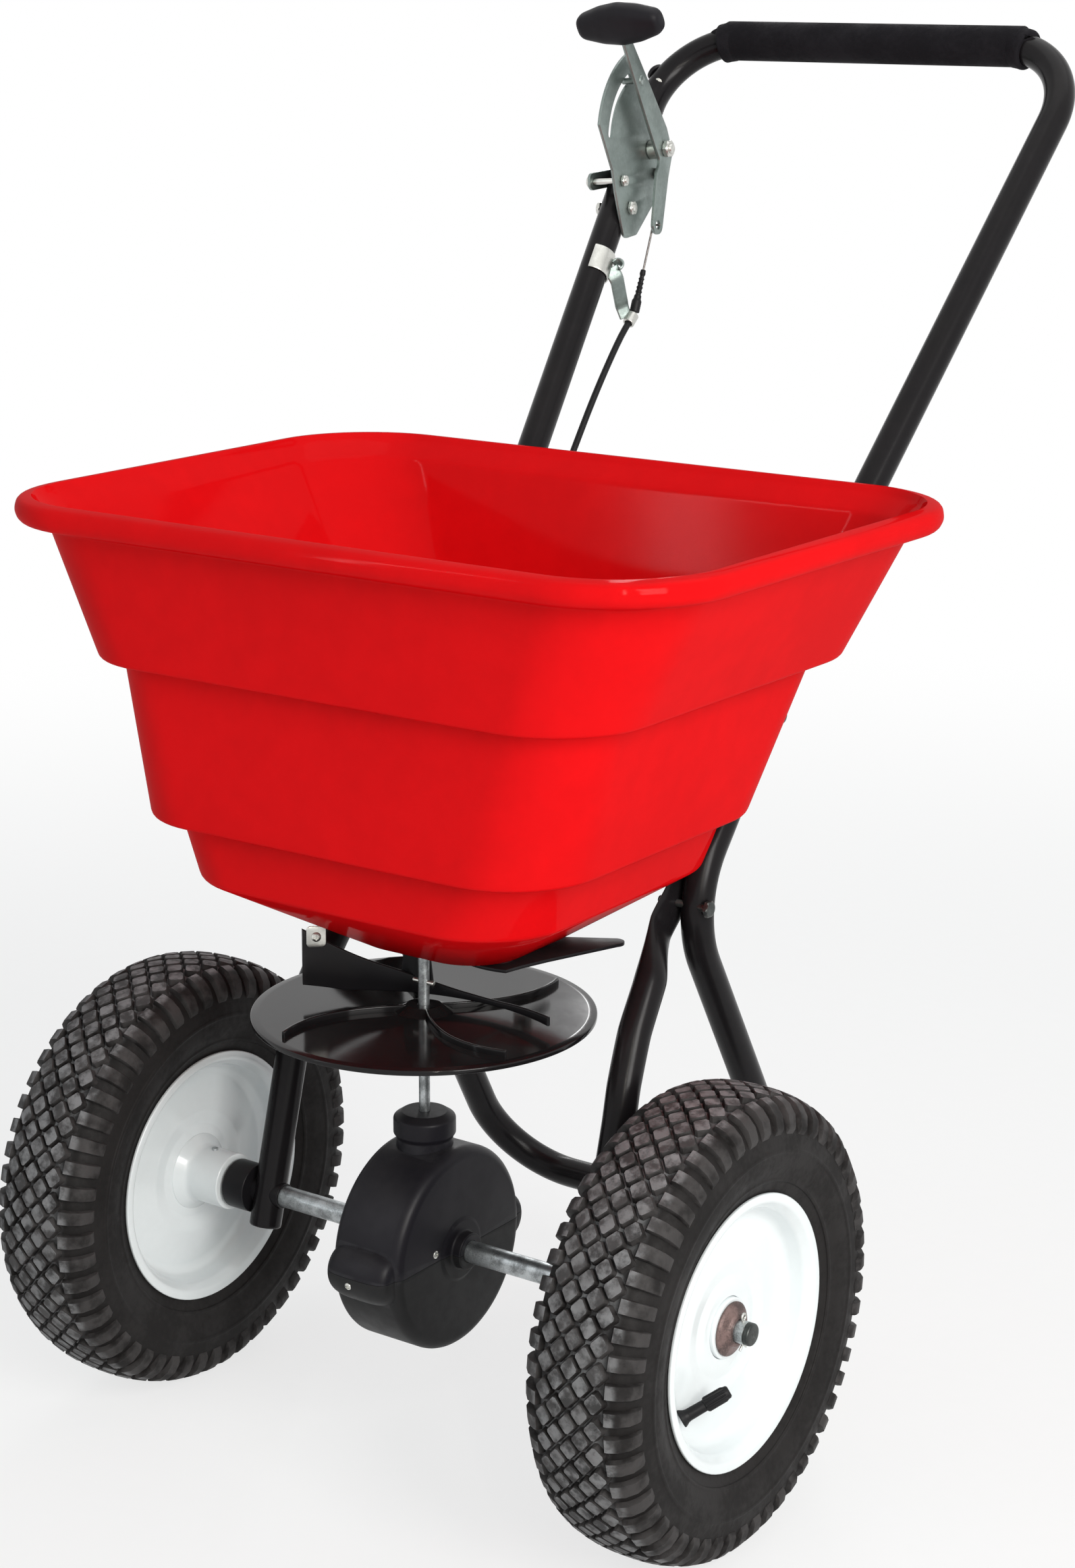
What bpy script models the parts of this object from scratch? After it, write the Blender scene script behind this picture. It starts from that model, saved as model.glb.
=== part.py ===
"""Walk-behind broadcast spreader: moulded hopper, bent tube frame, two pneumatic wheels,
a gear case that turns a spinning disc, and a shutter worked by a lever and a cable.

Metres, +Z up, +X towards the free-running wheel, +Y towards the person who pushes it.
Every height and length below is counted from the middle of the axle. The origin of the
whole is the middle of its footprint on the ground.
"""

import math

import bmesh
import bpy
from mathutils import Matrix, Vector

# Clearances
GAP = 0.0003
NEST = 0.0006

# Wheels
TYRE_RADIUS = 0.165
TYRE_WIDTH = 0.085
TREAD_STEPS = 54
TREAD_DEPTH = 0.0035
BEAD_RADIUS = 0.0885
WHEEL_X = 0.237
RIM_LIP_X = 0.0355
RIM_SHEET = 0.0024
RIM_STEPS = 26
HUB_RADIUS = 0.0215
HUB_INNER_X = 0.1810
HUB_OUTER_X = 0.2585

# Axle and what runs on it
AXLE_RADIUS = 0.008
AXLE_END_X = 0.2770
DRIVE_PIN_X = 0.2000
PIN_RADIUS = 0.0025
COTTER_X = 0.2690
COTTER_RADIUS = 0.0015
WASHER_THICK = 0.0030
SLEEVE_RADIUS = 0.0095
SPACER_RADIUS = 0.0185

# Tubes
TUBE_RADIUS = 0.012
TUBE_WALL = 0.0017
SPIGOT_RADIUS = 0.0100
TUBE_SIDES = 10

# Handle: both legs lean back at HANDLE_LEAN (run over rise) through a known point
HANDLE_LEAN = 0.83
HANDLE_POINT_Y = 0.413
HANDLE_POINT_Z = 0.595
HANDLE_POINT_X = 0.163
HANDLE_SPLAY = 0.121
HANDLE_TOP_Z = 0.830
HANDLE_CORNER = 0.065
GRIP_RADIUS = 0.0160
GRIP_HALF_LENGTH = 0.1415

# Rear frame: from the handle joint down behind the hopper, forward, then back to the stand
FRAME_X = 0.141
JOINT_Z = 0.395
SPIGOT_LENGTH = 0.050
STAND_X = 0.145
STAND_LEAN = 0.575
STAND_POINT_Y = 0.146
STAND_POINT_Z = 0.200
STAND_BAR_Z = -0.069
KNEE_RADIUS = 0.075
LOOP_RADIUS = 0.068

# Front legs
LEG_X = 0.146
LEG_FOOT_Z = -0.025
LEG_FLAT = 0.0030
LEG_WIDE = 0.0160
LEG_BOLT_Y = 0.130
LEG_BOLT_Z = 0.245

# Hopper: half width, front, back, corner radius, height, from the floor up to the rim
WALL = 0.004
HOPPER_FLOOR = (0.064, -0.015, 0.112, 0.040, 0.219)
HOPPER_SIDES = (
    (0.148, -0.106, 0.178, 0.064, 0.273),
    (0.160, -0.103, 0.178, 0.052, 0.314),
    (0.181, -0.120, 0.184, 0.066, 0.316),
    (0.204, -0.112, 0.221, 0.056, 0.423),
    (0.222, -0.127, 0.243, 0.070, 0.425),
    (0.266, -0.130, 0.258, 0.076, 0.513),
    (0.283, -0.147, 0.277, 0.086, 0.517),
    (0.286, -0.150, 0.280, 0.088, 0.534),
)
CORNER_STEPS = 6
HOPPER_BOLT_Z = 0.340

# Gear case and drive
CASE_RADIUS = 0.0750
CASE_LEFT = -0.0265
CASE_RIGHT = 0.0320
CASE_WALL = 0.0028
CASE_ROUND = 0.0085
BOSS_RADIUS = 0.0135
BOSS_END = 0.0410
LIP_RADIUS = 0.0085
LIP_Y = 0.0795
NECK_RADIUS = 0.0225
NECK_WAIST = 0.0205
NECK_TOP = 0.0990
CROWN_TEETH = 32
PINION_TEETH = 8
CROWN_PITCH_RADIUS = 0.060
PINION_PITCH_RADIUS = CROWN_PITCH_RADIUS * PINION_TEETH / CROWN_TEETH
TOOTH_FACE = 0.012
TOOTH_RISE = 0.0026
TOOTH_DROP = 0.0034

# Upright shaft, disc and stirrer
SHAFT_RADIUS = 0.004
SHAFT_TOP = 0.258
DISC_RADIUS = 0.123
DISC_Z = 0.175
DISC_THICK = 0.003
FIN_HEIGHT = 0.0045
CROSS_PIN_Z = 0.196
STIRRER_Z = 0.242
STIRRER_RADIUS = 0.002

# Wall behind the disc
GUARD_CENTRE = (0.0392, -0.1384)
GUARD_RADIUS = 0.1593
GUARD_SHEET = 0.0025
GUARD_BASE = 0.1815

# Shutter under the hopper
SHUTTER_PIVOT = (0.054, 0.056)
SHUTTER_THICK = 0.0025
SHUTTER_RADIUS = 0.058
OUTLET_ARM = 0.038
OUTLET_ANGLE = 265.0
OUTLET_RADIUS = 0.012
LUG_ARM = 0.041
LUG_ANGLE = 199.0

# Lever on the left leg of the handle, in the leg's own frame: x inwards from the tube's middle
LEVER_PIVOT_Z = 0.742
QUADRANT_THICK = 0.0025
LEVER_THICK = 0.0030
LEVER_OFFSET = 0.0275
SLOT_RADIUS = 0.066
SLOT_FROM = 27.0
SLOT_TO = 77.0
LEVER_AT_REST = 31.5
LEVER_HOOK = (-0.018, -0.061)
QUADRANT_OFFSET = TUBE_RADIUS + GAP + QUADRANT_THICK / 2
FOOT_BOLT = 0.0593
KNOB_REACH = 0.1190
KNOB_LENGTH = 0.076

# Worked out from the values above
TREAD_HALF_STEP = math.pi / TREAD_STEPS
HANDLE_TOP_Y = HANDLE_POINT_Y + HANDLE_LEAN * (HANDLE_TOP_Z - HANDLE_POINT_Z)
FLOOR_Z = HOPPER_FLOOR[4]
SHUTTER_TOP = FLOOR_Z - 2 * GAP

# Cable: from the clip's eye on the handle to the bracket under the hopper
CASING_RADIUS = 0.0027
WIRE_RADIUS = 0.0009
CLIP_Z = 0.654
CABLE_X = -0.152
CLIP_EYE = (CABLE_X, 0.492, 0.612)
BRACKET_X = SHUTTER_PIVOT[0] - LUG_ARM
BRACKET_Y = 0.104
BRACKET_SCREW_Y = 0.095
WIRE_Z = SHUTTER_TOP - SHUTTER_THICK - 0.0035


# Finishes


def material(name, colour, roughness, metallic=0.0):
    """A plain coat: base colour, roughness and metallic value."""
    made = bpy.data.materials.new(name)
    made.use_nodes = True
    shader = made.node_tree.nodes["Principled BSDF"]
    shader.inputs["Base Color"].default_value = (*colour, 1.0)
    shader.inputs["Roughness"].default_value = roughness
    shader.inputs["Metallic"].default_value = metallic
    made.diffuse_color = (*colour, 1.0)
    return made


# Objects


def empty(name, parent=None, location=(0, 0, 0), rotation=None):
    """A frame that pieces hang from; on a moving body it stands on the joint's axis."""
    frame = bpy.data.objects.new(name, None)
    bpy.context.scene.collection.objects.link(frame)
    frame.parent = parent
    frame.location = location
    if rotation is not None:
        frame.rotation_mode = "QUATERNION"
        frame.rotation_quaternion = rotation
    return frame


def place(name, data, parent, finish, location=(0, 0, 0), rotation=None):
    """A named piece with its coat, placed in its parent's frame."""
    made = bpy.data.objects.new(name, data)
    bpy.context.scene.collection.objects.link(made)
    made.parent = parent
    made.location = location
    if rotation is not None:
        made.rotation_mode = "QUATERNION"
        made.rotation_quaternion = rotation
    if finish is not None:
        data.materials.append(finish)
    return made


def finished_mesh(bm, name):
    """Closes a bmesh off as a mesh whose faces point out and whose round sides are smooth."""
    bmesh.ops.remove_doubles(bm, verts=bm.verts, dist=1e-6)
    bmesh.ops.recalc_face_normals(bm, faces=bm.faces)
    if bm.calc_volume(signed=True) < 0:
        bmesh.ops.reverse_faces(bm, faces=bm.faces)
    mesh = bpy.data.meshes.new(name)
    bm.to_mesh(mesh)
    bm.free()
    mesh.shade_smooth()
    mesh.set_sharp_from_angle(angle=math.radians(35))
    return mesh


def cutter(name, mesh, parent, location=(0, 0, 0), rotation=None):
    """A helper solid that only cuts or joins."""
    made = place(name, mesh, parent, None, location, rotation)
    made.hide_render = True
    made.display_type = "WIRE"
    return made


def combine(target, tools, operation="DIFFERENCE"):
    """Cuts the tools out of the target, or joins them to it."""
    for tool in tools:
        step = target.modifiers.new(operation.title() + " " + tool.name, "BOOLEAN")
        step.operation = operation
        step.solver = "EXACT"
        step.object = tool
    return target


# Shapes


def turned(name, profile, steps, axis="X", ring=False, phase=0.0):
    """Spins a profile of (along, radius) points; a ring's profile closes on itself."""
    bm = bmesh.new()
    verts = []
    for along, radius in profile:
        point = (along, 0, radius) if axis == "X" else (radius, 0, along)
        verts.append(bm.verts.new(point))
    edges = [bm.edges.new(pair) for pair in zip(verts, verts[1:])]
    if ring:
        edges.append(bm.edges.new((verts[-1], verts[0])))
    line = (1, 0, 0) if axis == "X" else (0, 0, 1)
    bmesh.ops.spin(
        bm, geom=verts + edges, cent=(0, 0, 0), axis=line, dvec=(0, 0, 0),
        angle=2 * math.pi, steps=steps, use_merge=True,
    )
    if phase:
        turn = Matrix.Rotation(phase, 3, line)
        bmesh.ops.rotate(bm, verts=bm.verts, cent=(0, 0, 0), matrix=turn)
    return finished_mesh(bm, name)


def rod(name, start, end, radius, steps=12, axis="X"):
    """A plain round bar along one axis."""
    return turned(name, [(start, 0), (start, radius), (end, radius), (end, 0)], steps, axis)


def block(name, low, high):
    """A box between two corners."""
    bm = bmesh.new()
    bmesh.ops.create_cube(bm, size=1.0)
    size = [b - a for a, b in zip(low, high)]
    middle = [(a + b) / 2 for a, b in zip(low, high)]
    bmesh.ops.scale(bm, verts=bm.verts, vec=size)
    bmesh.ops.translate(bm, verts=bm.verts, vec=middle)
    return finished_mesh(bm, name)


def bent_path(corners, arc_step=18.0):
    """Points along a bent rod: straight runs, with an arc of the given radius at each corner."""
    path = [Vector(corners[0][0])]
    for (before, _), (corner, radius), (after, _) in zip(corners, corners[1:], corners[2:]):
        here = Vector(corner)
        back = (Vector(before) - here).normalized()
        ahead = (Vector(after) - here).normalized()
        opening = back.angle(ahead)
        turn = math.pi - opening
        if radius <= 0 or turn < 1e-4:
            path.append(here)
            continue
        centre = here + (back + ahead).normalized() * (radius / math.sin(opening / 2))
        start = here + back * (radius / math.tan(opening / 2)) - centre
        plane = back.cross(start).normalized()
        count = max(2, round(math.degrees(turn) / arc_step))
        for i in range(count + 1):
            path.append(centre + Matrix.Rotation(turn * i / count, 3, plane) @ start)
    path.append(Vector(corners[-1][0]))
    return path


def tube(name, path, sections, walls=None, sides=TUBE_SIDES, side=(1, 0, 0)):
    """A bar or hollow tube along a path. A section is a radius, or a pair for a pressed one."""
    bm = bmesh.new()
    across = Vector(side)
    skins = [[], []]
    for i, point in enumerate(path):
        before = path[max(i - 1, 0)]
        after = path[min(i + 1, len(path) - 1)]
        into = (point - before).normalized() if i else (after - point).normalized()
        out = (after - point).normalized() if i < len(path) - 1 else into
        if (after - point).length < 1e-9:
            out = into
        tangent = (into + out).normalized()
        across = (across - tangent * across.dot(tangent)).normalized()
        over = tangent.cross(across)
        section = sections[i] if isinstance(sections, list) else sections
        wide, tall = section if isinstance(section, tuple) else (section, section)
        mitre = 1 / max(0.5, tangent.dot(into))
        bend = (out - into)
        bend = bend.normalized() if bend.length > 1e-6 else Vector()
        wall = walls[i] if isinstance(walls, list) else walls
        for skin, trim in zip(skins, (0.0, wall)):
            if trim is None:
                continue
            ring = []
            for k in range(sides):
                turn = 2 * math.pi * (k + 0.5) / sides
                offset = across * (wide - trim) * math.cos(turn)
                offset += over * (tall - trim) * math.sin(turn)
                offset += bend * bend.dot(offset) * (mitre - 1)
                ring.append(bm.verts.new(point + offset))
            skin.append(ring)
    for skin in skins:
        for ring, following in zip(skin, skin[1:]):
            for k in range(sides):
                n = (k + 1) % sides
                bm.faces.new((ring[k], ring[n], following[n], following[k]))
    if walls is None:
        bm.faces.new(skins[0][0])
        bm.faces.new(skins[0][-1])
    else:
        for end in (0, -1):
            outer, inner = skins[0][end], skins[1][end]
            for k in range(sides):
                n = (k + 1) % sides
                bm.faces.new((outer[k], outer[n], inner[n], inner[k]))
    return finished_mesh(bm, name)


def arc(centre, radius, start, end, steps):
    """Points on an arc in the plane, angles in degrees."""
    for i in range(steps + 1):
        angle = math.radians(start + (end - start) * i / steps)
        yield (centre[0] + radius * math.cos(angle), centre[1] + radius * math.sin(angle))


def softened(corners, steps=3):
    """An outline whose corners are rounded; each corner is (across, up, radius)."""
    count = len(corners)
    points = []
    for i, (x, y, radius) in enumerate(corners):
        here = Vector((x, y))
        back = (Vector(corners[i - 1][:2]) - here).normalized()
        ahead = (Vector(corners[(i + 1) % count][:2]) - here).normalized()
        if radius <= 0:
            points.append((x, y))
            continue
        opening = back.angle(ahead)
        reach = radius / math.tan(opening / 2)
        centre = here + (back + ahead).normalized() * (radius / math.sin(opening / 2))
        first = here + back * reach - centre
        last = here + ahead * reach - centre
        sweep = first.angle_signed(last)
        for k in range(steps + 1):
            turn = Matrix.Rotation(-sweep * k / steps, 2)
            points.append(tuple(centre + turn @ first))
    return points


def plate(name, outline, thick, holes=(), axis="Z"):
    """A flat plate cut to an outline, with its holes, lying across the given axis."""
    curve = bpy.data.curves.new(name, "CURVE")
    curve.dimensions = "2D"
    curve.fill_mode = "BOTH"
    curve.extrude = thick / 2
    for loop in (outline, *holes):
        points = list(loop)
        spline = curve.splines.new("POLY")
        spline.points.add(len(points) - 1)
        for target, (x, y) in zip(spline.points, points):
            target.co = (x, y, 0, 1)
        spline.use_cyclic_u = True
    holder = bpy.data.objects.new(name + " outline", curve)
    bpy.context.scene.collection.objects.link(holder)
    graph = bpy.context.evaluated_depsgraph_get()
    mesh = bpy.data.meshes.new_from_object(holder.evaluated_get(graph))
    bpy.data.objects.remove(holder)
    if axis == "X":
        mesh.transform(Matrix(((0, 0, 1, 0), (1, 0, 0, 0), (0, 1, 0, 0), (0, 0, 0, 1))))
    bm = bmesh.new()
    bm.from_mesh(mesh)
    return finished_mesh(bm, name)


def hole(centre, radius, steps=12):
    """A round hole in an outline."""
    return list(arc(centre, radius, 0, 360 - 360 / steps, steps - 1))


def bolt(name, grip, shank, head, head_high, nut_high, tail=0.0025):
    """A hex bolt with its nut run up. It lies along +X with the clamped stack from 0 to grip."""
    nut = grip + GAP + nut_high
    stations = (
        (-GAP - head_high, head * 0.86), (-GAP - head_high * 0.8, head), (-GAP, head),
        (-GAP, shank), (grip + GAP, shank), (grip + GAP, head), (nut, head), (nut, shank),
        (nut + tail, shank),
    )
    bm = bmesh.new()
    rings = []
    for along, reach in stations:
        turns = [math.pi * k / 3 for k in range(6)]
        rings.append([
            bm.verts.new((along, reach * math.cos(turn), reach * math.sin(turn)))
            for turn in turns
        ])
    for ring, following in zip(rings, rings[1:]):
        for k in range(6):
            n = (k + 1) % 6
            bm.faces.new((ring[k], ring[n], following[n], following[k]))
    bm.faces.new(rings[0])
    bm.faces.new(rings[-1])
    return finished_mesh(bm, name)


def smooth_route(points, spacing):
    """Evenly spaced points on a smooth curve through a cord's own points."""
    knots = [Vector(p) for p in points]
    ends = [2 * knots[0] - knots[1], *knots, 2 * knots[-1] - knots[-2]]
    dense = []
    for a, b, c, d in zip(ends, ends[1:], ends[2:], ends[3:]):
        for i in range(40):
            t = i / 40
            dense.append(
                0.5 * (2 * b + (c - a) * t + (2 * a - 5 * b + 4 * c - d) * t ** 2
                       + (3 * b - a - 3 * c + d) * t ** 3)
            )
    dense.append(knots[-1])
    lengths = [0.0]
    for a, b in zip(dense, dense[1:]):
        lengths.append(lengths[-1] + (b - a).length)
    count = max(2, round(lengths[-1] / spacing))
    route = []
    at = 0
    for i in range(count + 1):
        want = lengths[-1] * i / count
        while at < len(dense) - 2 and lengths[at + 1] < want:
            at += 1
        share = (want - lengths[at]) / (lengths[at + 1] - lengths[at])
        route.append(dense[at].lerp(dense[at + 1], share))
    return route


def cord(name, route, radius):
    """A cord along a route, with closed ends."""
    curve = bpy.data.curves.new(name, "CURVE")
    curve.dimensions = "3D"
    curve.bevel_depth = radius
    curve.bevel_resolution = 2
    curve.use_fill_caps = True
    spline = curve.splines.new("POLY")
    spline.points.add(len(route) - 1)
    for target, point in zip(spline.points, route):
        target.co = (*point, 1)
    return curve


# Wheels


def tyre_mesh():
    """A tubeless carcass with staggered tread blocks."""
    half = TYRE_WIDTH / 2
    drop = TYRE_RADIUS - BEAD_RADIUS
    outer = [
        (RIM_LIP_X - RIM_SHEET - 2 * GAP, BEAD_RADIUS),
        (RIM_LIP_X - RIM_SHEET - 2 * GAP, BEAD_RADIUS + 0.12 * drop),
        (half, BEAD_RADIUS + 0.50 * drop),
        (0.93 * half, TYRE_RADIUS - 0.22 * drop),
        (0.68 * half, TYRE_RADIUS - 0.055 * drop),
        (0.27 * half, TYRE_RADIUS),
    ]
    inner = [
        (0, TYRE_RADIUS - 0.012),
        (half - 0.0075, BEAD_RADIUS + 0.50 * drop),
        (RIM_LIP_X - RIM_SHEET - 0.0075, BEAD_RADIUS),
    ]
    profile = outer + [(-a, r) for a, r in reversed(outer)]
    profile += [(-a, r) for a, r in reversed(inner[1:])] + inner
    mesh = turned("tyre", profile, TREAD_STEPS, "X", ring=True, phase=TREAD_HALF_STEP)
    step = 2 * TREAD_HALF_STEP
    for vertex in mesh.vertices:
        x, y, z = vertex.co
        radius = math.hypot(y, z)
        crown = radius > TYRE_RADIUS - 0.1 * drop
        if not crown:
            continue
        index = round((math.atan2(y, -z) + TREAD_HALF_STEP) / step)
        shift = 0 if abs(x) < 0.5 * half else (1 if x > 0 else 2)
        if (index + shift) % 3 == 2:
            vertex.co = (x, y * (1 - TREAD_DEPTH / radius), z * (1 - TREAD_DEPTH / radius))
    return mesh


def rim_half_mesh():
    """One pressed half of a rim: lip, bead seat, well and dished web, open at the hub."""
    seat = BEAD_RADIUS - GAP
    profile = [
        (RIM_LIP_X, seat + 0.0085),
        (RIM_LIP_X - RIM_SHEET, seat + 0.0085),
        (RIM_LIP_X - RIM_SHEET, seat),
        (0.0150, seat - 0.0030),
        (GAP, seat - 0.0030),
        (GAP, seat - 0.0054),
        (0.0116, seat - 0.0075),
        (0.0166, 0.0300),
        (0.0166, HUB_RADIUS + GAP),
        (0.0190, HUB_RADIUS + GAP),
        (0.0190, 0.0300),
        (0.0140, seat - 0.0052),
        (0.0300, seat - 0.0024),
        (RIM_LIP_X, seat + 0.0030),
    ]
    return turned("rim half", profile, RIM_STEPS, "X", ring=True)


def valve_mesh():
    """A rubber snap-in valve stem with its cap, along +X."""
    return turned(
        "valve",
        [(0, 0), (0, 0.0048), (0.006, 0.0042), (0.020, 0.0042), (0.0215, 0.0052),
         (0.036, 0.0052), (0.0375, 0.0042), (0.0375, 0)],
        12,
    )


def build_wheel(side, label, parent, finishes, bush):
    """Tyre, two rim halves, hub and valve of one wheel. side is -1 or +1 along X."""
    middle = (side * WHEEL_X, 0, 0)
    turn = Matrix.Rotation(math.pi, 3, "Z").to_quaternion()
    tyre = tyre_mesh()
    place(label + "_tyre", tyre, parent, finishes["tyre"], middle)
    half = rim_half_mesh()
    half.materials.append(finishes["rim"])
    halves = []
    for facing, where in ((side, "outer"), (-side, "inner")):
        rotation = None if facing > 0 else turn
        halves.append(place(f"{label}_rim_{where}", half.copy(), parent, None, middle, rotation))
    bore = AXLE_RADIUS + GAP + (bush + GAP if bush else 0)
    hub_profile = [
        (HUB_INNER_X, bore), (HUB_INNER_X, HUB_RADIUS), (HUB_OUTER_X, HUB_RADIUS),
        (HUB_OUTER_X, bore),
    ]
    hub = turned("hub", [(side * a, r) for a, r in hub_profile], 20, "X", ring=True)
    hub_object = place(label + "_hub", hub, parent, finishes["rim"])
    if bush:
        sleeve = [(HUB_INNER_X, AXLE_RADIUS + GAP), (HUB_INNER_X, bore - GAP),
                  (HUB_OUTER_X, bore - GAP), (HUB_OUTER_X, AXLE_RADIUS + GAP)]
        sleeve = turned("sleeve", [(side * a, r) for a, r in sleeve], 16, "X", ring=True)
        place(label + "_bush", sleeve, parent, finishes["nylon"])
    stem = Matrix.Rotation(math.radians(-62 * side), 3, "Y")
    spin = Matrix.Rotation(math.radians(-52), 3, "X")
    seat = spin @ Vector((0, 0, -(BEAD_RADIUS - 0.0125)))
    facing = Vector((side, 0, 0))
    inward = -seat.normalized()
    lean = (facing * 0.62 + inward * 0.78).normalized()
    rotation = Vector((1, 0, 0)).rotation_difference(lean)
    start = Vector(middle) + facing * 0.0165 + seat
    place(label + "_valve", valve_mesh(), parent, finishes["rubber"], start + lean * 0.0045, rotation)
    return hub_object


# Tubes of the frame


def handle_y(height):
    """Where the middle of a handle leg is, at a height."""
    return HANDLE_POINT_Y + HANDLE_LEAN * (height - HANDLE_POINT_Z)


def handle_x(height):
    """How far out a handle leg is, at a height above its lower bend."""
    return HANDLE_POINT_X + HANDLE_SPLAY * (height - HANDLE_POINT_Z)


def handle_path():
    """The bent handle: two legs that splay out, and the bar that joins them."""
    bend_z = HANDLE_POINT_Z - (HANDLE_POINT_X - FRAME_X) / HANDLE_SPLAY
    low_z = JOINT_Z + GAP
    legs = [
        ((FRAME_X, handle_y(low_z), low_z), 0),
        ((FRAME_X, handle_y(bend_z), bend_z), 0.25),
        ((handle_x(HANDLE_TOP_Z), HANDLE_TOP_Y, HANDLE_TOP_Z), HANDLE_CORNER),
    ]
    return legs + [((-p[0], p[1], p[2]), r) for p, r in reversed(legs)]


def frame_path():
    """The rear frame: one tube from joint to joint through both knees and the stand's loop."""
    base = STAND_POINT_Y + STAND_LEAN * STAND_POINT_Z
    rise = HANDLE_POINT_Y - HANDLE_LEAN * HANDLE_POINT_Z
    knee_z = (base - rise) / (HANDLE_LEAN + STAND_LEAN)
    side = [
        ((FRAME_X, handle_y(JOINT_Z), JOINT_Z), 0),
        ((FRAME_X, handle_y(knee_z), knee_z), KNEE_RADIUS),
        ((STAND_X, base - STAND_LEAN * STAND_BAR_Z, STAND_BAR_Z), LOOP_RADIUS),
    ]
    return side + [((-p[0], p[1], p[2]), r) for p, r in reversed(side)]


def leg_stations(side):
    """Points and sections of a front leg: round below, pressed flat where it is bolted."""
    flat_x = FRAME_X - TUBE_RADIUS - GAP - LEG_FLAT
    round_part = TUBE_RADIUS
    stations = [
        ((LEG_X, -0.007, LEG_FOOT_Z), round_part),
        ((LEG_X, 0.000, 0.000), round_part),
        ((LEG_X, 0.031, 0.112), round_part),
        ((LEG_X - 0.002, 0.040, 0.137), round_part),
        ((LEG_X - 0.006, 0.059, 0.170), round_part),
        ((LEG_X - 0.012, 0.083, 0.201), (0.0095, 0.0130)),
        ((flat_x, 0.113, 0.230), (LEG_FLAT, LEG_WIDE)),
        ((flat_x, LEG_BOLT_Y, LEG_BOLT_Z), (LEG_FLAT, LEG_WIDE)),
        ((flat_x, 0.150, 0.264), (LEG_FLAT, LEG_WIDE)),
    ]
    path = [Vector((side * p[0], p[1], p[2])) for p, _ in stations]
    return path, [s for _, s in stations]


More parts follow.
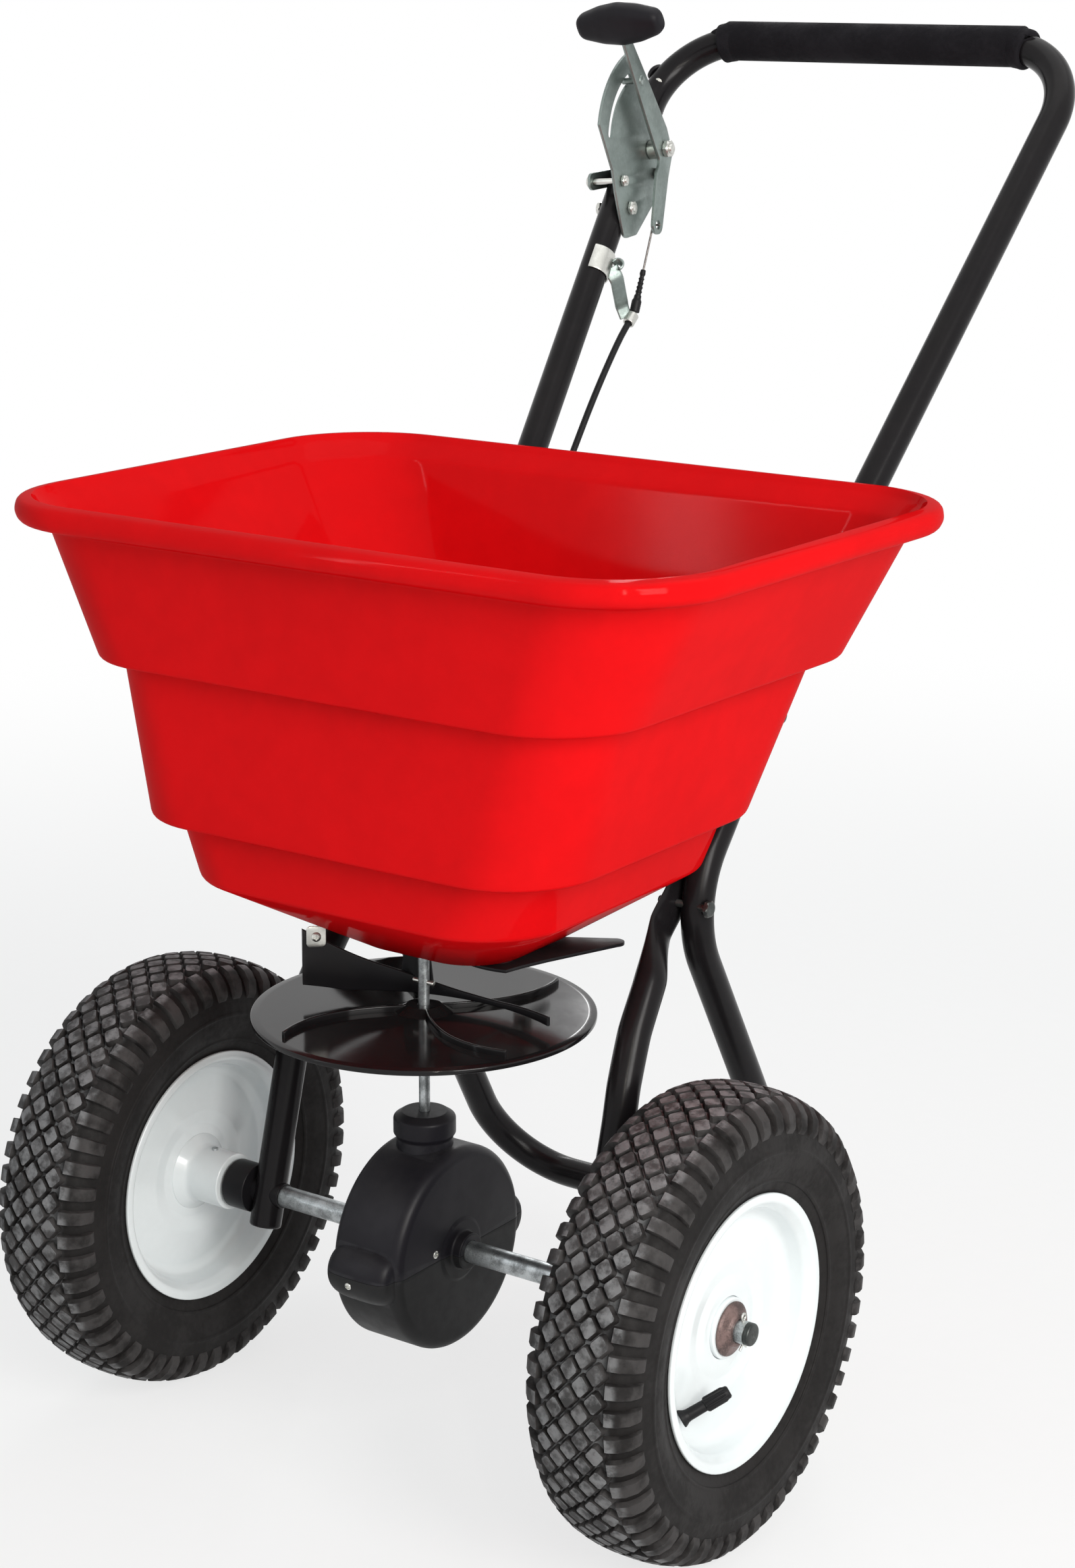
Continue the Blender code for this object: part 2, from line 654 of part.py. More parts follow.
def build_frame(chassis, finishes):
    """Handle, grip, rear frame, front legs and the bolts that hold them together."""
    path = bent_path(handle_path())
    lean = Vector((0, HANDLE_LEAN, 1)).normalized()
    for end in (0, -1):
        step = lean * SPIGOT_LENGTH
        tip = path[end] - step
        if end == 0:
            path[0:0] = [tip, path[0] - lean * GAP]
        else:
            path += [path[-1] - lean * GAP, tip]
    sections = [SPIGOT_RADIUS] * 2 + [TUBE_RADIUS] * (len(path) - 4) + [SPIGOT_RADIUS] * 2
    shoulder = TUBE_WALL + TUBE_RADIUS - SPIGOT_RADIUS
    walls = [TUBE_WALL] * 2 + [shoulder] + [TUBE_WALL] * (len(path) - 6) + [shoulder] + [TUBE_WALL] * 2
    handle = place(
        "handle_tube", tube("handle tube", path, sections, walls), chassis, finishes["paint"]
    )

    bar = bent_path(handle_path())
    middle = len(bar) // 2
    inner = [p for p in bar if abs(p.x) < GRIP_HALF_LENGTH and p.z > HANDLE_TOP_Z - 0.02]
    ends = []
    for sign in (1, -1):
        out = [p for p in bar[:middle] if p.x >= GRIP_HALF_LENGTH and p.z > 0.9 * HANDLE_TOP_Z][-1]
        near = inner[0]
        share = (GRIP_HALF_LENGTH - near.x) / (out.x - near.x)
        point = near.lerp(out, share)
        ends.append(Vector((sign * point.x, point.y, point.z)))
    grip_path = [ends[0], *inner, ends[1]]
    sleeve = tube("grip", grip_path, GRIP_RADIUS, sides=12)
    grip = place("handle_grip", sleeve, chassis, finishes["foam"])
    core = cutter("grip bore", tube("grip bore", bar, TUBE_RADIUS + GAP), chassis)
    combine(grip, [core])

    rear_path = bent_path(frame_path())
    rear = place(
        "rear_frame", tube("rear frame", rear_path, TUBE_RADIUS, walls=TUBE_WALL),
        chassis, finishes["paint"],
    )
    nest = cutter("frame nest", tube("frame nest", rear_path, TUBE_RADIUS + NEST), chassis)
    thick_nest = cutter(
        "frame nest wall", tube("frame nest wall", rear_path, TUBE_RADIUS + NEST + WALL), chassis
    )
    nests, thick_nests = [nest], [thick_nest]

    for side, label in ((-1, "left"), (1, "right")):
        path, sections = leg_stations(side)
        leg = place(
            label + "_leg", tube("leg", path, sections, walls=TUBE_WALL), chassis, finishes["paint"]
        )
        sleeve_hole = cutter(
            label + " axle hole", rod("axle hole", -0.03, 0.03, SLEEVE_RADIUS + GAP, 16), chassis,
            (side * LEG_X, 0, 0),
        )
        grown = [
            (s[0] + NEST, s[1] + NEST) if isinstance(s, tuple) else s + NEST for s in sections
        ]
        thick = [
            (s[0] + WALL, s[1] + WALL) if isinstance(s, tuple) else s + WALL for s in grown
        ]
        past = path[-1] + (path[-1] - path[-2]).normalized() * NEST
        nests.append(cutter(label + " leg nest", tube("n", path[:-1] + [past], grown), chassis))
        past = path[-1] + (path[-1] - path[-2]).normalized() * (NEST + WALL)
        thick_nests.append(
            cutter(label + " leg nest wall", tube("n", path[:-1] + [past], thick), chassis)
        )
        bolt_hole = cutter(
            label + " leg bolt hole", rod("bolt hole", -0.05, 0.05, 0.0033, 10), chassis,
            (side * FRAME_X, LEG_BOLT_Y, LEG_BOLT_Z),
        )
        combine(leg, [sleeve_hole, bolt_hole])
        combine(rear, [bolt_hole])
        stack = 2 * TUBE_RADIUS + GAP + 2 * LEG_FLAT
        flip = None if side < 0 else Matrix.Rotation(math.pi, 3, "Z").to_quaternion()
        place(
            label + "_leg_bolt", bolt("leg bolt", stack, 0.003, 0.0065, 0.004, 0.005), chassis,
            finishes["zinc"], (side * (FRAME_X + TUBE_RADIUS), LEG_BOLT_Y, LEG_BOLT_Z), flip,
        )

        joint_z = JOINT_Z - 0.55 * SPIGOT_LENGTH
        at = (side * FRAME_X, handle_y(joint_z), joint_z)
        joint_hole = cutter(
            label + " joint hole", rod("joint hole", -0.02, 0.02, 0.0033, 10), chassis, at
        )
        combine(handle, [joint_hole])
        combine(rear, [joint_hole])
        place(
            label + "_handle_bolt",
            bolt("handle bolt", 2 * TUBE_RADIUS, 0.003, 0.0065, 0.004, 0.005), chassis,
            finishes["zinc"], (side * (FRAME_X + TUBE_RADIUS), at[1], at[2]), flip,
        )
    return handle, rear, nests, thick_nests


# Hopper


def outline_loop(level, inset=0.0, lift=0.0):
    """A rounded rectangle at one height of the hopper."""
    half, front, back, corner, height = level
    half, front, back = half - inset, front + inset, back - inset
    radius = max(corner - inset, 0.3 * corner)
    corners = ((half, back, 0), (-half, back, 90), (-half, front, 180), (half, front, 270))
    loop = []
    for x, y, start in corners:
        middle = (x - math.copysign(radius, x), (y - radius) if start < 180 else (y + radius))
        loop += [(px, py, height + lift)
                 for px, py in arc(middle, radius, start, start + 90, CORNER_STEPS)]
    return loop


def lofted(name, loops):
    """A closed skin through loops of equal count, flat at both ends."""
    bm = bmesh.new()
    rings = [[bm.verts.new(p) for p in loop] for loop in loops]
    count = len(rings[0])
    for ring, following in zip(rings, rings[1:]):
        for k in range(count):
            n = (k + 1) % count
            bm.faces.new((ring[k], ring[n], following[n], following[k]))
    bm.faces.new(rings[0])
    bm.faces.new(rings[-1])
    return finished_mesh(bm, name)


def build_hopper(chassis, finishes, nests, thick_nests):
    """The moulded hopper: stepped shell with channels for the frame, outlet and shaft holes."""
    outer = [outline_loop(level) for level in (HOPPER_FLOOR, *HOPPER_SIDES)]
    hopper = place("hopper", lofted("hopper", outer), chassis, finishes["hopper"])
    inner = [outline_loop(HOPPER_FLOOR, 0.3 * WALL, WALL)]
    inner.append(outline_loop(HOPPER_SIDES[0], WALL, 0.55 * WALL))
    inner += [outline_loop(level, WALL, WALL) for level in HOPPER_SIDES[1:]]
    hollow = cutter("hopper hollow", lofted("hopper hollow", inner), chassis)
    combine(hollow, thick_nests)
    pivot = (*SHUTTER_PIVOT, FLOOR_Z)
    outlet = polar(SHUTTER_PIVOT, OUTLET_ARM, OUTLET_ANGLE)
    holes = [
        ("shaft hole", SHAFT_RADIUS + 2 * GAP + 0.0035, (0, 0, FLOOR_Z), 16),
        ("outlet hole", OUTLET_RADIUS, (*outlet, FLOOR_Z), 20),
        ("pivot hole", 0.003 + GAP, pivot, 10),
        ("cable bracket hole", 0.0025 + GAP, (BRACKET_X, BRACKET_SCREW_Y, FLOOR_Z), 10),
    ]
    tools = [
        cutter(name, rod(name, -0.02, 0.02, radius, steps, "Z"), chassis, at)
        for name, radius, at, steps in holes
    ]
    combine(hopper, nests + [hollow] + tools)

    forward = Vector((0, -1, HANDLE_LEAN)).normalized()
    for side, label in ((-1, "left"), (1, "right")):
        middle = Vector((side * FRAME_X, handle_y(HOPPER_BOLT_Z), HOPPER_BOLT_Z))
        rotation = Vector((1, 0, 0)).rotation_difference(forward)
        bore = cutter(
            label + " hopper bolt hole", rod("bore", -0.03, 0.03, 0.0028, 10), chassis,
            middle, rotation,
        )
        crest = TUBE_RADIUS + NEST + WALL
        seat = cutter(
            label + " hopper nut seat", rod("nut seat", crest, crest + 0.02, 0.0070, 14), chassis,
            middle, rotation,
        )
        combine(hopper, [bore, seat])
        combine(bpy.data.objects["rear_frame"], [bore])
        stack = 2 * TUBE_RADIUS + NEST + WALL
        start = middle - forward * TUBE_RADIUS
        place(
            label + "_hopper_bolt", bolt("hopper bolt", stack, 0.0025, 0.0055, 0.0035, 0.004),
            chassis, finishes["zinc"], start, rotation,
        )
    flange = [
        (FLOOR_Z - 2 * GAP, SHAFT_RADIUS + GAP), (FLOOR_Z - 2 * GAP, SHAFT_RADIUS + 0.0035 + GAP),
        (FLOOR_Z + WALL + GAP, SHAFT_RADIUS + 0.0035 + GAP), (FLOOR_Z + WALL + GAP, 0.0105),
        (FLOOR_Z + WALL + 0.002, 0.0105), (FLOOR_Z + WALL + 0.004, 0.0075),
        (FLOOR_Z + WALL + 0.004, SHAFT_RADIUS + GAP),
    ]
    place("hopper_shaft_bush", turned("bush", flange, 16, "Z", ring=True), chassis, finishes["nylon"])
    return hopper


def polar(centre, radius, degrees):
    """A point at a distance and an angle from a centre in the plane."""
    turn = math.radians(degrees)
    return (centre[0] + radius * math.cos(turn), centre[1] + radius * math.sin(turn))


# Axle, gear case and gears


def build_axle(axle_axis, chassis, finishes):
    """The axle with its pins, and the spacer bushes in the legs."""
    chamfer = 0.001
    axle = place(
        "axle",
        turned(
            "axle",
            [(-AXLE_END_X, 0), (-AXLE_END_X, AXLE_RADIUS - chamfer),
             (-AXLE_END_X + chamfer, AXLE_RADIUS), (AXLE_END_X - chamfer, AXLE_RADIUS),
             (AXLE_END_X, AXLE_RADIUS - chamfer), (AXLE_END_X, 0)],
            20,
        ),
        axle_axis, finishes["steel"],
    )
    for side, label in ((-1, "left"), (1, "right")):
        inner = LEG_X - TUBE_RADIUS - 0.002
        seat = LEG_X + TUBE_RADIUS + GAP
        profile = [
            (inner, AXLE_RADIUS + GAP), (inner, SLEEVE_RADIUS), (seat, SLEEVE_RADIUS),
            (seat, SPACER_RADIUS), (HUB_INNER_X - 0.003, SPACER_RADIUS),
            (HUB_INNER_X - GAP, SPACER_RADIUS - 0.003), (HUB_INNER_X - GAP, AXLE_RADIUS + GAP),
        ]
        mesh = turned("bush", [(side * a, r) for a, r in profile], 12, "X", ring=True)
        place(label + "_axle_bush", mesh, chassis, finishes["plastic"])
    return axle


def cross_pin(name, at, radius, half_length, axis, parent, finish, targets, chamfer=0.0005):
    """A pin across an axis, with the holes that it goes through."""
    pin = turned(
        name,
        [(-half_length, 0), (-half_length, radius - chamfer), (-half_length + chamfer, radius),
         (half_length - chamfer, radius), (half_length, radius - chamfer), (half_length, 0)],
        10, axis,
    )
    place(name, pin, parent, finish, at)
    bore = cutter(name + " hole", rod("pin hole", -2 * half_length, 2 * half_length,
                                      radius + GAP / 2, 10, axis), parent, at)
    for target in targets:
        combine(target, [bore])


def tooth_prisms():
    """The crown gear's teeth: tapered blocks standing on its face, towards +X."""
    bm = bmesh.new()
    root_x = -PINION_PITCH_RADIUS - TOOTH_DROP
    for tooth in range(CROWN_TEETH):
        middle = 2 * math.pi * (tooth + 0.5) / CROWN_TEETH
        corners = []
        stations = ((root_x - 0.001, 0.0026), (-PINION_PITCH_RADIUS + TOOTH_RISE, 0.0012))
        for x, half in stations:
            for radius in (-TOOTH_FACE / 2, TOOTH_FACE / 2):
                for sign in (-1, 1):
                    reach = CROWN_PITCH_RADIUS + radius
                    spread = sign * half * (1 + 0.6 * radius / CROWN_PITCH_RADIUS)
                    y = reach * math.sin(middle) + spread * math.cos(middle)
                    z = reach * math.cos(middle) - spread * math.sin(middle)
                    corners.append(bm.verts.new((x, y, z)))
        a, b, c, d, e, f, g, h = corners
        for face in ((a, b, d, c), (e, f, h, g), (a, b, f, e), (c, d, h, g), (a, c, g, e), (b, d, h, f)):
            bm.faces.new(face)
    return finished_mesh(bm, "crown teeth")


def pinion_outline():
    """Eight tapered teeth round a hub; one tooth points to -X, at the crown gear."""
    points = []
    for tooth in range(PINION_TEETH):
        middle = 180 + 360 * tooth / PINION_TEETH
        stations = (
            (PINION_PITCH_RADIUS - TOOTH_DROP, -0.0027),
            (PINION_PITCH_RADIUS + TOOTH_RISE, -0.0010),
            (PINION_PITCH_RADIUS + TOOTH_RISE, 0.0010),
            (PINION_PITCH_RADIUS - TOOTH_DROP, 0.0027),
        )
        for reach, across in stations:
            points.append(polar((0, 0), math.hypot(reach, across),
                                middle + math.degrees(math.atan2(across, reach))))
    return points


def build_gears(axle_axis, shaft_axis, finishes, axle):
    """The crown gear on the axle and the pinion on the upright shaft, in mesh at rest."""
    root_x = -PINION_PITCH_RADIUS - TOOTH_DROP
    back = CASE_LEFT + CASE_WALL + 0.0012
    reach = CROWN_PITCH_RADIUS + TOOTH_FACE / 2 + 0.001
    profile = [
        (back, AXLE_RADIUS + GAP), (back, reach), (root_x, reach),
        (root_x, CROWN_PITCH_RADIUS - TOOTH_FACE / 2 - 0.001),
        (root_x - 0.0012, CROWN_PITCH_RADIUS - TOOTH_FACE / 2 - 0.003), (root_x - 0.0012, 0.017),
        (0.012, 0.015), (0.012, AXLE_RADIUS + GAP),
    ]
    crown = place(
        "crown_gear", turned("crown gear", profile, 32, "X", ring=True), axle_axis,
        finishes["cast"],
    )
    combine(crown, [cutter("crown teeth", tooth_prisms(), axle_axis)], "UNION")
    cross_pin("crown_gear_pin", (0.004, 0, 0), 0.002, 0.0145, "Z", axle_axis, finishes["zinc"],
              [crown, axle])
    low = CROWN_PITCH_RADIUS - TOOTH_FACE / 2 + 0.0005
    pinion = plate("pinion", pinion_outline(), TOOTH_FACE - 0.001,
                   [hole((0, 0), SHAFT_RADIUS + GAP, 10)])
    place("pinion", pinion, shaft_axis, finishes["cast"], (0, 0, low + (TOOTH_FACE - 0.001) / 2))


def case_profile(inset=0.0):
    """The drum's outline from the middle out, or its inner face when drawn in by the wall."""
    left, right = CASE_LEFT + inset, CASE_RIGHT - inset
    reach, fillet = CASE_RADIUS - inset, CASE_ROUND - inset / 2
    steps = 2 if inset else 3
    profile = [(left, 0)]
    profile += arc((left + fillet, reach - fillet), fillet, 180, 90, steps)
    profile += arc((right - fillet, reach - fillet), fillet, 90, 0, steps)
    if inset:
        return profile + [(right, 0)]
    return profile + [(right, BOSS_RADIUS + 0.004), (right + 0.002, BOSS_RADIUS + 0.001),
                      (BOSS_END - 0.001, BOSS_RADIUS), (BOSS_END, BOSS_RADIUS - 0.001),
                      (BOSS_END, 0)]


def build_case(chassis, finishes):
    """The two halves of the gear case: rounded drum, necks, lips, axle and shaft bores."""
    inside = cutter("case hollow", turned("case hollow", case_profile(CASE_WALL), 20), chassis)
    axle_bore = cutter(
        "case axle bore", rod("case axle bore", -0.1, 0.1, AXLE_RADIUS + GAP, 20), chassis
    )
    shaft_bore = cutter(
        "case shaft bore", rod("case shaft bore", 0.05, 0.15, SHAFT_RADIUS + GAP, 12, "Z"), chassis
    )
    neck = cutter(
        "case neck",
        turned(
            "case neck",
            [(CASE_RADIUS - 0.020, 0), (CASE_RADIUS - 0.020, NECK_WAIST),
             (CASE_RADIUS + 0.004, NECK_WAIST), (CASE_RADIUS + 0.008, NECK_RADIUS),
             (NECK_TOP - 0.005, NECK_RADIUS), (NECK_TOP - 0.001, NECK_RADIUS - 0.0025),
             (NECK_TOP, NECK_RADIUS - 0.006), (NECK_TOP, 0)],
            20, "Z",
        ),
        chassis,
    )
    low, high = CASE_LEFT + 0.003, CASE_RIGHT - 0.010
    lip = turned(
        "case lip",
        [(low, 0), (low, LIP_RADIUS - 0.002), (low + 0.002, LIP_RADIUS),
         (high - 0.002, LIP_RADIUS), (high, LIP_RADIUS - 0.002), (high, 0)],
        12, phase=math.pi / 12,
    )
    for label, floor, ceiling in (("upper", GAP / 2, 0.2), ("lower", -0.2, -GAP / 2)):
        name = "gear_case_" + label
        shell = place(name, turned(name, case_profile(), 26), chassis, finishes["case"])
        joined = [
            cutter(f"{label} {side} lip", lip, chassis, (0, y, 0))
            for side, y in (("front", -LIP_Y), ("back", LIP_Y))
        ]
        if label == "upper":
            joined.append(neck)
        combine(shell, joined, "UNION")
        keep = cutter(
            label + " case half", block("case half", (-0.1, -0.1, floor), (0.1, 0.1, ceiling)),
            chassis,
        )
        combine(shell, [keep], "INTERSECT")
        combine(shell, [inside, axle_bore] + ([shaft_bore] if label == "upper" else []))


# Disc, shaft, stirrer


def build_spinner(shaft_axis, finishes):
    """The upright shaft, the spinning disc with its fins, the cross pin and the stirrer."""
    shaft = place(
        "upright_shaft",
        rod("upright shaft", CROWN_PITCH_RADIUS - TOOTH_FACE, SHAFT_TOP, SHAFT_RADIUS, 12, "Z"),
        shaft_axis, finishes["steel"],
    )
    base = DISC_Z - DISC_THICK
    profile = [
        (base - 0.010, SHAFT_RADIUS + GAP), (base - 0.010, 0.013), (base - 0.002, 0.016),
        (base, 0.022), (base + 0.0004, DISC_RADIUS - 0.004), (base - 0.0012, DISC_RADIUS),
        (DISC_Z - 0.001, DISC_RADIUS), (DISC_Z, DISC_RADIUS - 0.004), (DISC_Z, 0.020),
        (DISC_Z + FIN_HEIGHT, 0.012), (DISC_Z + FIN_HEIGHT, SHAFT_RADIUS + GAP),
    ]
    disc = place(
        "spinner_disc", turned("spinner disc", profile, 36, "Z", ring=True), shaft_axis,
        finishes["gloss"],
    )
    fins = []
    for quarter in range(4):
        line = [polar((0, 0), 0.010 + 0.102 * t, 45 + 90 * quarter + 22 * t * t)
                for t in (0.0, 0.25, 0.5, 0.75, 1.0)]
        path = [Vector((x, y, DISC_Z + FIN_HEIGHT / 2 - 0.0005)) for x, y in line]
        fins.append(cutter(
            f"fin {quarter}",
            fin_mesh(path, 0.0022, FIN_HEIGHT + 0.001), shaft_axis,
        ))
    combine(disc, fins, "UNION")
    cross_pin("cross_pin", (0, 0, CROSS_PIN_Z), 0.0018, 0.0090, "X", shaft_axis, finishes["zinc"],
              [shaft])
    stirrer_path = bent_path(
        [((-0.040, 0, STIRRER_Z + 0.026), 0), ((-0.026, 0, STIRRER_Z), 0.008),
         ((0.026, 0, STIRRER_Z), 0.008), ((0.040, 0, STIRRER_Z + 0.026), 0)], 30
    )
    place("stirrer", cord("stirrer", stirrer_path, STIRRER_RADIUS), shaft_axis, finishes["steel"])
    bore = cutter(
        "stirrer hole", rod("stirrer hole", -0.01, 0.01, STIRRER_RADIUS + GAP, 12), shaft_axis,
        (0, 0, STIRRER_Z),
    )
    combine(shaft, [bore])


def fin_mesh(path, thick, high):
    """A thin upright strip that follows a curve in plan."""
    bm = bmesh.new()
    rings = []
    for i, point in enumerate(path):
        ahead = path[min(i + 1, len(path) - 1)] - path[max(i - 1, 0)]
        across = Vector((-ahead.y, ahead.x, 0)).normalized() * thick / 2
        up = Vector((0, 0, high / 2))
        corners = (point + across - up, point - across - up, point - across + up,
                   point + across + up)
        rings.append([bm.verts.new(c) for c in corners])
    for ring, following in zip(rings, rings[1:]):
        for k in range(4):
            n = (k + 1) % 4
            bm.faces.new((ring[k], ring[n], following[n], following[k]))
    bm.faces.new(rings[0])
    bm.faces.new(rings[-1])
    return finished_mesh(bm, "fin")


# Guard behind the disc


def guard_top(x):
    """Height of the guard's upper edge above the disc, at a distance across."""
    stations = ((-0.083, 0.055), (-0.066, 0.040), (-0.047, 0.029), (-0.013, 0.0185),
                (0.015, 0.0125), (0.045, 0.0105), (0.103, 0.0135))
    for (x0, h0), (x1, h1) in zip(stations, stations[1:]):
        if x <= x1:
            return h0 + (h1 - h0) * (x - x0) / (x1 - x0)
    return stations[-1][1]


def build_guard(chassis, finishes):
    """The curved wall that stops material being thrown back, its tab and its bracket."""
    bm = bmesh.new()
    rings = []
    steps = 18
    for i in range(steps + 1):
        angle = 139.5 + (66.8 - 139.5) * i / steps
        inner = polar(GUARD_CENTRE, GUARD_RADIUS - GUARD_SHEET / 2, angle)
        outer = polar(GUARD_CENTRE, GUARD_RADIUS + GUARD_SHEET / 2, angle)
        x = polar(GUARD_CENTRE, GUARD_RADIUS, angle)[0]
        low = GUARD_BASE + max(0.0, (-x - 0.060) * 0.25)
        high = DISC_Z + guard_top(x)
        corners = ((*inner, low), (*outer, low), (*outer, high), (*inner, high))
        rings.append([bm.verts.new(c) for c in corners])
    for ring, following in zip(rings, rings[1:]):
        for k in range(4):
            n = (k + 1) % 4
            bm.faces.new((ring[k], ring[n], following[n], following[k]))
    bm.faces.new(rings[0])
    bm.faces.new(rings[-1])
    guard = place("rear_guard", finished_mesh(bm, "guard"), chassis, finishes["plastic"])

    angles = (114.6, 105.0)
    left = polar(GUARD_CENTRE, GUARD_RADIUS, angles[0])
    right = polar(GUARD_CENTRE, GUARD_RADIUS, angles[1])
    top = FLOOR_Z - GAP
    low = DISC_Z + 0.012
    half_low = (right[0] - left[0]) / 2 + 0.002
    half_top = half_low - 0.004
    tab_shape = [(-half_low, low), (half_low, low), (half_top, top), (-half_top, top)]
    tab = plate("guard tab", tab_shape, GUARD_SHEET)
    middle = ((left[0] + right[0]) / 2, (left[1] + right[1]) / 2 + GUARD_SHEET / 4)
    rotation = Matrix.Rotation(math.pi / 2, 3, "X").to_quaternion()
    tab_cut = cutter("guard tab", tab, chassis, (*middle, 0), rotation)
    foot = cutter(
        "guard foot",
        block("guard foot", (-half_top, -0.001, FLOOR_Z - GAP - GUARD_SHEET),
              (half_top, 0.012, FLOOR_Z - GAP)), chassis, (*middle, 0),
    )
    combine(guard, [tab_cut, foot], "UNION")

    angle = 136.0
    at = polar(GUARD_CENTRE, GUARD_RADIUS - GUARD_SHEET / 2 - GAP - 0.001, angle)
    strap_shape = softened([(-0.010, 0.2155, 0.002), (0.010, 0.2155, 0.002), (0.010, 0.2310, 0.002),
                            (-0.010, 0.2310, 0.002)], 2)
    strap = plate("guard_bracket", strap_shape, 0.0016)
    upright = Matrix.Rotation(math.radians(angle - 90), 3, "Z") @ Matrix.Rotation(math.pi / 2, 3, "X")
    place("guard_bracket", strap, chassis, finishes["zinc"], (*at, 0), upright.to_quaternion())


# Shutter


def build_shutter(shutter_axis, chassis, finishes):
    """The plate that opens and shuts the outlet, its pivot bolt and the cable's bracket."""
    origin = (0, 0)
    outline = list(arc(polar(origin, LUG_ARM, LUG_ANGLE), 0.0065, LUG_ANGLE - 80, LUG_ANGLE + 30, 4))
    outline += list(arc(origin, SHUTTER_RADIUS, 217, 287, 10))
    outline += [polar(origin, 0.045, 297), polar(origin, 0.033, 325)]
    tip = polar(origin, 0.060, 45)
    outline += list(arc(tip, 0.0070, -38, 128, 5))
    outline += [polar(origin, 0.026, 88), polar(origin, 0.021, 135)]
    shutter = plate(
        "shutter_plate", outline, SHUTTER_THICK,
        [hole(origin, 0.003 + GAP, 10), hole(polar(origin, LUG_ARM, LUG_ANGLE), 0.0015, 8)],
    )
    place("shutter_plate", shutter, shutter_axis, finishes["plastic"])
    stack = WALL + 2 * GAP + SHUTTER_THICK
    down = Matrix.Rotation(-math.pi / 2, 3, "Y").to_quaternion()
    place(
        "shutter_pivot_bolt", bolt("pivot bolt", stack, 0.003, 0.0060, 0.0030, 0.0040, 0.0015),
        chassis, finishes["zinc"], (*SHUTTER_PIVOT, SHUTTER_TOP - SHUTTER_THICK), down,
    )

    seat = FLOOR_Z - GAP
    thick = 0.0018
    flat = block("bracket", (-0.008, BRACKET_SCREW_Y - 0.009, seat - thick),
                 (0.008, BRACKET_Y + thick, seat))
    bracket = place("cable_bracket", flat, chassis, finishes["zinc"], (BRACKET_X, 0, 0))
    drop = cutter(
        "bracket drop",
        block("bracket drop", (-0.008, BRACKET_Y, WIRE_Z - 0.008), (0.008, BRACKET_Y + thick, seat)),
        chassis, (BRACKET_X, 0, 0),
    )
    combine(bracket, [drop], "UNION")
    slot = cutter(
        "bracket wire hole", rod("wire hole", -0.01, 0.01, CASING_RADIUS + GAP, 12), chassis,
        (BRACKET_X, BRACKET_Y, WIRE_Z), Matrix.Rotation(math.pi / 2, 3, "Z").to_quaternion(),
    )
    screw_hole = cutter(
        "bracket screw hole", rod("screw hole", -0.01, 0.01, 0.0025 + GAP, 10, "Z"), chassis,
        (BRACKET_X, BRACKET_SCREW_Y, seat),
    )
    combine(bracket, [slot, screw_hole])
    place(
        "cable_bracket_bolt",
        bolt("bracket bolt", thick + GAP + WALL, 0.0025, 0.0050, 0.0025, 0.0035, 0.0015), chassis,
        finishes["zinc"], (BRACKET_X, BRACKET_SCREW_Y, seat - thick), down,
    )


# Lever


def forward_polar(radius, degrees):
    """A point in the lever's plane: degrees from straight up towards the front."""
    turn = math.radians(degrees)
    return (-radius * math.sin(turn), radius * math.cos(turn))


def lever_outline():
    """The cranked lever: narrow at the knob, broad at the pivot, round at the cable's end."""
    top = forward_polar(KNOB_REACH - 0.016, LEVER_AT_REST)
    low = LEVER_HOOK
    aim = Vector(forward_polar(1, LEVER_AT_REST))
    cross = Vector((aim.y, -aim.x))
    drop = Vector(low).normalized()
    side = Vector((drop.y, -drop.x))
    def point(base, along, direction, sideways, offset):
        return tuple(Vector(base) + direction * along + sideways * offset)
    outline = [
        point(top, 0, aim, cross, 0.0045), point((0, 0), 0.052, aim, cross, 0.0085),
        point((0, 0), 0.012, aim, cross, 0.0125), point((0, 0), 0.0, drop, side, -0.0125),
        point((0, 0), 0.022, drop, side, -0.0095),
    ]
    angle = math.degrees(math.atan2(drop.y, drop.x))
    outline += list(arc(low, 0.0078, angle + 90, angle - 90, 6))
    outline += [
        point((0, 0), 0.022, drop, side, 0.0095), point((0, 0), -0.004, aim, cross, -0.0125),
        point((0, 0), 0.012, aim, cross, -0.0125), point((0, 0), 0.052, aim, cross, -0.0085),
        point(top, 0, aim, cross, -0.0045),
    ]
    return outline


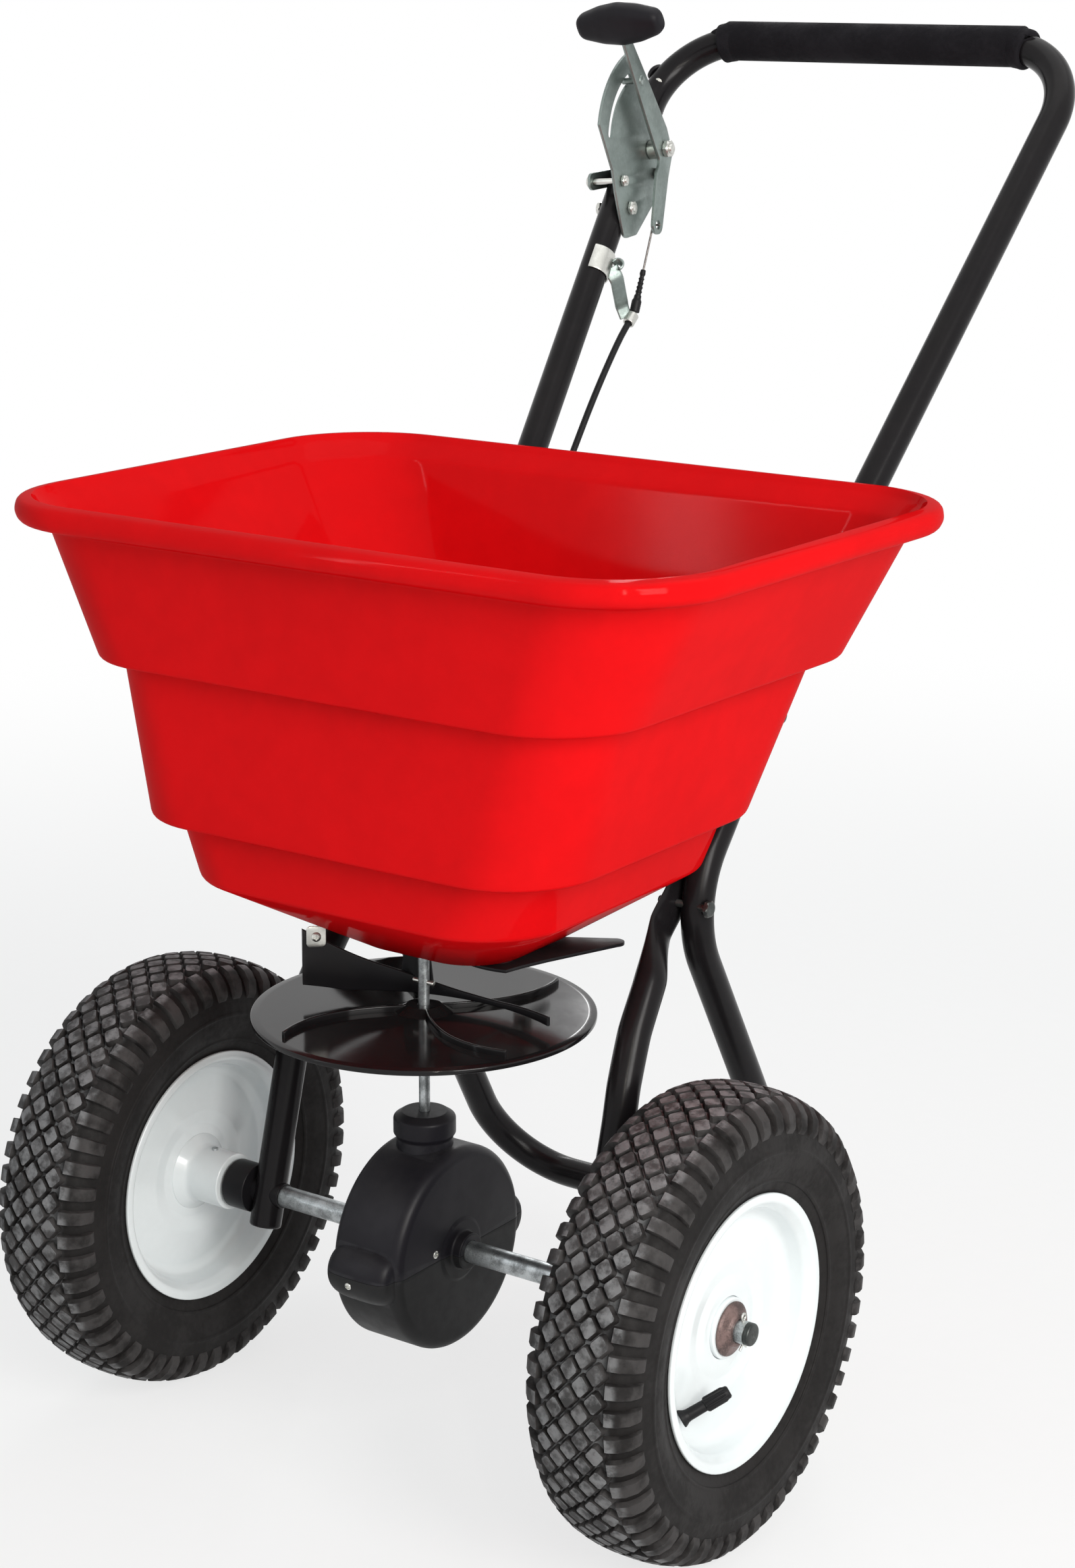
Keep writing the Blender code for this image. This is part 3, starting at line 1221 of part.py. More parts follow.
def build_lever(lever_frame, lever_axis, handle, finishes):
    """The quadrant on the handle's leg, the lever that turns on it and its knob."""
    up_tube = Vector((HANDLE_LEAN, 1)).normalized()
    foot = tuple(-up_tube * FOOT_BOLT)
    clamp_front = (-0.048, -0.023)
    clamp_back = (0.007, -0.020)
    outline = softened(
        [(-0.050, -0.070, 0.006), (-0.030, -0.068, 0.004), (0.017, -0.032, 0.008),
         (0.018, 0.012, 0.009)]
    )
    outline += list(reversed([forward_polar(0.084, a) for a in (74, 64, 54, 44, 34, 24, 14)]))
    outline += [(-0.063, -0.014), (-0.060, -0.032)]
    slot = [forward_polar(SLOT_RADIUS + 0.0032, SLOT_FROM + (SLOT_TO - SLOT_FROM) * i / 8)
            for i in range(9)]
    slot += [forward_polar(SLOT_RADIUS - 0.0032, SLOT_TO - (SLOT_TO - SLOT_FROM) * i / 8)
             for i in range(9)]
    quadrant = plate(
        "lever_quadrant", outline, QUADRANT_THICK,
        [hole((0, 0), 0.004 + GAP), hole(foot, 0.003 + GAP, 10), hole(clamp_front, 0.0025 + GAP, 10),
         hole(clamp_back, 0.0025 + GAP, 10), slot], "X",
    )
    place("lever_quadrant", quadrant, lever_frame, finishes["bracket"], (QUADRANT_OFFSET, 0, 0))

    bar = plate(
        "clamp_bar",
        softened([(-0.055, -0.030, 0.005), (0.014, -0.027, 0.005), (0.014, -0.013, 0.005),
                  (-0.055, -0.016, 0.005)], 2),
        QUADRANT_THICK, [hole(clamp_front, 0.0025 + GAP, 10), hole(clamp_back, 0.0025 + GAP, 10)],
        "X",
    )
    place("clamp_bar", bar, lever_frame, finishes["bracket"], (-QUADRANT_OFFSET, 0, 0))
    outside = QUADRANT_OFFSET + QUADRANT_THICK / 2
    for label, at, tail in (("front", clamp_front, 0.0015), ("back", clamp_back, 0.0045)):
        place(
            f"clamp_bolt_{label}",
            bolt("clamp bolt", 2 * outside, 0.0025, 0.0050, 0.0030, 0.0030, tail), lever_frame,
            finishes["zinc"], (-outside, *at),
        )
    place(
        "quadrant_bolt",
        bolt("quadrant bolt", TUBE_RADIUS + outside, 0.003, 0.0060, 0.0035, 0.0035, 0.001),
        lever_frame, finishes["zinc"], (-TUBE_RADIUS, *foot),
    )
    lever_face = LEVER_OFFSET + LEVER_THICK / 2
    place(
        "lever_pivot_bolt",
        bolt("pivot bolt", TUBE_RADIUS + lever_face, 0.004, 0.0075, 0.0045, 0.005, 0.002),
        lever_frame, finishes["zinc"], (-TUBE_RADIUS, 0, 0),
    )
    spacer_start = outside + GAP
    spacer_end = LEVER_OFFSET - LEVER_THICK / 2 - GAP
    spacer = turned(
        "spacer",
        [(spacer_start, 0.004 + GAP), (spacer_start, 0.008), (spacer_end, 0.008),
         (spacer_end, 0.004 + GAP)], 14, "X", ring=True,
    )
    place("lever_spacer", spacer, lever_frame, finishes["zinc"])
    for name, at, radius in (("pivot bore", (0, 0), 0.004), ("foot bore", foot, 0.003)):
        bore = cutter(name, rod(name, -0.02, 0.02, radius + GAP, 10), lever_frame, (0, *at))
        combine(handle, [bore])

    pin_at = forward_polar(SLOT_RADIUS, LEVER_AT_REST)
    arm = plate(
        "lever", lever_outline(), LEVER_THICK,
        [hole((0, 0), 0.004 + GAP), hole(LEVER_HOOK, 0.0022, 8)], "X",
    )
    lever = place("lever", arm, lever_axis, finishes["bracket"])
    reach = LEVER_OFFSET - QUADRANT_OFFSET + QUADRANT_THICK / 2 + 0.001
    guide = cutter(
        "guide pin", rod("guide pin", -reach, LEVER_THICK / 2 - 0.0005, 0.0026, 10), lever_axis,
        (0, *pin_at),
    )
    combine(lever, [guide], "UNION")

    aim = Vector((0, *forward_polar(1, LEVER_AT_REST)))
    knob_at = aim * KNOB_REACH
    knob = knob_mesh()
    tilt = Matrix.Rotation(math.radians(LEVER_AT_REST), 3, "X").to_quaternion()
    knob_object = place("lever_knob", knob, lever_axis, finishes["knob"], knob_at, tilt)
    pocket = cutter(
        "knob pocket",
        block("pocket", (-LEVER_THICK / 2 - GAP, -0.006, -0.030),
              (LEVER_THICK / 2 + GAP, 0.006, -0.0155)),
        lever_axis, knob_at, tilt,
    )
    combine(knob_object, [pocket])


def knob_mesh():
    """A flat moulded T-knob: broad in the middle, drawn in to both ends."""
    bm = bmesh.new()
    half = KNOB_LENGTH / 2
    stations = ((-1.0, 0.0085, 0.0060), (-0.93, 0.0110, 0.0085), (-0.55, 0.0165, 0.0100),
                (0.0, 0.0180, 0.0105), (0.55, 0.0165, 0.0100), (0.93, 0.0110, 0.0085),
                (1.0, 0.0085, 0.0060))
    rings = []
    for share, tall, deep in stations:
        ring = []
        for k in range(12):
            turn = 2 * math.pi * (k + 0.5) / 12
            y = deep * math.copysign(abs(math.cos(turn)) ** 0.7, math.cos(turn))
            z = tall * math.copysign(abs(math.sin(turn)) ** 0.7, math.sin(turn))
            ring.append(bm.verts.new((share * half, y, z)))
        rings.append(ring)
    for ring, following in zip(rings, rings[1:]):
        for k in range(12):
            n = (k + 1) % 12
            bm.faces.new((ring[k], ring[n], following[n], following[k]))
    bm.faces.new(rings[0])
    bm.faces.new(rings[-1])
    return finished_mesh(bm, "knob")


# Cable


def build_cable(chassis, lever_axis, shutter_axis, finishes):
    """The clip on the handle, the casing down to the shutter's bracket, and the bare wires."""
    route_points = [
        CLIP_EYE, (CABLE_X, 0.470, 0.592), (CABLE_X, 0.437, 0.553), (CABLE_X, 0.402, 0.505),
        (-0.149, 0.352, 0.440), (-0.135, 0.300, 0.375), (-0.108, 0.252, 0.322),
        (-0.074, 0.216, 0.275), (-0.036, 0.186, 0.239), (-0.003, 0.158, WIRE_Z + 0.004),
        (BRACKET_X - 0.001, 0.130, WIRE_Z), (BRACKET_X, BRACKET_Y - 0.001, WIRE_Z),
    ]
    route = smooth_route(route_points, 0.0165)
    place("cable_casing", cord("cable casing", route, CASING_RADIUS), chassis, finishes["rubber"])

    start = Vector((BRACKET_X, BRACKET_Y - 0.001 - GAP, WIRE_Z))
    lug = polar(SHUTTER_PIVOT, LUG_ARM, LUG_ANGLE)
    hook = Vector((lug[0], lug[1], WIRE_Z))
    lift = Vector((0, 0, SHUTTER_TOP - WIRE_Z + 0.0005))
    bend = bent_path([(start, 0), (hook, 0.0025), (hook + lift, 0)], 30)
    shift = Vector((*SHUTTER_PIVOT, SHUTTER_TOP - SHUTTER_THICK / 2))
    place("shutter_wire", cord("shutter wire", [p - shift for p in bend], WIRE_RADIUS),
          shutter_axis, finishes["wire"])

    leg_x = -handle_x(CLIP_Z)
    along = Vector((-HANDLE_SPLAY, HANDLE_LEAN, 1)).normalized()
    at = Vector((leg_x, handle_y(CLIP_Z), CLIP_Z))
    rotation = Vector((0, 0, 1)).rotation_difference(along)
    band = turned(
        "band",
        [(-0.007, TUBE_RADIUS + GAP), (-0.007, TUBE_RADIUS + 0.0018), (0.007, TUBE_RADIUS + 0.0018),
         (0.007, TUBE_RADIUS + GAP)], 16, "Z", ring=True,
    )
    clip = place("cable_clip", band, chassis, finishes["zinc"], at, rotation)
    heading = (Vector(route[0]) - Vector(route[1])).normalized()
    eye_at = Vector(CLIP_EYE) - heading * 0.006
    side = Vector((1, 0.25, -0.2)).normalized()
    arm_path = [at + side * (TUBE_RADIUS + 0.0010), at + Vector((0.017, 0.006, -0.012)),
                eye_at + Vector((-0.006, -0.002, 0.010)), eye_at + Vector((-0.0035, -0.001, 0.001))]
    arm = cutter("clip arm", tube("clip arm", arm_path, (0.0012, 0.0035), sides=6), chassis)
    eye = cutter(
        "clip eye",
        rod("clip eye", -0.004, 0.004, CASING_RADIUS + 0.0022, 12, "Z"), chassis, eye_at,
        Vector((0, 0, 1)).rotation_difference(heading),
    )
    combine(clip, [arm, eye], "UNION")
    through = cutter(
        "clip eye hole", rod("clip eye hole", -0.03, 0.03, CASING_RADIUS + 2 * GAP, 12, "Z"),
        chassis, eye_at, Vector((0, 0, 1)).rotation_difference(heading),
    )
    tube_hole = cutter(
        "clip tube hole", rod("clip tube hole", -0.03, 0.03, TUBE_RADIUS + GAP, 16, "Z"), chassis,
        at, rotation,
    )
    combine(clip, [through, tube_hole])

    inward = lever_axis.matrix_world.to_3x3() @ Vector((1, 0, 0))
    hook_world = lever_hook_position()
    boot_from = Vector(CLIP_EYE) + heading * GAP
    aim = (hook_world - inward * 0.0035 - boot_from).normalized()
    reach = 0.036
    boot = turned(
        "boot",
        [(0, WIRE_RADIUS + 2 * GAP), (0, 0.0040), (0.010, 0.0040), (0.012, 0.0030),
         (reach, 0.0021), (reach, WIRE_RADIUS + 2 * GAP)], 12, "X", ring=True,
    )
    place("cable_boot", boot, chassis, finishes["rubber"], boot_from + aim * 0.0012,
          Vector((1, 0, 0)).rotation_difference(aim))
    path = bent_path(
        [(boot_from + aim * 0.002, 0), (hook_world - inward * 0.0035, 0.002),
         (hook_world + inward * 0.0035, 0)], 30
    )
    back = (chassis.matrix_world.inverted() @ lever_axis.matrix_world).inverted()
    place("lever_wire", cord("lever wire", [back @ p for p in path], WIRE_RADIUS), lever_axis,
          finishes["wire"])


def lever_hook_position():
    """Where the lever's cable hole is, counted from the axle like the cable's route."""
    bpy.context.view_layer.update()
    axis = bpy.data.objects["lever_axis"]
    chassis = bpy.data.objects["chassis"]
    world = axis.matrix_world @ Vector((0, *LEVER_HOOK))
    return chassis.matrix_world.inverted() @ world


def clear_scene():
    """Takes away whatever the scene holds."""
    for item in list(bpy.data.objects):
        bpy.data.objects.remove(item, do_unlink=True)


def make_finishes():
    """All coats by name."""
    return {
        "hopper": material("hopper red", (0.60, 0.010, 0.012), 0.38),
        "paint": material("black paint", (0.018, 0.016, 0.018), 0.35),
        "plastic": material("black plastic", (0.016, 0.015, 0.017), 0.42),
        "gloss": material("disc black", (0.016, 0.014, 0.016), 0.22),
        "case": material("case black", (0.020, 0.019, 0.023), 0.40),
        "tyre": material("tyre rubber", (0.030, 0.029, 0.028), 0.75),
        "rubber": material("soft rubber", (0.014, 0.014, 0.015), 0.60),
        "foam": material("grip foam", (0.016, 0.015, 0.018), 0.85),
        "knob": material("knob plastic", (0.018, 0.017, 0.020), 0.50),
        "rim": material("rim white", (0.80, 0.82, 0.81), 0.28),
        "steel": material("bright steel", (0.55, 0.56, 0.57), 0.30, 1.0),
        "zinc": material("zinc plate", (0.58, 0.58, 0.55), 0.38, 1.0),
        "bracket": material("lever zinc", (0.30, 0.34, 0.33), 0.42, 0.8),
        "cast": material("gear metal", (0.32, 0.32, 0.33), 0.45, 0.9),
        "wire": material("inner wire", (0.45, 0.44, 0.43), 0.35, 1.0),
        "nylon": material("nylon", (0.75, 0.74, 0.70), 0.50),
        "washer": material("rusted washer", (0.22, 0.13, 0.10), 0.55, 0.6),
    }


def build():
    """The whole spreader, on empties that stand at its joints."""
    clear_scene()
    finishes = make_finishes()
    chassis = empty("chassis")
    axle_axis = empty("axle_axis", chassis)
    free_axis = empty("free_wheel_axis", chassis)
    shaft_axis = empty("shaft_axis", chassis)
    shutter_axis = empty(
        "shutter_axis", chassis, (*SHUTTER_PIVOT, SHUTTER_TOP - SHUTTER_THICK / 2)
    )
    along = Vector((-HANDLE_SPLAY, HANDLE_LEAN, 1)).normalized()
    inward = (Vector((1, 0, 0)) - along * along.x).normalized()
    lever_turn = Vector((1, 0, 0)).rotation_difference(inward)
    pivot = (-handle_x(LEVER_PIVOT_Z), handle_y(LEVER_PIVOT_Z), LEVER_PIVOT_Z)
    lever_frame = empty("lever_frame", chassis, pivot, lever_turn)
    lever_axis = empty("lever_axis", lever_frame, (LEVER_OFFSET, 0, 0))
    bpy.context.view_layer.update()

    handle, _, nests, thick_nests = build_frame(chassis, finishes)
    build_hopper(chassis, finishes, nests, thick_nests)
    axle = build_axle(axle_axis, chassis, finishes)
    hub = build_wheel(-1, "drive_wheel", axle_axis, finishes, None)
    build_wheel(1, "free_wheel", free_axis, finishes, 0.0025)
    cross_pin("drive_wheel_pin", (-DRIVE_PIN_X, 0, 0), PIN_RADIUS, HUB_RADIUS + 0.0015, "Z",
              axle_axis, finishes["steel"], [axle, hub])
    washer_x = HUB_OUTER_X + GAP
    washer = [(washer_x, AXLE_RADIUS + GAP), (washer_x, 0.019), (washer_x + WASHER_THICK, 0.019),
              (washer_x + WASHER_THICK + 0.004, 0.011), (washer_x + WASHER_THICK + 0.004,
                                                          AXLE_RADIUS + GAP)]
    place("free_wheel_washer", turned("washer", washer, 20, "X", ring=True), axle_axis,
          finishes["washer"])
    cross_pin("free_wheel_cotter", (COTTER_X, 0, 0), COTTER_RADIUS, 0.0125, "Z", axle_axis,
              finishes["zinc"], [axle])
    build_gears(axle_axis, shaft_axis, finishes, axle)
    build_case(chassis, finishes)
    build_spinner(shaft_axis, finishes)
    build_guard(chassis, finishes)
    build_shutter(shutter_axis, chassis, finishes)
    build_lever(lever_frame, lever_axis, handle, finishes)
    build_cable(chassis, lever_axis, shutter_axis, finishes)
    stand_on_ground(chassis)


def stand_on_ground(chassis):
    """Moves the whole so that its tyres rest on the ground and its footprint is centred."""
    bpy.context.view_layer.update()
    graph = bpy.context.evaluated_depsgraph_get()
    points = []
    for piece in bpy.data.objects:
        if piece.type == "EMPTY" or piece.hide_render:
            continue
        shape = piece.evaluated_get(graph)
        world = piece.matrix_world
        points += [world @ vertex.co for vertex in shape.to_mesh().vertices]
        shape.to_mesh_clear()
    front = min(point.y for point in points)
    back = max(point.y for point in points)
    lowest = min(point.z for point in points)
    chassis.location = (0, -(front + back) / 2, -lowest)


build()
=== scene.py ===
"""Looks of the walk-behind spreader: every surface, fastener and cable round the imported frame.

Sizes are in metres. Each piece is built round the middle of the axle, +X towards the
free-running wheel and +Y towards the handle, and then set down where the frame has the axle.
"""

import logging
import math
from collections.abc import Iterable, Sequence
from dataclasses import dataclass, field
from enum import Enum

import bmesh
import bpy
from bmesh.types import BMesh
from bpy.types import ID, Curve, Material, Mesh, Node, NodeSocket, NodeTree, Object
from mathutils import Matrix, Quaternion, Vector


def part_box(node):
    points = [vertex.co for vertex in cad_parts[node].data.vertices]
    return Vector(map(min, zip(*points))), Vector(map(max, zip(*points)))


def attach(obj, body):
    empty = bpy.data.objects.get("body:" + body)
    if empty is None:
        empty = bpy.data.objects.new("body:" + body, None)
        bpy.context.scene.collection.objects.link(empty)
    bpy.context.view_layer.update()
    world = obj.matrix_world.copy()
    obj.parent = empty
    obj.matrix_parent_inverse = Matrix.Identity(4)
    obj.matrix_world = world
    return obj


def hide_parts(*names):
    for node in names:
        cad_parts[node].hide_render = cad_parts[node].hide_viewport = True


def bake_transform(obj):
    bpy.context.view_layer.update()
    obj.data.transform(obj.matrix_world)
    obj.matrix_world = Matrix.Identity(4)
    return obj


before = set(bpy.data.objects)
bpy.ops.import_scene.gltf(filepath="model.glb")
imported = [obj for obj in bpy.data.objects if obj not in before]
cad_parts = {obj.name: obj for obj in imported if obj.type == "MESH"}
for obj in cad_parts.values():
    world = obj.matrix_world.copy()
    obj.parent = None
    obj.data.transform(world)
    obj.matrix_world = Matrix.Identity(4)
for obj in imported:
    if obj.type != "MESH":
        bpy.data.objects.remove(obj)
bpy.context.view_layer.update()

LOG = logging.getLogger("spreader")

# Image and camera
PHOTO_HEIGHT = 2324
SENSOR = 36.0

# Clearances
GAP = 0.0003
NEST = 0.0006

# How finely shapes are built
MERGE_DISTANCE = 1e-7
TIP_RADIUS = 2e-6
SHARP_ANGLE = 35.0
CURVE_SAMPLES = 40
HEX_STEPS = 48
WIRE_STEPS = 16
STRAIGHT = 0.01
COAT_ROUGHNESS = 0.07

# Where the frame has the axle
AXLE_LOW, AXLE_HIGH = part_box("axle")
ORIGIN = Vector((0.0, (AXLE_LOW.y + AXLE_HIGH.y) / 2, (AXLE_LOW.z + AXLE_HIGH.z) / 2))

# Tube frame
TUBE_RADIUS = 0.012
HANDLE_LEAN = 0.83
HANDLE_POINT = Vector((0.163, 0.413, 0.595))
HANDLE_SPLAY = 0.121
HANDLE_TOP_Z = 0.830
FRAME_X = 0.141
AXLE_RADIUS = 0.008
SHAFT_RADIUS = 0.004
LEG_X = 0.146
HUB_SPAN = (0.1810, 0.2585)
SIDES = ((-1, "left"), (1, "right"))

# Under the hopper
FLOOR_Z = 0.219
HOPPER_WALL = 0.004
SHUTTER_THICK = 0.0025
SHUTTER_TOP = FLOOR_Z - 2 * GAP
SHUTTER_PIVOT = (0.054, 0.056)
LUG_ARM = 0.041
LUG_ANGLE = 199.0
BRACKET_X = SHUTTER_PIVOT[0] - LUG_ARM
BRACKET_Y = 0.104
BRACKET_SCREW_Y = 0.095
WIRE_Z = SHUTTER_TOP - SHUTTER_THICK - 0.0035
DISC_Z = 0.175

Flat = tuple[float, float]
Colour = tuple[float, float, float]
Value = NodeSocket | float | tuple[float, ...]


class Axis(Enum):
    """The line that a turned piece goes round."""

    ACROSS = "X"
    UPRIGHT = "Z"


class Relief(Enum):
    """The fine surface that a finish has."""

    PEBBLED = "pebbled"
    CELLS = "cells"
    TURNED = "turned"
    BRUSHED = "brushed"


# Points and outlines


def polar(centre: Flat, radius: float, degrees: float) -> Flat:
    """A point at a distance and an angle from a centre in the plane."""
    turn = math.radians(degrees)
    return (centre[0] + radius * math.cos(turn), centre[1] + radius * math.sin(turn))


def arc(centre: Flat, radius: float, start: float, end: float, steps: int) -> list[Flat]:
    """Points on an arc in the plane, with both ends, angles in degrees."""
    return [polar(centre, radius, start + (end - start) * i / steps) for i in range(steps + 1)]


def circle(centre: Flat, radius: float, steps: int = 32) -> list[Flat]:
    """Points round a whole circle."""
    return arc(centre, radius, 0, 360 - 360 / steps, steps - 1)


def round_turns(steps: int, shift: float = 0.0) -> list[Flat]:
    """The cosine and sine of even turns round a circle, the first one shifted by a share."""
    turns = [2 * math.pi * (k + shift) / steps for k in range(steps)]
    return [(math.cos(turn), math.sin(turn)) for turn in turns]


def squared_off(value: float, power: float) -> float:
    """A cosine or sine to a power with its sign kept; under 1 it squares a circle off."""
    return math.copysign(abs(value) ** power, value)


def rounded(corners: Sequence[tuple], closed: bool = True, steps: int = 5) -> list[Flat]:
    """Rounds the corners of a line in the plane.

    Args:
        corners: (across, up) or (across, up, radius) for each corner.
        closed: whether the last corner joins the first.
        steps: how many parts each arc has.

    Returns:
        The points of the rounded line.
    """
    count = len(corners)
    points: list[Flat] = []
    for i, corner in enumerate(corners):
        here = Vector(corner[:2])
        radius = corner[2] if len(corner) > 2 else 0.0
        if radius <= 0 or (not closed and i in (0, count - 1)):
            points.append(tuple(here))
            continue
        back = Vector(corners[i - 1][:2]) - here
        ahead = Vector(corners[(i + 1) % count][:2]) - here
        opening = back.angle(ahead)
        if math.pi - opening < STRAIGHT:
            points.append(tuple(here))
            continue
        reach = min(radius / math.tan(opening / 2), 0.48 * back.length, 0.48 * ahead.length)
        radius = reach * math.tan(opening / 2)
        back.normalize()
        ahead.normalize()
        centre = here + (back + ahead).normalized() * (radius / math.sin(opening / 2))
        first = here + back * reach - centre
        sweep = first.angle_signed(here + ahead * reach - centre)
        for k in range(steps + 1):
            points.append(tuple(centre + Matrix.Rotation(-sweep * k / steps, 2) @ first))
    return points


def bent_path(corners: Sequence[tuple], step: float = 4.0) -> list[Vector]:
    """Points along a bent rod.

    Args:
        corners: (point, bend radius) for each corner.
        step: the turn in degrees between two points of a bend.

    Returns:
        The points: straight runs, with an arc at each corner.
    """
    path = [Vector(corners[0][0])]
    for (before, _), (corner, radius), (after, _) in zip(corners, corners[1:], corners[2:]):
        here = Vector(corner)
        back = (Vector(before) - here).normalized()
        ahead = (Vector(after) - here).normalized()
        opening = back.angle(ahead)
        turn = math.pi - opening
        if radius <= 0 or turn < 1e-4:
            path.append(here)
            continue
        centre = here + (back + ahead).normalized() * (radius / math.sin(opening / 2))
        start = here + back * (radius / math.tan(opening / 2)) - centre
        plane = back.cross(start).normalized()
        count = max(3, round(math.degrees(turn) / step))
        for i in range(count + 1):
            path.append(centre + Matrix.Rotation(turn * i / count, 3, plane) @ start)
    path.append(Vector(corners[-1][0]))
    return path


def carried_on(knots: list[Vector]) -> list[Vector]:
    """The knots of a curve with one more, straight on, at each end."""
    return [2 * knots[0] - knots[1], *knots, 2 * knots[-1] - knots[-2]]


def smooth_route(points: Sequence[Sequence[float]], spacing: float) -> list[Vector]:
    """Evenly spaced points on one smooth curve through the given points.

    Args:
        points: what the curve goes through.
        spacing: the distance between two points of the result.

    Returns:
        The points, with both ends.
    """
    knots = [Vector(p) for p in points]
    ends = carried_on(knots)
    dense: list[Vector] = []
    for a, b, c, d in zip(ends, ends[1:], ends[2:], ends[3:]):
        for i in range(CURVE_SAMPLES):
            t = i / CURVE_SAMPLES
            dense.append(0.5 * (2 * b + (c - a) * t + (2 * a - 5 * b + 4 * c - d) * t**2
                                + (3 * b - a - 3 * c + d) * t**3))
    dense.append(knots[-1])
    lengths = [0.0]
    for a, b in zip(dense, dense[1:]):
        lengths.append(lengths[-1] + (b - a).length)
    count = max(2, round(lengths[-1] / spacing))
    route: list[Vector] = []
    at = 0
    for i in range(count + 1):
        want = lengths[-1] * i / count
        while at < len(dense) - 2 and lengths[at + 1] < want:
            at += 1
        share = (want - lengths[at]) / (lengths[at + 1] - lengths[at])
        route.append(dense[at].lerp(dense[at + 1], share))
    return route


def eased(stations: Sequence[Sequence[float]], reach: float, steps: int = 5) -> list[list[float]]:
    """Rounds the corners of a line, in any number of values, by parabolas.

    Args:
        stations: the line's corners.
        reach: how far from a corner the rounding starts.
        steps: how many parts each rounding has.

    Returns:
        The rounded line, with both ends.
    """
    def towards(a: Sequence[float], b: Sequence[float]) -> list[float]:
        """A place a little way from one corner to another."""
        share = min(reach / max(math.dist(a, b), 1e-9), 0.48)
        return [p + (q - p) * share for p, q in zip(a, b)]

    made = [list(stations[0])]
    for before, here, after in zip(stations, stations[1:], stations[2:]):
        first, last = towards(here, before), towards(here, after)
        for i in range(steps + 1):
            t = i / steps
            made.append([(1 - t)**2 * p + 2 * t * (1 - t) * q + t * t * r
                         for p, q, r in zip(first, here, last)])
    made.append(list(stations[-1]))
    return made


# Objects and meshes


def linked(name: str, data: ID) -> Object:
    """A new object in the scene.

    Args:
        name: its name.
        data: its mesh, curve, lamp or camera.

    Returns:
        The object.
    """
    made = bpy.data.objects.new(name, data)
    bpy.context.scene.collection.objects.link(made)
    return made


def evaluated(holder: Object) -> Mesh:
    """The mesh that a curve or a stack of modifiers comes to."""
    graph = bpy.context.evaluated_depsgraph_get()
    return bpy.data.meshes.new_from_object(holder.evaluated_get(graph))


def smoothed(mesh: Mesh, sharp: float = SHARP_ANGLE) -> Mesh:
    """The mesh itself, smooth but for edges that turn by more than sharp degrees.

    Args:
        mesh: what is smoothed.
        sharp: the angle in degrees.

    Returns:
        The same mesh.
    """
    mesh.shade_smooth()
    mesh.set_sharp_from_angle(angle=math.radians(sharp))
    return mesh


def finished(bm: BMesh, name: str, sharp: float = SHARP_ANGLE, merged: bool = True) -> Mesh:
    """Closes a bmesh off as a mesh.

    Args:
        bm: the shape, which is freed.
        name: the mesh's name.
        sharp: the angle in degrees from which an edge stays sharp.
        merged: whether points that meet become one, and the faces are made to point out.

    Returns:
        The mesh.
    """
    if merged:
        bmesh.ops.remove_doubles(bm, verts=bm.verts, dist=MERGE_DISTANCE)
        bmesh.ops.recalc_face_normals(bm, faces=bm.faces)
    mesh = bpy.data.meshes.new(name)
    bm.to_mesh(mesh)
    bm.free()
    return smoothed(mesh, sharp)


def add_skin(bm: BMesh, rings: Sequence[Sequence], ring_loop: bool = False) -> None:
    """Adds a skin over rings to a bmesh, as skin() does.

    Args:
        bm: what it is added to.
        rings: the points of each ring, in order.
        ring_loop: whether the last ring joins the first.
    """
    made = [[bm.verts.new(p) for p in ring] for ring in rings]
    pairs = list(zip(made, made[1:]))
    if ring_loop:
        pairs.append((made[-1], made[0]))
    count = len(made[0])
    for ring, following in pairs:
        for k in range(count):
            n = (k + 1) % count
            bm.faces.new((ring[k], ring[n], following[n], following[k]))
    if not ring_loop:
        bm.faces.new(made[0])
        bm.faces.new(made[-1])


def skin(name: str, rings: Sequence[Sequence], ring_loop: bool = False,
         sharp: float = SHARP_ANGLE) -> Mesh:
    """A closed skin over rings of equal count.

    Args:
        name: the mesh's name.
        rings: the points of each ring, in order.
        ring_loop: whether the last ring joins the first; otherwise both ends are capped.
        sharp: the angle in degrees from which an edge stays sharp.

    Returns:
        The mesh.
    """
    bm = bmesh.new()
    add_skin(bm, rings, ring_loop)
    return finished(bm, name, sharp)


def turned_rings(profile: Sequence[Flat], steps: int, axis: Axis) -> list[list[Vector]]:
    """The rings that a profile of (along, radius) points sweeps out.

    Args:
        profile: the points, from one end to the other.
        steps: how many points a ring has.
        axis: the line they go round.

    Returns:
        The rings.
    """
    rings = []
    for along, radius in profile:
        reach = max(radius, TIP_RADIUS)
        spun = [(reach * c, reach * s) for c, s in round_turns(steps)]
        rings.append([Vector((along, a, b) if axis is Axis.ACROSS else (a, b, along))
                      for a, b in spun])
    return rings


def turned(name: str, corners: Sequence[tuple], steps: int = 48, axis: Axis = Axis.ACROSS,
           ring: bool = False, arcs: int = 4, facing: int = 1, shift: float = 0.0,
           sharp: float = SHARP_ANGLE) -> Mesh:
    """A turned piece with rounded corners.

    Args:
        name: the mesh's name.
        corners: (along, radius) or (along, radius, rounding) for each corner of the profile.
        steps: how many parts the circle has.
        axis: the line it goes round.
        ring: whether the profile closes on itself, as for a bush.
        arcs: how many parts each rounding has.
        facing: -1 turns the profile end for end.
        shift: how far the profile is moved along the axis.
        sharp: the angle in degrees from which an edge stays sharp.

    Returns:
        The mesh.
    """
    profile = [(shift + facing * along, radius)
               for along, radius in rounded(corners, closed=ring, steps=arcs)]
    return skin(name, turned_rings(profile, steps, axis), ring, sharp)


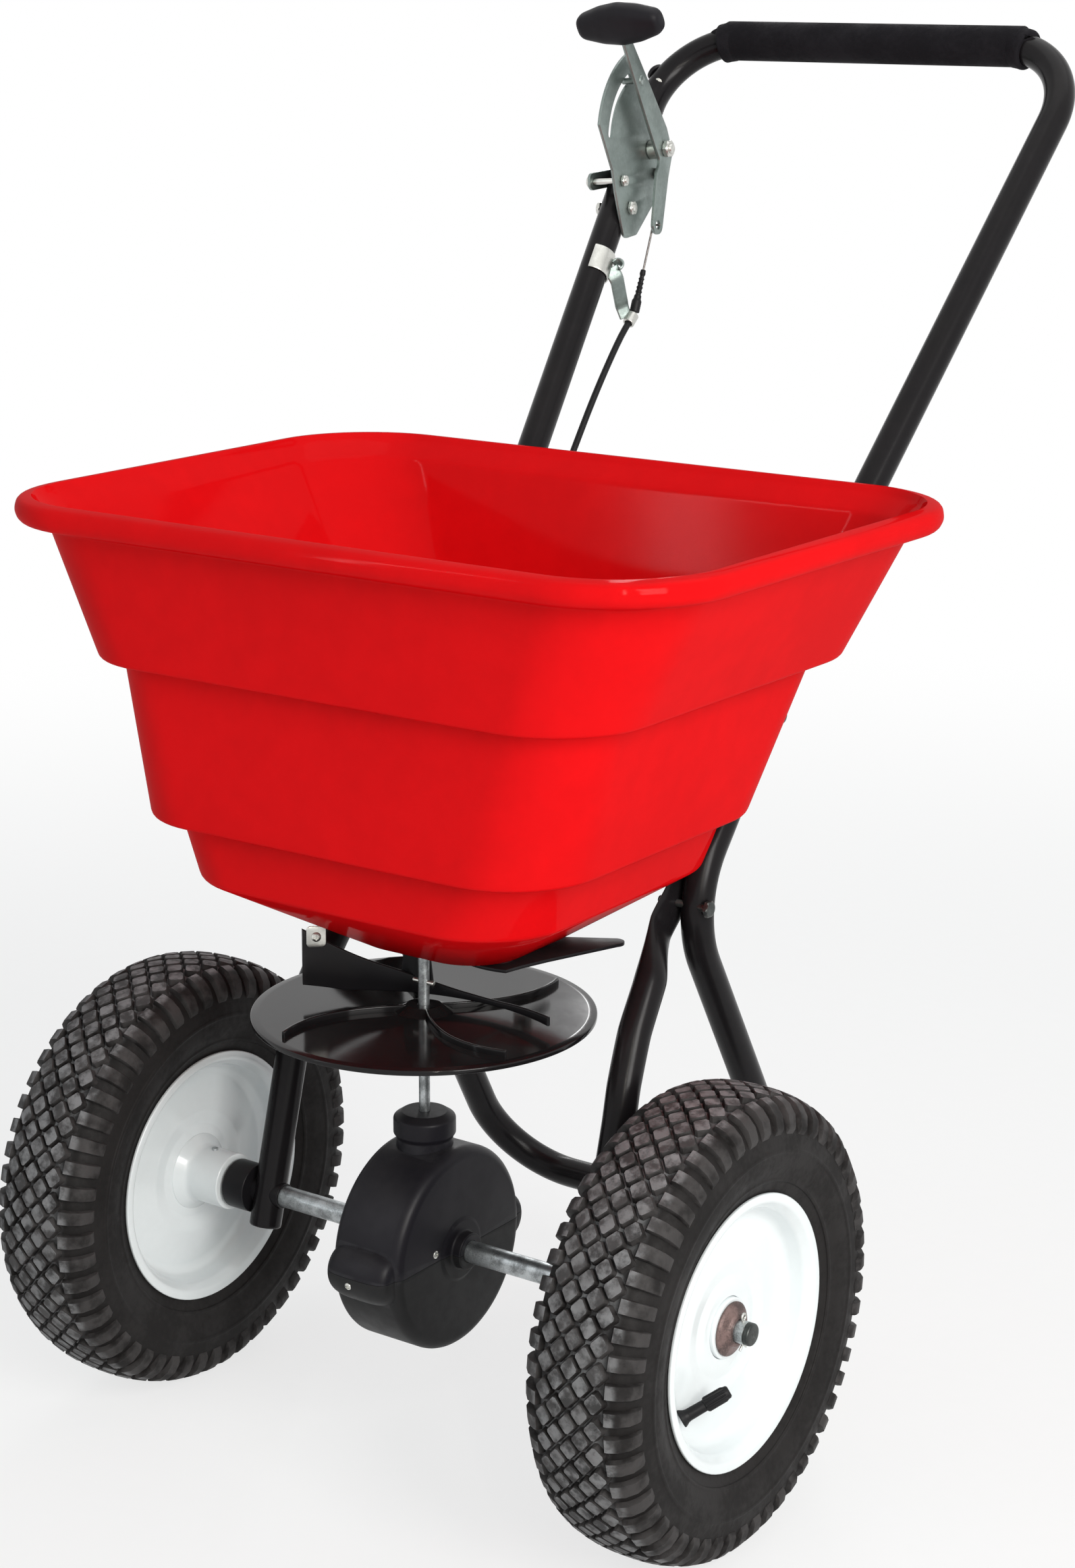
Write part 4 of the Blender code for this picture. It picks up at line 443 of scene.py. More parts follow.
def dowel(low: float, high: float, radius: float, edge: float, steps: int,
          axis: Axis = Axis.ACROSS) -> Mesh:
    """A plain round pin with eased ends.

    Args:
        low: where it starts.
        high: where it ends.
        radius: its radius.
        edge: how far its ends are eased.
        steps: how many parts the circle has.
        axis: the line it lies along.

    Returns:
        The mesh.
    """
    return turned("pin", [(low, 0), (low, radius, edge), (high, radius, edge), (high, 0)],
                  steps, axis)


def swept_rings(path: Sequence[Vector], sections: Sequence | tuple | float, sides: int,
                side: Sequence[float] = (1, 0, 0), power: float = 1.0) -> list[list[Vector]]:
    """Rings square to a path.

    Args:
        path: the points to follow.
        sections: a radius or a (wide, tall) pair, for all points or one for each.
        sides: how many points a ring has.
        side: which way a section's width lies at the start.
        power: under 1 squares a section off, as in a pressed strip.

    Returns:
        The rings.
    """
    across = Vector(side)
    rings = []
    for i, point in enumerate(path):
        into = (point - path[i - 1]).normalized() if i else (path[1] - point).normalized()
        out = (path[i + 1] - point).normalized() if i < len(path) - 1 else into
        tangent = (into + out).normalized()
        across = (across - tangent * across.dot(tangent)).normalized()
        over = tangent.cross(across)
        section = sections[i] if isinstance(sections, list) else sections
        wide, tall = section if isinstance(section, tuple) else (section, section)
        rings.append([point + across * wide * squared_off(c, power)
                      + over * tall * squared_off(s, power) for c, s in round_turns(sides, 0.5)])
    return rings


def round_ended(rings: list[list[Vector]], radius: float, steps: int = 3) -> list[list[Vector]]:
    """Draws both end rings of a sweep in over a small radius.

    Args:
        rings: the sweep's rings.
        radius: the rounding's radius.
        steps: how many parts the rounding has.

    Returns:
        The rings, with each end one replaced by its rounding.
    """
    def lip(ring: list[Vector], following: list[Vector]) -> list[list[Vector]]:
        """The rings of one rounded end, from the face outwards.

        Args:
            ring: the ring at the end.
            following: the ring next to it.

        Returns:
            The rings.
        """
        middle = sum(ring, Vector()) / len(ring)
        inward = (sum(following, Vector()) / len(following) - middle).normalized()
        made = []
        for k in range(steps + 1):
            turn = math.pi / 2 * k / steps
            along = radius * (1 - math.cos(turn))
            inset = radius * (1 - math.sin(turn))
            made.append([p + inward * along - (p - middle).normalized() * inset for p in ring])
        return made

    return lip(rings[0], rings[1]) + rings[1:-1] + lip(rings[-1], rings[-2])[::-1]


def swept(path: Sequence[Vector], sections: Sequence | tuple | float, sides: int = 32,
          side: Sequence[float] = (1, 0, 0), power: float = 1.0, lip: float = 0.0) -> Mesh:
    """A bar along a path, as swept_rings() says, with ends that are rounded by lip.

    Args:
        path: the points to follow.
        sections: a radius or a (wide, tall) pair, for all points or one for each.
        sides: how many points a ring has.
        side: which way a section's width lies at the start.
        power: under 1 squares a section off.
        lip: the radius that both ends are rounded by, or 0.

    Returns:
        The mesh.
    """
    rings = swept_rings(path, sections, sides, side, power)
    if lip:
        rings = round_ended(rings, lip)
    return skin("bar", rings)


def plate(name: str, outline: Sequence[Flat], thick: float, holes: Iterable = (),
          edge: float = 0.0004, axis: Axis = Axis.UPRIGHT) -> Mesh:
    """A flat plate with eased edges.

    Args:
        name: the mesh's name.
        outline: its outline.
        thick: its thickness, half of it on each side of the plane.
        holes: the outlines of its holes.
        edge: how far its edges are eased.
        axis: what it lies across.

    Returns:
        The mesh.
    """
    curve = bpy.data.curves.new(name, "CURVE")
    curve.dimensions = "2D"
    curve.fill_mode = "BOTH"
    curve.extrude = thick / 2 - edge
    curve.bevel_depth = edge
    curve.bevel_resolution = 1
    curve.offset = -edge
    for loop in (outline, *holes):
        lined(curve, [(x, y, 0) for x, y in loop]).use_cyclic_u = True
    holder = linked(name, curve)
    mesh = evaluated(holder)
    bpy.data.objects.remove(holder)
    if axis is Axis.ACROSS:
        mesh.transform(Matrix(((0, 0, 1, 0), (1, 0, 0, 0), (0, 1, 0, 0), (0, 0, 0, 1))))
    bm = bmesh.new()
    bm.from_mesh(mesh)
    return finished(bm, name, 28)


def lined(curve: Curve, points: Sequence[Sequence[float]]) -> bpy.types.Spline:
    """Adds straight runs through points to a curve.

    Args:
        curve: what they are added to.
        points: the points.

    Returns:
        The spline.
    """
    spline = curve.splines.new("POLY")
    spline.points.add(len(points) - 1)
    for target, point in zip(spline.points, points):
        target.co = (*point, 1)
    return spline


def block(name: str, low: Sequence[float], high: Sequence[float], edge: float = 0.0004) -> Mesh:
    """A box between two corners with eased edges.

    Args:
        name: the mesh's name.
        low: the low corner.
        high: the high corner.
        edge: how far its edges are eased, or 0.

    Returns:
        The mesh.
    """
    bm = bmesh.new()
    bmesh.ops.create_cube(bm, size=1.0)
    bmesh.ops.scale(bm, verts=bm.verts, vec=[b - a for a, b in zip(low, high)])
    bmesh.ops.translate(bm, verts=bm.verts, vec=[(a + b) / 2 for a, b in zip(low, high)])
    if edge:
        bmesh.ops.bevel(bm, geom=bm.edges, offset=edge, segments=2, affect="EDGES", profile=0.5)
    return finished(bm, name)


def moved(mesh: Mesh, at: Sequence[float] = (0, 0, 0), turn: Quaternion | None = None) -> Mesh:
    """The mesh itself, turned and then moved.

    Args:
        mesh: what is moved.
        at: how far.
        turn: how it is turned.

    Returns:
        The same mesh.
    """
    rotation = turn.to_matrix().to_4x4() if turn else Matrix.Identity(4)
    mesh.transform(Matrix.Translation(at) @ rotation)
    return mesh


def gathered(name: str, meshes: Sequence[Mesh]) -> Mesh:
    """One mesh that holds several closed shapes.

    Args:
        name: the mesh's name.
        meshes: the shapes, which are used up.

    Returns:
        The mesh.
    """
    bm = bmesh.new()
    for mesh in meshes:
        bm.from_mesh(mesh)
        bpy.data.meshes.remove(mesh)
    return finished(bm, name, 32, merged=False)


def cuts(*solids: Mesh) -> list[tuple[str, Mesh]]:
    """Steps for carved() that take solids away."""
    return [("DIFFERENCE", solid) for solid in solids]


def carved(name: str, base: Mesh, steps: Sequence[tuple[str, Mesh]],
           edge: float = 0.0) -> Mesh:
    """Cuts and joins solids, one after the other.

    Args:
        name: the mesh's name.
        base: what it starts from.
        steps: (DIFFERENCE, UNION or INTERSECT, the other solid) for each step.
        edge: how far the edges are eased at the end, or 0.

    Returns:
        The mesh that comes out; the others are used up.
    """
    body = linked(name, base)
    used = [body]
    for operation, mesh in steps:
        used.append(linked("helper", mesh))
        step = body.modifiers.new("step", "BOOLEAN")
        step.operation = operation
        step.solver = "EXACT"
        step.object = used[-1]
    if edge:
        ease = body.modifiers.new("ease", "BEVEL")
        ease.limit_method = "ANGLE"
        ease.angle_limit = math.radians(40)
        ease.width = edge
        ease.segments = 2
        ease.use_clamp_overlap = True
    made = evaluated(body)
    for item in used:
        data = item.data
        bpy.data.objects.remove(item)
        bpy.data.meshes.remove(data)
    made.name = name
    return smoothed(made)


def bar(radius: float, start: float, end: float, axis: Axis = Axis.ACROSS,
        steps: int = 32) -> Mesh:
    """A plain round bar, mostly used to cut with.

    Args:
        radius: its radius.
        start: where it starts.
        end: where it ends.
        axis: the line it lies along.
        steps: how many parts the circle has.

    Returns:
        The mesh.
    """
    return skin("bar", turned_rings([(start, radius), (end, radius)], steps, axis))


# Fasteners


def hex_ring(along: float, reach: float, limit: float) -> list[Vector]:
    """A six-sided ring whose corners are cut back to a limit.

    Args:
        along: its place on the axis.
        reach: how far out a corner is.
        limit: how far out a corner may be.

    Returns:
        Its points.
    """
    flat = reach * math.cos(math.pi / 6)
    ring = []
    for k in range(HEX_STEPS):
        turn = 2 * math.pi * k / HEX_STEPS
        out = min(flat / math.cos((turn % (math.pi / 3)) - math.pi / 6), limit)
        ring.append(Vector((along, out * math.cos(turn), out * math.sin(turn))))
    return ring


def threaded(start: float, end: float, radius: float) -> list[Flat]:
    """A bolt's thread as a profile, with a lead-in at its end.

    Args:
        start: where it starts.
        end: where it ends.
        radius: the crests' radius.

    Returns:
        The (along, radius) points.
    """
    pitch = 0.16 * radius + 0.0004
    profile = []
    for i in range(max(1, int((end - start) / pitch))):
        at = start + i * pitch
        profile += [(at, 0.9 * radius), (at + pitch / 2, radius)]
    return profile + [(end - 0.0003, 0.88 * radius), (end, 0.6 * radius), (end, 0)]


@dataclass(frozen=True)
class HexBolt:
    """A hex bolt with its nut run up. It lies along +X, the clamped stack from 0 to grip."""

    grip: float
    shank: float
    head: float
    head_high: float
    nut_high: float
    tail: float

    def mesh(self) -> Mesh:
        """Head, shank, nut and threaded tail as one mesh.

        Returns:
            The mesh.
        """
        reach, high, thick = self.head, self.head_high, self.nut_high
        flat = reach * math.cos(math.pi / 6)
        start = self.grip + GAP
        end = start + thick
        head = ((-GAP - high, 0.60 * flat), (-GAP - high, 0.86 * flat),
                (-GAP - 0.93 * high, 0.97 * flat), (-GAP - 0.72 * high, reach),
                (-GAP - 0.10 * high, reach), (-GAP, 0.98 * flat))
        nut = ((start, 0.96 * flat), (start + 0.18 * thick, reach), (end - 0.22 * thick, reach),
               (end, 0.94 * flat), (end, 0.62 * flat), (end - 0.0003, 0.55 * flat))
        bm = bmesh.new()
        for stations in (head, nut):
            add_skin(bm, [hex_ring(along, reach, limit) for along, limit in stations])
        profile = [(-GAP, 0), (-GAP, self.shank)]
        profile += threaded(start, end + self.tail, self.shank)
        add_skin(bm, turned_rings(profile, 24, Axis.ACROSS))
        return finished(bm, "bolt", 25)


def pan_screw(radius: float, high: float) -> Mesh:
    """A cross-slot pan head on +X, its seat at 0.

    Args:
        radius: the head's radius.
        high: the head's height.

    Returns:
        The mesh.
    """
    head = turned("head", [
        (-0.001, 0), (-0.001, 0.5 * radius), (0, 0.55 * radius), (0, radius, 0.0001),
        (0.55 * high, 0.96 * radius, 0.0006), (high, 0.55 * radius, 0.0008), (high, 0)],
        28, arcs=5)
    width = 0.16 * radius
    slots = [block("slot", (0.45 * high, -a, -b), (2 * high, a, b), 0)
             for a, b in ((width, 0.62 * radius), (0.62 * radius, width))]
    return carved("screw", head, cuts(*slots))


# Finishes


class Sheet:
    """The nodes of one material or one group."""

    def __init__(self, tree: NodeTree) -> None:
        """Keeps the tree that nodes are added to."""
        self.tree = tree

    def node(self, kind: str, feeds: dict[str | int, Value] | None = None,
             **settings: object) -> Node:
        """A new node.

        Args:
            kind: what sort of node.
            feeds: what goes into its inputs, by name or number.
            settings: its settings by name.

        Returns:
            The node.
        """
        made = self.tree.nodes.new(kind)
        for name, value in settings.items():
            setattr(made, name, value)
        for key, value in (feeds or {}).items():
            self.feed(made.inputs[key], value)
        return made

    def feed(self, target: NodeSocket, value: Value) -> None:
        """Wires a socket to a target, or writes a number into it.

        Args:
            target: the input.
            value: what goes into it.
        """
        if isinstance(value, NodeSocket):
            self.tree.links.new(value, target)
        else:
            target.default_value = value

    def sum(self, operation: str, *values: Value, clamp: bool = False) -> NodeSocket:
        """The result of a sum on numbers or sockets."""
        return self.node("ShaderNodeMath", dict(enumerate(values)), operation=operation,
                         use_clamp=clamp).outputs[0]

    def ranged(self, value: Value, low: Value, high: Value, to_low: float = 0.0,
               to_high: float = 1.0) -> NodeSocket:
        """A value taken smoothly from one range to another."""
        return self.node("ShaderNodeMapRange", {
            "Value": value, "From Min": low, "From Max": high, "To Min": to_low,
            "To Max": to_high}, interpolation_type="SMOOTHSTEP").outputs["Result"]

    def noise(self, vector: Value, scale: Value, detail: float = 4.0,
              rough: float = 0.55) -> NodeSocket:
        """A noise value."""
        return self.node("ShaderNodeTexNoise", {
            "Vector": vector, "Scale": scale, "Detail": detail, "Roughness": rough,
        }).outputs["Fac"]

    def cells(self, given: dict, feature: str) -> NodeSocket:
        """The distance from the middle of a cell, at a group's own place and scale."""
        return self.node("ShaderNodeTexVoronoi", {
            "Vector": given["Vector"], "Scale": given["Scale"]}, feature=feature,
        ).outputs["Distance"]

    def blend(self, factor: Value, first: Value, second: Value) -> NodeSocket:
        """Two colours mixed by a factor; a plain colour is (red, green, blue)."""
        first, second = ((*c, 1.0) if isinstance(c, tuple) else c for c in (first, second))
        return self.node("ShaderNodeMix", {"Factor": factor, 6: first, 7: second},
                         data_type="RGBA").outputs[2]

    def parts(self, vector: NodeSocket) -> bpy.types.bpy_prop_collection:
        """X, Y and Z of a vector, by name."""
        return self.node("ShaderNodeSeparateXYZ", {0: vector}).outputs

    def off_axis(self, vector: NodeSocket) -> NodeSocket:
        """How far a place is from the X axis.

        Args:
            vector: the place.

        Returns:
            The distance.
        """
        split = self.parts(vector)
        squares = self.sum("MULTIPLY_ADD", split["Y"], split["Y"],
                           self.sum("MULTIPLY", split["Z"], split["Z"]))
        return self.sum("SQRT", squares)

    def texture_place(self, key: str) -> NodeSocket:
        """One of the texture coordinates."""
        return self.node("ShaderNodeTexCoord").outputs[key]


def new_group(name: str, numbers: dict[str, float], output: str) -> tuple[Sheet, dict, NodeSocket]:
    """Starts a node group with a Vector input.

    Args:
        name: the group's name.
        numbers: the numbers that it takes, with their usual values.
        output: the name of the value that it gives.

    Returns:
        Its sheet, its input sockets by name, and its output socket.
    """
    tree = bpy.data.node_groups.new(name, "ShaderNodeTree")
    tree.interface.new_socket("Vector", in_out="INPUT", socket_type="NodeSocketVector")
    for key, usual in numbers.items():
        made = tree.interface.new_socket(key, in_out="INPUT", socket_type="NodeSocketFloat")
        made.default_value = usual
    tree.interface.new_socket(output, in_out="OUTPUT", socket_type="NodeSocketFloat")
    sheet = Sheet(tree)
    given = sheet.node("NodeGroupInput")
    return sheet, dict(given.outputs.items()), sheet.node("NodeGroupOutput").inputs[output]


class Effects:
    """The shared effects, each a node group that is built once."""

    def __init__(self) -> None:
        """Builds every group."""
        self.clouds = self.cloud_group()
        self.wear = self.wear_group()
        self.dust = self.dust_group()
        self.band = self.band_group()
        self.reliefs = {
            Relief.PEBBLED: self.pebble_group(), Relief.CELLS: self.cell_group(),
            Relief.TURNED: self.turning_group(), Relief.BRUSHED: self.brushing_group(),
        }

    @staticmethod
    def cloud_group() -> NodeTree:
        """Slow shifts of shade over a surface: fine over coarse noise.

        Returns:
            The group.
        """
        sheet, given, result = new_group("cloudy shade", {"Scale": 12.0}, "Shade")
        coarse = sheet.noise(given["Vector"], given["Scale"], 3.0)
        fine_scale = sheet.sum("MULTIPLY", given["Scale"], 9.0)
        fine = sheet.noise(given["Vector"], fine_scale, 5.0, 0.6)
        mixed = sheet.sum("MULTIPLY_ADD", fine, 0.35, sheet.sum("MULTIPLY", coarse, 0.65))
        sheet.feed(result, sheet.ranged(mixed, 0.36, 0.64))
        return sheet.tree

    @staticmethod
    def wear_group() -> NodeTree:
        """Rubbed corners, where the surface turns sharply outwards.

        Returns:
            The group.
        """
        sheet, given, result = new_group("rubbed edges", {"Amount": 0.5, "Scale": 60.0}, "Mask")
        point = sheet.node("ShaderNodeNewGeometry").outputs["Pointiness"]
        edge = sheet.ranged(point, 0.515, 0.60)
        broken = sheet.ranged(sheet.noise(given["Vector"], given["Scale"], 6.0), 0.35, 0.62)
        rubbed = sheet.sum("MULTIPLY", edge, broken)
        sheet.feed(result, sheet.sum("MULTIPLY", rubbed, given["Amount"], clamp=True))
        return sheet.tree

    @staticmethod
    def dust_group() -> NodeTree:
        """Dust that settles on what faces up.

        Returns:
            The group.
        """
        sheet, given, result = new_group("settled dust", {"Amount": 0.2, "Scale": 25.0}, "Mask")
        upward = sheet.ranged(sheet.parts(sheet.texture_place("Normal"))["Z"], 0.15, 1.0)
        patchy = sheet.ranged(sheet.noise(given["Vector"], given["Scale"], 8.0, 0.65), 0.30, 0.72)
        settled = sheet.sum("MULTIPLY", upward, patchy)
        sheet.feed(result, sheet.sum("MULTIPLY", settled, given["Amount"], clamp=True))
        return sheet.tree

    @staticmethod
    def pebble_group() -> NodeTree:
        """The fine pebbled skin of moulded plastic and rubber.

        Returns:
            The group.
        """
        sheet, given, result = new_group("pebbled skin", {"Scale": 900.0}, "Height")
        soft = sheet.noise(given["Vector"], given["Scale"], 2.0)
        grain = sheet.cells(given, "SMOOTH_F1")
        sheet.feed(result, sheet.sum("MULTIPLY_ADD", grain, -0.7, soft))
        return sheet.tree

    @staticmethod
    def cell_group() -> NodeTree:
        """Open cells, as in foam.

        Returns:
            The group.
        """
        sheet, given, result = new_group("open cells", {"Scale": 900.0}, "Height")
        sheet.feed(result, sheet.ranged(sheet.cells(given, "F1"), 0.15, 0.6))
        return sheet.tree

    @staticmethod
    def turning_group() -> NodeTree:
        """Rings that a lathe or a press leaves round the X axis.

        Returns:
            The group.
        """
        sheet, given, result = new_group("turning lines", {"Scale": 2500.0}, "Height")
        along = sheet.sum("ADD", sheet.off_axis(given["Vector"]),
                          sheet.parts(given["Vector"])["X"])
        merged = sheet.node("ShaderNodeCombineXYZ", {"X": along})
        sheet.feed(result, sheet.noise(merged.outputs[0], given["Scale"], 3.0, 0.7))
        return sheet.tree

    @staticmethod
    def brushing_group() -> NodeTree:
        """Fine scratches along one way of rolled sheet.

        Returns:
            The group.
        """
        sheet, given, result = new_group("rolled sheet", {"Scale": 300.0}, "Height")
        stretch = sheet.node("ShaderNodeMapping", {
            "Vector": given["Vector"], "Rotation": (0.5, 0.3, 0.2), "Scale": (1.0, 1.0, 0.06)})
        sheet.feed(result, sheet.noise(stretch.outputs[0], given["Scale"], 6.0, 0.7))
        return sheet.tree

    @staticmethod
    def band_group() -> NodeTree:
        """Faces that look away from the X axis, in a ring round it, as where a tread wears.

        Returns:
            The group.
        """
        sheet, given, result = new_group(
            "ring round the axle", {"From": 0.16, "To": 0.165, "Breakup": 0.3}, "Mask")
        inside = sheet.ranged(sheet.off_axis(given["Vector"]), given["From"], given["To"])
        around = sheet.node("ShaderNodeVectorMath", {0: given["Vector"], 1: (0.0, 1.0, 1.0)},
                            operation="MULTIPLY")
        outward = sheet.node("ShaderNodeVectorMath", {0: around.outputs[0]},
                             operation="NORMALIZE")
        facing = sheet.node("ShaderNodeVectorMath", {
            0: outward.outputs[0], 1: sheet.texture_place("Normal")}, operation="DOT_PRODUCT")
        looking = sheet.ranged(facing.outputs["Value"], 0.80, 0.93)
        inside = sheet.sum("MULTIPLY", inside, looking)
        patchy = sheet.ranged(sheet.noise(given["Vector"], 90.0, 6.0, 0.6), 0.38, 0.62)
        broken = sheet.sum("MULTIPLY", sheet.sum("SUBTRACT", 1.0, patchy), given["Breakup"])
        kept = sheet.sum("SUBTRACT", 1.0, broken)
        sheet.feed(result, sheet.sum("MULTIPLY", inside, kept, clamp=True))
        return sheet.tree


@dataclass(frozen=True)
class Finish:
    """One surface: its colour, how it shines, its fine relief and its wear.

    Attributes:
        relief: (kind, scale, depth in metres).
        wear: (amount, colour) of rubbed corners.
        dust: (amount, colour) of what settles on top.
        band: (from, to, breakup, colour) of a ring round the axle.
    """

    name: str
    slot: str
    colour: Colour
    roughness: float
    metallic: float = 0.0
    shade: float = 0.82
    cloud_scale: float = 12.0
    relief: tuple[Relief, float, float] = (Relief.PEBBLED, 1000.0, 0.00001)
    wear: tuple[float, Colour] | None = None
    dust: tuple[float, Colour] | None = None
    band: tuple[float, float, float, Colour] | None = None
    coat: float = 0.0
    specular: float = 0.5

    def material(self, effects: Effects) -> Material:
        """Builds the material.

        Args:
            effects: the shared node groups.

        Returns:
            The material, with every effect that this finish asks for.
        """
        made = bpy.data.materials.new(self.name)
        made.use_nodes = True
        made.diffuse_color = (*self.colour, 1.0)
        sheet = Sheet(made.node_tree)
        vector = sheet.texture_place("Object")

        def effect(tree: NodeTree, **values: float) -> NodeSocket:
            """What a shared effect gives with this finish's own values."""
            return sheet.node("ShaderNodeGroup", {"Vector": vector, **values},
                              node_tree=tree).outputs[0]

        shade = effect(effects.clouds, Scale=self.cloud_scale)
        colour = sheet.blend(shade, tuple(self.shade * c for c in self.colour), self.colour)
        rough = sheet.ranged(shade, 0.0, 1.0, self.roughness * 1.12, self.roughness * 0.90)
        if self.band:
            start, end, breakup, tone = self.band
            ring = effect(effects.band, From=start, To=end, Breakup=breakup)
            colour = sheet.blend(ring, colour, tone)
        if self.wear:
            amount, tone = self.wear
            colour = sheet.blend(effect(effects.wear, Amount=amount), colour, tone)
        if self.dust:
            amount, tone = self.dust
            dust = effect(effects.dust, Amount=amount)
            colour = sheet.blend(dust, colour, tone)
            rough = sheet.sum("MULTIPLY_ADD", dust, 0.3, rough, clamp=True)
        kind, scale, depth = self.relief
        height = effect(effects.reliefs[kind], Scale=scale)
        bump = sheet.node("ShaderNodeBump", {"Strength": 1.0, "Distance": depth,
                                             "Height": height})
        shader = made.node_tree.nodes["Principled BSDF"]
        for key, value in (("Base Color", colour), ("Roughness", rough),
                           ("Metallic", self.metallic), ("Specular IOR Level", self.specular),
                           ("Coat Weight", self.coat), ("Coat Roughness", COAT_ROUGHNESS),
                           ("Normal", bump.outputs["Normal"])):
            sheet.feed(shader.inputs[key], value)
        return made


DUST: Colour = (0.30, 0.27, 0.23)
FINISHES = {
    "hopper": Finish(
        "hopper red", "hopper", (0.69, 0.0045, 0.0065), 0.34, shade=0.90, cloud_scale=5.0,
        relief=(Relief.PEBBLED, 700.0, 0.000008), wear=(0.15, (0.88, 0.03, 0.025)),
        dust=(0.01, (0.66, 0.04, 0.03)), specular=0.0, coat=0.08),
    "paint": Finish(
        "black tube paint", "tube_paint", (0.0105, 0.0095, 0.0105), 0.24, shade=0.75,
        cloud_scale=18.0, relief=(Relief.PEBBLED, 90.0, 0.000012),
        wear=(0.3, (0.07, 0.066, 0.062)), dust=(0.02, DUST), specular=0.13),
    "plastic": Finish(
        "black moulding", "black_plastic", (0.0100, 0.0094, 0.0110), 0.34, shade=0.80,
        relief=(Relief.PEBBLED, 1400.0, 0.00001), wear=(0.3, (0.05, 0.05, 0.05)),
        dust=(0.03, DUST), specular=0.18),
    "disc": Finish(
        "black disc", "disc", (0.0095, 0.0088, 0.0095), 0.11, shade=0.85, cloud_scale=20.0,
        relief=(Relief.PEBBLED, 120.0, 0.00001), wear=(0.3, (0.06, 0.06, 0.06)),
        dust=(0.02, DUST), specular=0.20),
    "case": Finish(
        "gear case moulding", "gear_case", (0.0125, 0.0115, 0.0150), 0.40, shade=0.80,
        wear=(0.3, (0.05, 0.05, 0.055)), dust=(0.03, DUST), specular=0.15),
    # The lower half of the gear case is the same moulding painted lighter: a painted reflection of
    # the floor.
    "case lower painted reflection": Finish(
        "lower gear half with painted floor reflection", "gear_case", (0.0165, 0.0165, 0.0172), 0.46, shade=0.80,
        wear=(0.3, (0.05, 0.05, 0.055)), specular=0.15),
    "tyre": Finish(
        "tyre rubber", "tyre", (0.0125, 0.0110, 0.0108), 0.62, shade=0.60, cloud_scale=25.0,
        relief=(Relief.PEBBLED, 520.0, 0.00006), wear=(0.45, (0.085, 0.080, 0.080)),
        specular=0.18, band=(0.1560, 0.1610, 0.85, (0.200, 0.202, 0.208))),
    "rubber": Finish(
        "soft rubber", "soft_rubber", (0.0090, 0.0090, 0.0100), 0.50, shade=0.80,
        relief=(Relief.PEBBLED, 1500.0, 0.00001), wear=(0.3, (0.04, 0.04, 0.04)),
        specular=0.20),
    "foam": Finish(
        "grip foam", "foam", (0.0120, 0.0110, 0.0135), 0.80, shade=0.75, cloud_scale=30.0,
        relief=(Relief.CELLS, 900.0, 0.00010), wear=(0.1, (0.04, 0.04, 0.04)), specular=0.10),
    "knob": Finish(
        "knob moulding", "knob", (0.0120, 0.0112, 0.0140), 0.46, shade=0.80,
        relief=(Relief.PEBBLED, 700.0, 0.00002), wear=(0.3, (0.04, 0.04, 0.04)),
        specular=0.15),
    "rim": Finish(
        "white rim enamel", "rim", (0.755, 0.800, 0.815), 0.20, shade=0.965, cloud_scale=14.0,
        relief=(Relief.PEBBLED, 120.0, 0.000008), dust=(0.04, (0.60, 0.56, 0.50)), coat=0.3),
    "steel": Finish(
        "bright steel", "bright_steel", (0.50, 0.53, 0.54), 0.36, 0.85, shade=0.40,
        cloud_scale=110.0, relief=(Relief.TURNED, 2200.0, 0.00001)),
    "zinc": Finish(
        "zinc plate", "zinc", (0.66, 0.66, 0.62), 0.34, 1.0, shade=0.80, cloud_scale=90.0,
        relief=(Relief.BRUSHED, 900.0, 0.000008), wear=(0.4, (0.80, 0.80, 0.78))),
    "lever zinc": Finish(
        "lever zinc", "lever_zinc", (0.24, 0.285, 0.27), 0.42, 0.85, shade=0.80,
        cloud_scale=45.0, relief=(Relief.BRUSHED, 500.0, 0.00001),
        wear=(0.6, (0.52, 0.57, 0.55))),
    "gear": Finish(
        "gear metal", "gear", (0.34, 0.34, 0.35), 0.42, 0.9, shade=0.75, cloud_scale=60.0,
        relief=(Relief.PEBBLED, 1800.0, 0.00002), wear=(0.4, (0.5, 0.5, 0.5))),
    "wire": Finish(
        "cable wire", "wire", (0.22, 0.20, 0.19), 0.38, 0.9, shade=0.7, cloud_scale=200.0,
        relief=(Relief.BRUSHED, 2000.0, 0.00001)),
    "nylon": Finish(
        "nylon", "nylon", (0.74, 0.73, 0.68), 0.48, shade=0.92,
        relief=(Relief.PEBBLED, 1200.0, 0.00001), dust=(0.1, DUST)),
    "washer": Finish(
        "rusted washer", "washer", (0.20, 0.132, 0.122), 0.50, 0.35, shade=0.35,
        cloud_scale=110.0, relief=(Relief.PEBBLED, 900.0, 0.00008),
        wear=(0.6, (0.50, 0.44, 0.42))),
    "dark steel": Finish(
        "dark steel", "bright_steel", (0.060, 0.066, 0.064), 0.38, 0.7, shade=0.60,
        cloud_scale=120.0, relief=(Relief.TURNED, 1800.0, 0.00001),
        wear=(0.5, (0.32, 0.33, 0.32))),
}


